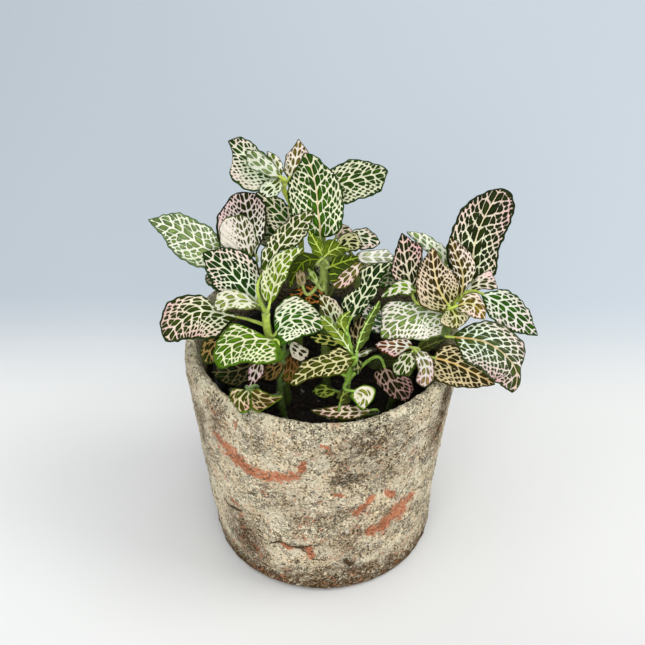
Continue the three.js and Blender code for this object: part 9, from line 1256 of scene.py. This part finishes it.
# ------------------------------------------------------------------ leaves
made_for = {}
for key, row in LEAVES.items():
    v, f, at = leaf_arrays(key, row)
    ob = new_mesh("leaf_" + key.lower(), v, f, LEAF, at)
    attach(ob, "root")
    if row["node"]:
        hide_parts(row["node"])

# ------------------------------------------------------------------ stems
for key, s in STEMS.items():
    rng = np.random.default_rng(ord(key))
    parts, rgb, hairs = [], [], []
    path = np.array(s["path"], float).reshape(-1, 3)
    plen = np.linalg.norm(np.diff(path, axis=0), axis=1).sum()
    knots = [(plen - 0.5, 0.25), (plen * 0.8, 0.3), (plen * 0.62, 0.25), (plen * 0.45, 0.25)]
    V, F, c, nv, b, r = tube_arrays(path, s["radius"][0], s["radius"][1], 18, 0.7, 0.035, ord(key), knots)
    parts.append((V, F))
    hgt = smooth(90, 150, V[:, 2])[:, None]
    rgb.append(lin("#4d6426") * (1 - hgt) + lin(s["top"]) * hgt)
    tubes = [(c, nv, b, r, 1.0)]
    for lk, row in LEAVES.items():
        if row["stem"] != key:
            continue
        line = np.array(row["stalk"], float).reshape(-1, 3).copy()
        mid = np.array(row["mid"], float).reshape(-1, 3)
        t = mid[1] - mid[0]; t /= np.linalg.norm(t)
        line[-1] = mid[0] + t * 0.9
        V, F, c, nv, b, r = tube_arrays(line, 1.0, 0.62, 12, 0.5, 0.03, ord(key) + len(lk))
        parts.append((V, F)); hgt = smooth(98, 138, V[:, 2])[:, None]; rgb.append(lin("#47602a") * (1 - hgt) + lin(s["top"]) * hgt)
        tubes.append((c, nv, b, r, 0.7))
    V, F = join(parts)
    ob = new_mesh(s["node"], V, F, STEM, dict(stem_rgb=np.concatenate(rgb)))
    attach(ob, "root"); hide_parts(s["node"])
    # short white hairs
    hv, hf = [], []
    for c, nv, b, r, dens in tubes:
        n = int(len(c) * 3.2 * dens)
        i = rng.integers(1, len(c) - 1, n); a = rng.uniform(0, 2 * np.pi, n)
        ok = c[i, 2] > 92
        i, a = i[ok], a[ok]; n = len(i)
        if n == 0:
            continue
        d = nv[i] * np.cos(a)[:, None] + b[i] * np.sin(a)[:, None]
        p = c[i] + d * r[i][:, None] * 0.95
        tl = d + rng.normal(0, 0.25, (n, 3)); tl /= np.linalg.norm(tl, axis=1, keepdims=True)
        ln = rng.uniform(0.3, 0.75, n)[:, None]
        x = np.cross(tl, rng.normal(0, 1, (n, 3))); x /= np.linalg.norm(x, axis=1, keepdims=True); y = np.cross(tl, x)
        w0 = 0.045
        base = [p + w0 * (x * math.cos(q) + y * math.sin(q)) for q in (0, 2.0944, 4.18879)]
        vv = np.stack(base + [p + tl * ln], 1).reshape(-1, 3)
        k = (np.arange(n) * 4)[:, None]
        ff = np.concatenate([k + np.array([[0, 1, 3]]), k + np.array([[1, 2, 3]]), k + np.array([[2, 0, 3]]), k + np.array([[2, 1, 0]])])
        hv.append(vv); hf.append(ff)
    V, F = join(list(zip(hv, hf)))
    ob = new_mesh(s["node"] + "_hairs", V, F, HAIR, smooth_shade=False)
    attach(ob, "root")

# ------------------------------------------------------------------ clay pot
H, RB, RT, WALL, FLOOR, EDGE = 124.5, 55.4, 68.6, 6.6, 8.0, 4.5
outer = lambda z: RB + (RT - RB) * z / H


def profile(step):
    P = [(0.0, 0.0), (outer(0) - EDGE, 0.0)]
    for i in range(1, 13):
        a = math.pi / 2 * i / 12
        P.append((outer(EDGE) - EDGE * (1 - math.sin(a)), EDGE * (1 - math.cos(a))))
    z0, z1 = EDGE, H - WALL / 2
    n = int((z1 - z0) / step)
    P += [(outer(z0 + (z1 - z0) * i / n), z0 + (z1 - z0) * i / n) for i in range(1, n)]
    rc, rr = outer(H) - WALL / 2, WALL / 2
    for i in range(0, 17):
        a = math.pi * i / 16
        P.append((rc + rr * math.cos(a), H - rr + rr * math.sin(a)))
    return P


step = 1.05
prof = profile(step)
rc = outer(H) - WALL / 2
inner_top = len(prof)
zi = np.arange(H - WALL / 2 - 2.0, FLOOR + 6, -2.0)
prof += [(outer(z) - WALL, z) for z in zi] + [(outer(FLOOR) - WALL - 5, FLOOR), (0.0, FLOOR)]
prof = np.array(prof)
seg = 440
th = np.arange(seg) * 2 * np.pi / seg
R, Z = prof[:, 0], prof[:, 1]
on = R > 1e-6
V = np.stack([R[:, None] * np.cos(th), R[:, None] * np.sin(th), np.repeat(Z[:, None], seg, 1)], -1)
dr = np.gradient(R); dz = np.gradient(Z)
ln = np.hypot(dr, dz) + 1e-9
Nr, Nz = dz / ln, -dr / ln
Nn = np.stack([Nr[:, None] * np.cos(th), Nr[:, None] * np.sin(th), np.repeat(Nz[:, None], seg, 1)], -1)
flatV = V.reshape(-1, 3)
coarse = value_noise(flatV, 15.0, 3) * 0.55 + value_noise(flatV, 6.0, 4) * 0.34 + value_noise(flatV, 2.6, 5) * 0.28 + value_noise(flatV, 1.3, 6) * 0.26
grain = value_noise(flatV, 0.9, 7)
pits = np.minimum(value_noise(flatV, 2.1, 8) + 0.55, 0) * 1.3
lump = np.maximum(value_noise(flatV, 1.9, 11) - 0.62, 0) * 1.5
disp = coarse + 0.16 * grain + pits + lump - 0.45
fz, fa = flatV[:, 2] / H, np.arctan2(flatV[:, 1], flatV[:, 0])
disp = disp + 1.3 * smooth(0.35, 0.75, fz) * smooth(1.0, 0.88, fz) + 0.9 * np.cos(fa - 3.3) * smooth(0.05, 0.3, fz) * smooth(1.0, 0.9, fz)
fade = np.ones(len(prof)); fade[inner_top:] = 0.35; fade[:2] = 0.0
under = smooth(0.0, 4.0, Z)  # keep the resting face flat
fade = fade * np.where(np.arange(len(prof)) < inner_top, under, 1.0)
disp = disp.reshape(len(prof), seg) * fade[:, None]
V = V + Nn * disp[..., None]
V[:, :, 2] = np.where((np.arange(len(prof)) < inner_top)[:, None], np.maximum(V[:, :, 2], 0.0), V[:, :, 2])
# stroke fields on the wall: (angle, height) points in radians and mm
def stroke(pts):
    """Pts are (angle, height, half width in mm)."""
    A = np.array(pts, float)
    out = np.zeros((len(prof), seg))
    x = th[None, :] * np.ones((len(prof), 1)); y = Z[:, None] * np.ones((1, seg))
    for (t0, z0, r0), (t1, z1, r1) in zip(A[:-1], A[1:]):
        ax = (np.mod(x - t0 + np.pi, 2 * np.pi) - np.pi) * 61.0; ay = y - z0
        bx = (np.mod(t1 - t0 + np.pi, 2 * np.pi) - np.pi) * 61.0; by = z1 - z0
        k = np.clip((ax * bx + ay * by) / (bx * bx + by * by + 1e-9), 0, 1)
        d = np.hypot(ax - k * bx, ay - k * by) / (1.12 * (r0 + (r1 - r0) * k))
        out = np.maximum(out, np.exp(-0.42 * d ** 2))
    return out


def blob(t0, z0, rt, rz):
    x = (np.mod(th[None, :] - t0 + np.pi, 2 * np.pi) - np.pi) * 61.0
    return np.exp(-((x / rt) ** 2 + ((Z[:, None] - z0) / rz) ** 2))


TERRA = [
    [(-2.4476, 97, 2), (-2.386, 93.6, 3.2), (-2.267, 89.5, 3.7), (-2.175, 86.7, 3.3), (-2.0859, 85.4, 3), (-1.983, 85.6, 2.4), (-1.8602, 87.6, 2.4), (-1.7962, 91, 1.8)],
    [(-1.7345, 93.2, 0.5), (-1.7107, 97.1, 1.3), (-1.7022, 100.9, 0.8)],
    [(-0.7569, 52.7, 2.2), (-0.8488, 51.5, 4.2), (-0.9093, 48.7, 4.8), (-0.9871, 45.5, 4), (-1.0713, 42.1, 3.6), (-1.1549, 40.7, 2.6)],
    [(-1.1837, 68.3, 1.8), (-1.2482, 64.5, 2.1), (-1.2941, 58.6, 1)],
    [(-1.5097, 77.7, 0.8), (-1.4397, 75.8, 1.1)],
    [(-1.0529, 69.8, 0.9), (-0.9883, 64.6, 1.2)],
    [(-1.6906, 34, 1.2), (-1.6575, 28.6, 1.4)],
    [(-2.4164, 50.5, 1), (-2.3543, 50.4, 1)],
    [(-1.9096, 35.5, 0.8), (-1.8762, 32.2, 0.9)],
    [(-2.2362, 115.6, 0.8), (-2.2248, 111.8, 0.7)],
    [(-1.5054, 124.5, 0.8), (-1.4515, 124.5, 0.7)],
    [(-1.5782, 113.7, 0.7), (-1.5428, 112.2, 0.7)],
]
STAINS = [
    (-2.3156, 25.9, 12, 14, 1.15),
    (-2.3609, 37.9, 9, 10, 0.9),
    (-2.1619, 9.7, 10, 5, 0.8),
    (-0.4918, 96.3, 9, 22, 0.95),
    (-0.4595, 111.7, 8, 12, 0.9),
    (-1.78, 12, 30, 5, 0.8),
    (-1.2314, 13.8, 24, 6, 0.8),
    (-2.4387, 121, 6, 20, 0.5),
    (-1.8734, 69.5, 16, 12, 0.35),
    (-2.7289, 85, 6, 22, 0.45),
    (-0.9907, 83.9, 14, 10, 0.35),
    (-1.3832, 36.5, 18, 10, 0.4),
    (0.6, 60, 18, 22, 0.6), (1.5, 90, 14, 18, 0.5), (2.2, 40, 22, 14, 0.7), (2.9, 75, 12, 26, 0.6),
]
GREYS = [
    (-1.2225, 119.5, 12, 6, 1.1),
    (-1.3489, 21.6, 5, 4, 1.3),
    (-1.2635, 104.7, 22, 15, 1),
    (-1.3827, 87.8, 8, 5, 1.6),
    (-1.1116, 109.5, 14, 10, 0.7),
    (-1.7941, 35.2, 10, 2.2, 1.2),
    (-1.5146, 57.2, 10, 7, 0.5),
    (-2.0391, 109.2, 8, 8, 0.35),
    (0.9, 95, 18, 10, 0.7), (1.9, 55, 14, 14, 0.6), (2.6, 25, 12, 8, 0.7),
]
TERRA += [[(0.4, 80, 2), (0.5, 70, 3.4), (0.75, 63, 2)], [(1.7, 100, 1.5), (1.8, 90, 3), (1.95, 84, 1.5)], [(2.5, 60, 2), (2.62, 50, 3.6), (2.95, 44, 2)]]
CRACKS = [
    [(-2.0452, 31.9, 0.35), (-1.9361, 36.5, 0.6), (-1.8392, 33.7, 0.7), (-1.742, 35.1, 0.6), (-1.6556, 37.5, 0.3)],
    [(-1.7686, 34, 0.4), (-1.6919, 30, 0.5)],
    [(-2.5677, 44.5, 0.4), (-2.4477, 44.5, 0.7), (-2.3006, 48.2, 0.4)],
    [(-1.3773, 24.4, 0.8), (-1.3296, 19.7, 0.9)],
    [(0.7, 40, .5), (0.82, 44, .8), (0.95, 41, .4)], [(1.9, 70, .5), (2.0, 66, .8), (2.15, 68, .5)], [(2.9, 30, .5), (3.02, 34, .8), (3.1, 33, .4)],
]

out_mask = (np.arange(len(prof)) < inner_top)[:, None].astype(float)
terra = np.zeros((len(prof), seg))
for pts_ in TERRA:
    terra = np.maximum(terra, stroke(pts_))
stain = np.zeros((len(prof), seg))
for t0, z0, rt, rz, k_ in STAINS:
    stain = np.maximum(stain, k_ * blob(t0, z0, rt, rz))
grey = np.zeros((len(prof), seg))
for t0, z0, rt, rz, k_ in GREYS:
    grey = np.maximum(grey, k_ * blob(t0, z0, rt, rz))
crack = np.zeros((len(prof), seg))
for pts_ in CRACKS:
    crack = np.maximum(crack, stroke(pts_))
low = smooth(22, 3, Z)[:, None] * 1.1
stain = np.maximum(stain, low)
rimness = np.exp(-((Z[:, None] - (H - 1)) / 5.0) ** 2) * np.ones((1, seg)) * np.where(np.arange(len(prof)) < inner_top + 2, 1.0, 0.4)[:, None]
inside = (np.arange(len(prof)) >= inner_top)[:, None] * smooth(H - 2, H - 12, Z)[:, None] * np.ones((1, seg))
at = dict(terra=terra * out_mask, stain=stain * out_mask, grey=grey * out_mask, rimness=rimness, inside=inside, crack=crack * out_mask)
# stitch, with the two axis points as single vertices
n = len(prof)
rows = np.arange(n * seg).reshape(n, seg)
nx = np.roll(rows, -1, axis=1)
q = np.stack([rows[1:-2], nx[1:-2], nx[2:-1], rows[2:-1]], -1).reshape(-1, 4)
tri = np.concatenate([q[:, [0, 1, 2]], q[:, [0, 2, 3]]])
bot, top_ = n * seg, n * seg + 1
tri = np.concatenate([tri, np.stack([nx[1], rows[1], np.full(seg, bot)], -1), np.stack([rows[n - 2], nx[n - 2], np.full(seg, top_)], -1)])
verts = np.concatenate([V.reshape(-1, 3), [[0, 0, 0.0], [0, 0, FLOOR]]])
for k_ in at:
    at[k_] = np.concatenate([(at[k_] * np.ones((n, seg))).ravel(), [0, 0]])
used = np.unique(tri); remap = -np.ones(len(verts), int); remap[used] = np.arange(len(used))
pot = new_mesh("clay_pot_wall", verts[used], remap[tri], CLAY, {k_: a_[used] for k_, a_ in at.items()})
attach(pot, "root"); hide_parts("clay_pot")


# ------------------------------------------------------------------ nursery pot
def lathe(name, P, seg, mat, rad=None, attrs=None):
    P = np.array(P, float); n = len(P)
    th = np.arange(seg) * 2 * np.pi / seg
    Rr = P[:, 0][:, None] * np.ones((1, seg))
    if rad is not None:
        Rr = Rr + rad(P, th)
    V = np.stack([Rr * np.cos(th), Rr * np.sin(th), np.repeat(P[:, 1][:, None], seg, 1)], -1)
    rows = np.arange(n * seg).reshape(n, seg); nx = np.roll(rows, -1, axis=1)
    a, b = (1, n - 1)
    q = np.stack([rows[a:b - 1], nx[a:b - 1], nx[a + 1:b], rows[a + 1:b]], -1).reshape(-1, 4)
    tri = np.concatenate([q[:, [0, 1, 2]], q[:, [0, 2, 3]]])
    v = np.concatenate([V.reshape(-1, 3), [[0, 0, P[0, 1]], [0, 0, P[-1, 1]]]])
    tri = np.concatenate([tri, np.stack([nx[1], rows[1], np.full(seg, n * seg)], -1), np.stack([rows[n - 2], nx[n - 2], np.full(seg, n * seg + 1)], -1)])
    used = np.unique(tri); remap = -np.ones(len(v), int); remap[used] = np.arange(len(used))
    return new_mesh(name, v[used], remap[tri], mat)


zf = 8.3; zt = zf + 98.0; lipz = zt - 7.0
ia = lambda z: 42 + (53.2 - 42) * (z - zf) / 91.0
P = [(0, zf), (40.0, zf), (41.4, zf + 0.3), (42.0, zf + 1.2)] + [(ia(z), z) for z in np.arange(zf + 3, lipz - 0.5, 2.5)]
P += [(ia(lipz), lipz - 0.2), (54.9, lipz + 0.5), (55.2, lipz + 1.5), (55.4, zt - 0.7), (55.1, zt), (54.5, zt), (54.1, zt - 0.7), (ia(lipz) - 0.8, lipz + 1.4)]
P += [(ia(z) - 1.3, z) for z in np.arange(lipz - 1, zf + 2, -2.5)] + [(39.5, zf + 1.3), (0, zf + 1.3)]
P = np.array(P)
def ribs(P, th):
    body = smooth(zf + 4, zf + 12, P[:, 1]) * smooth(lipz, lipz - 6, P[:, 1])
    return body[:, None] * 0.38 * np.maximum(np.cos(th * 40), -0.2)[None, :] 
nur = lathe("nursery_pot_shell", P, 320, PLASTIC, ribs)
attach(nur, "root"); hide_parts("nursery_pot")

# ------------------------------------------------------------------ soil
sf = zf + 1.6
sr = lambda z: ia(z) - 1.3 - 0.75
P = [(0, sf), (sr(sf) - 1.5, sf), (sr(sf + 2), sf + 2)] + [(sr(z), z) for z in np.arange(sf + 8, 84, 6.0)] + [(sr(86.5), 86.5), (sr(88) - 1.0, 87.7)]
P += [(r_, 88 + 1.6 * (1 - r_ / 50)) for r_ in np.arange(46.5, 0.8, -1.1)] + [(0, 89.6)]
P = np.array(P)
soil = lathe("soil_body", P, 220, SOIL)
co = np.array([v.co[:] for v in soil.data.vertices]) / MM
topm = smooth(86, 88, co[:, 2])
bump = (value_noise(co, 7, 21) * 1.0 + value_noise(co, 3, 22) * 0.8 + value_noise(co, 1.5, 23) * 0.45) * topm * smooth(49, 45, np.hypot(co[:, 0], co[:, 1]))
co[:, 2] += bump
soil.data.vertices.foreach_set("co", (co * MM).astype(np.float32).ravel()); soil.data.update()
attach(soil, "root"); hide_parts("soil")
rng = np.random.default_rng(77)
cube = np.array([[x, y, z] for x in (-1, 1) for y in (-1, 1) for z in (-1, 1)], float)
# crumbs: small jittered octahedra subdivided once
octv = np.array([[1, 0, 0], [-1, 0, 0], [0, 1, 0], [0, -1, 0], [0, 0, 1], [0, 0, -1]], float)
octf = [[0, 2, 4], [2, 1, 4], [1, 3, 4], [3, 0, 4], [2, 0, 5], [1, 2, 5], [3, 1, 5], [0, 3, 5]]
ov, of_ = list(map(tuple, octv)), []
cache = {}
def midp(a, b):
    k_ = (min(a, b), max(a, b))
    if k_ not in cache:
        p = (np.array(ov[a]) + np.array(ov[b])); p = p / np.linalg.norm(p); ov.append(tuple(p)); cache[k_] = len(ov) - 1
    return cache[k_]
for a, b, c in octf:
    ab, bc, ca = midp(a, b), midp(b, c), midp(c, a)
    of_ += [[a, ab, ca], [ab, b, bc], [ca, bc, c], [ab, bc, ca]]
ov = np.array(ov); of_ = np.array(of_)
parts = []
stem_xy = [np.array(s["path"], float).reshape(-1, 3)[:2] for s in STEMS.values()]
for i in range(900):
    r_ = 47 * math.sqrt(rng.uniform()); a_ = rng.uniform(0, 2 * math.pi)
    x, y = r_ * math.cos(a_), r_ * math.sin(a_)
    size = rng.uniform(0.5, 1.6) * (1.5 if rng.uniform() < 0.08 else 1)
    sh = ov * rng.uniform(0.7, 1.25, 3) * size * (1 + rng.uniform(-0.18, 0.18, (len(ov), 1)))
    parts.append((sh + [x, y, 88 + 1.6 * (1 - r_ / 50) + size * 0.3], of_))
V, F = join(parts)
crumbs = new_mesh("soil_crumbs", V, F, CRUMB, smooth_shade=False)
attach(crumbs, "root")

# ------------------------------------------------------------------ stage
fm = floor_material()
fl = new_mesh("table_top", [[-4000, -4000, 0], [4000, -4000, 0], [4000, 4000, 0], [-4000, 4000, 0]], [[0, 1, 2, 3]], fm, smooth_shade=False)
fl.location.z = 0.0

world = bpy.data.worlds.new("studio"); bpy.context.scene.world = world; world.use_nodes = True
wt = world.node_tree; wt.nodes.clear()
wo = wt.nodes.new("ShaderNodeOutputWorld"); bg = wt.nodes.new("ShaderNodeBackground")
bg.inputs["Color"].default_value = (0.62, 0.635, 0.65, 1); bg.inputs["Strength"].default_value = 0.70
wt.links.new(bg.outputs[0], wo.inputs["Surface"])


def area(name, loc, target, size, power, color):
    ld = bpy.data.lights.new(name, "AREA"); ld.shape = "RECTANGLE"; ld.size, ld.size_y = size; ld.energy = power; ld.color = color
    ob = bpy.data.objects.new(name, ld); bpy.context.scene.collection.objects.link(ob)
    ob.location = loc
    ob.rotation_euler = (Vector(target) - Vector(loc)).to_track_quat("-Z", "Y").to_euler()
    return ob


area("key_light", (1.0, -0.15, 1.35), (0, 0, 0.10), (0.9, 0.9), 11.0, (1.0, 0.98, 0.94))
area("top_softbox", (0.0, -0.2, 1.8), (0, 0, 0.1), (2.2, 2.2), 15.0, (1.0, 0.995, 0.985))
area("front_softbox", (-0.15, -1.6, 0.8), (0, 0, 0.09), (1.4, 1.0), 18.0, (1.0, 0.995, 0.985))

# ------------------------------------------------------------------ camera
e = math.radians(39.04)
T = Vector((-0.26, 0, 133.28)) * MM
back = Vector((0, -math.cos(e), math.sin(e)))
cd = bpy.data.cameras.new("camera"); cam = bpy.data.objects.new("camera", cd)
bpy.context.scene.collection.objects.link(cam)
cam.location = T + back * 1.0
cam.rotation_mode = "QUATERNION"
cam.rotation_quaternion = (-back).to_track_quat("-Z", "Y")
cd.sensor_width = 36.0
cd.lens = 2021.0 / 645.0 * 36.0
cd.clip_start, cd.clip_end = 0.05, 10
bpy.context.scene.camera = cam
bpy.context.scene.view_settings.view_transform = "Standard"
bpy.context.scene.view_settings.look = "None"

bpy.context.view_layer.update()
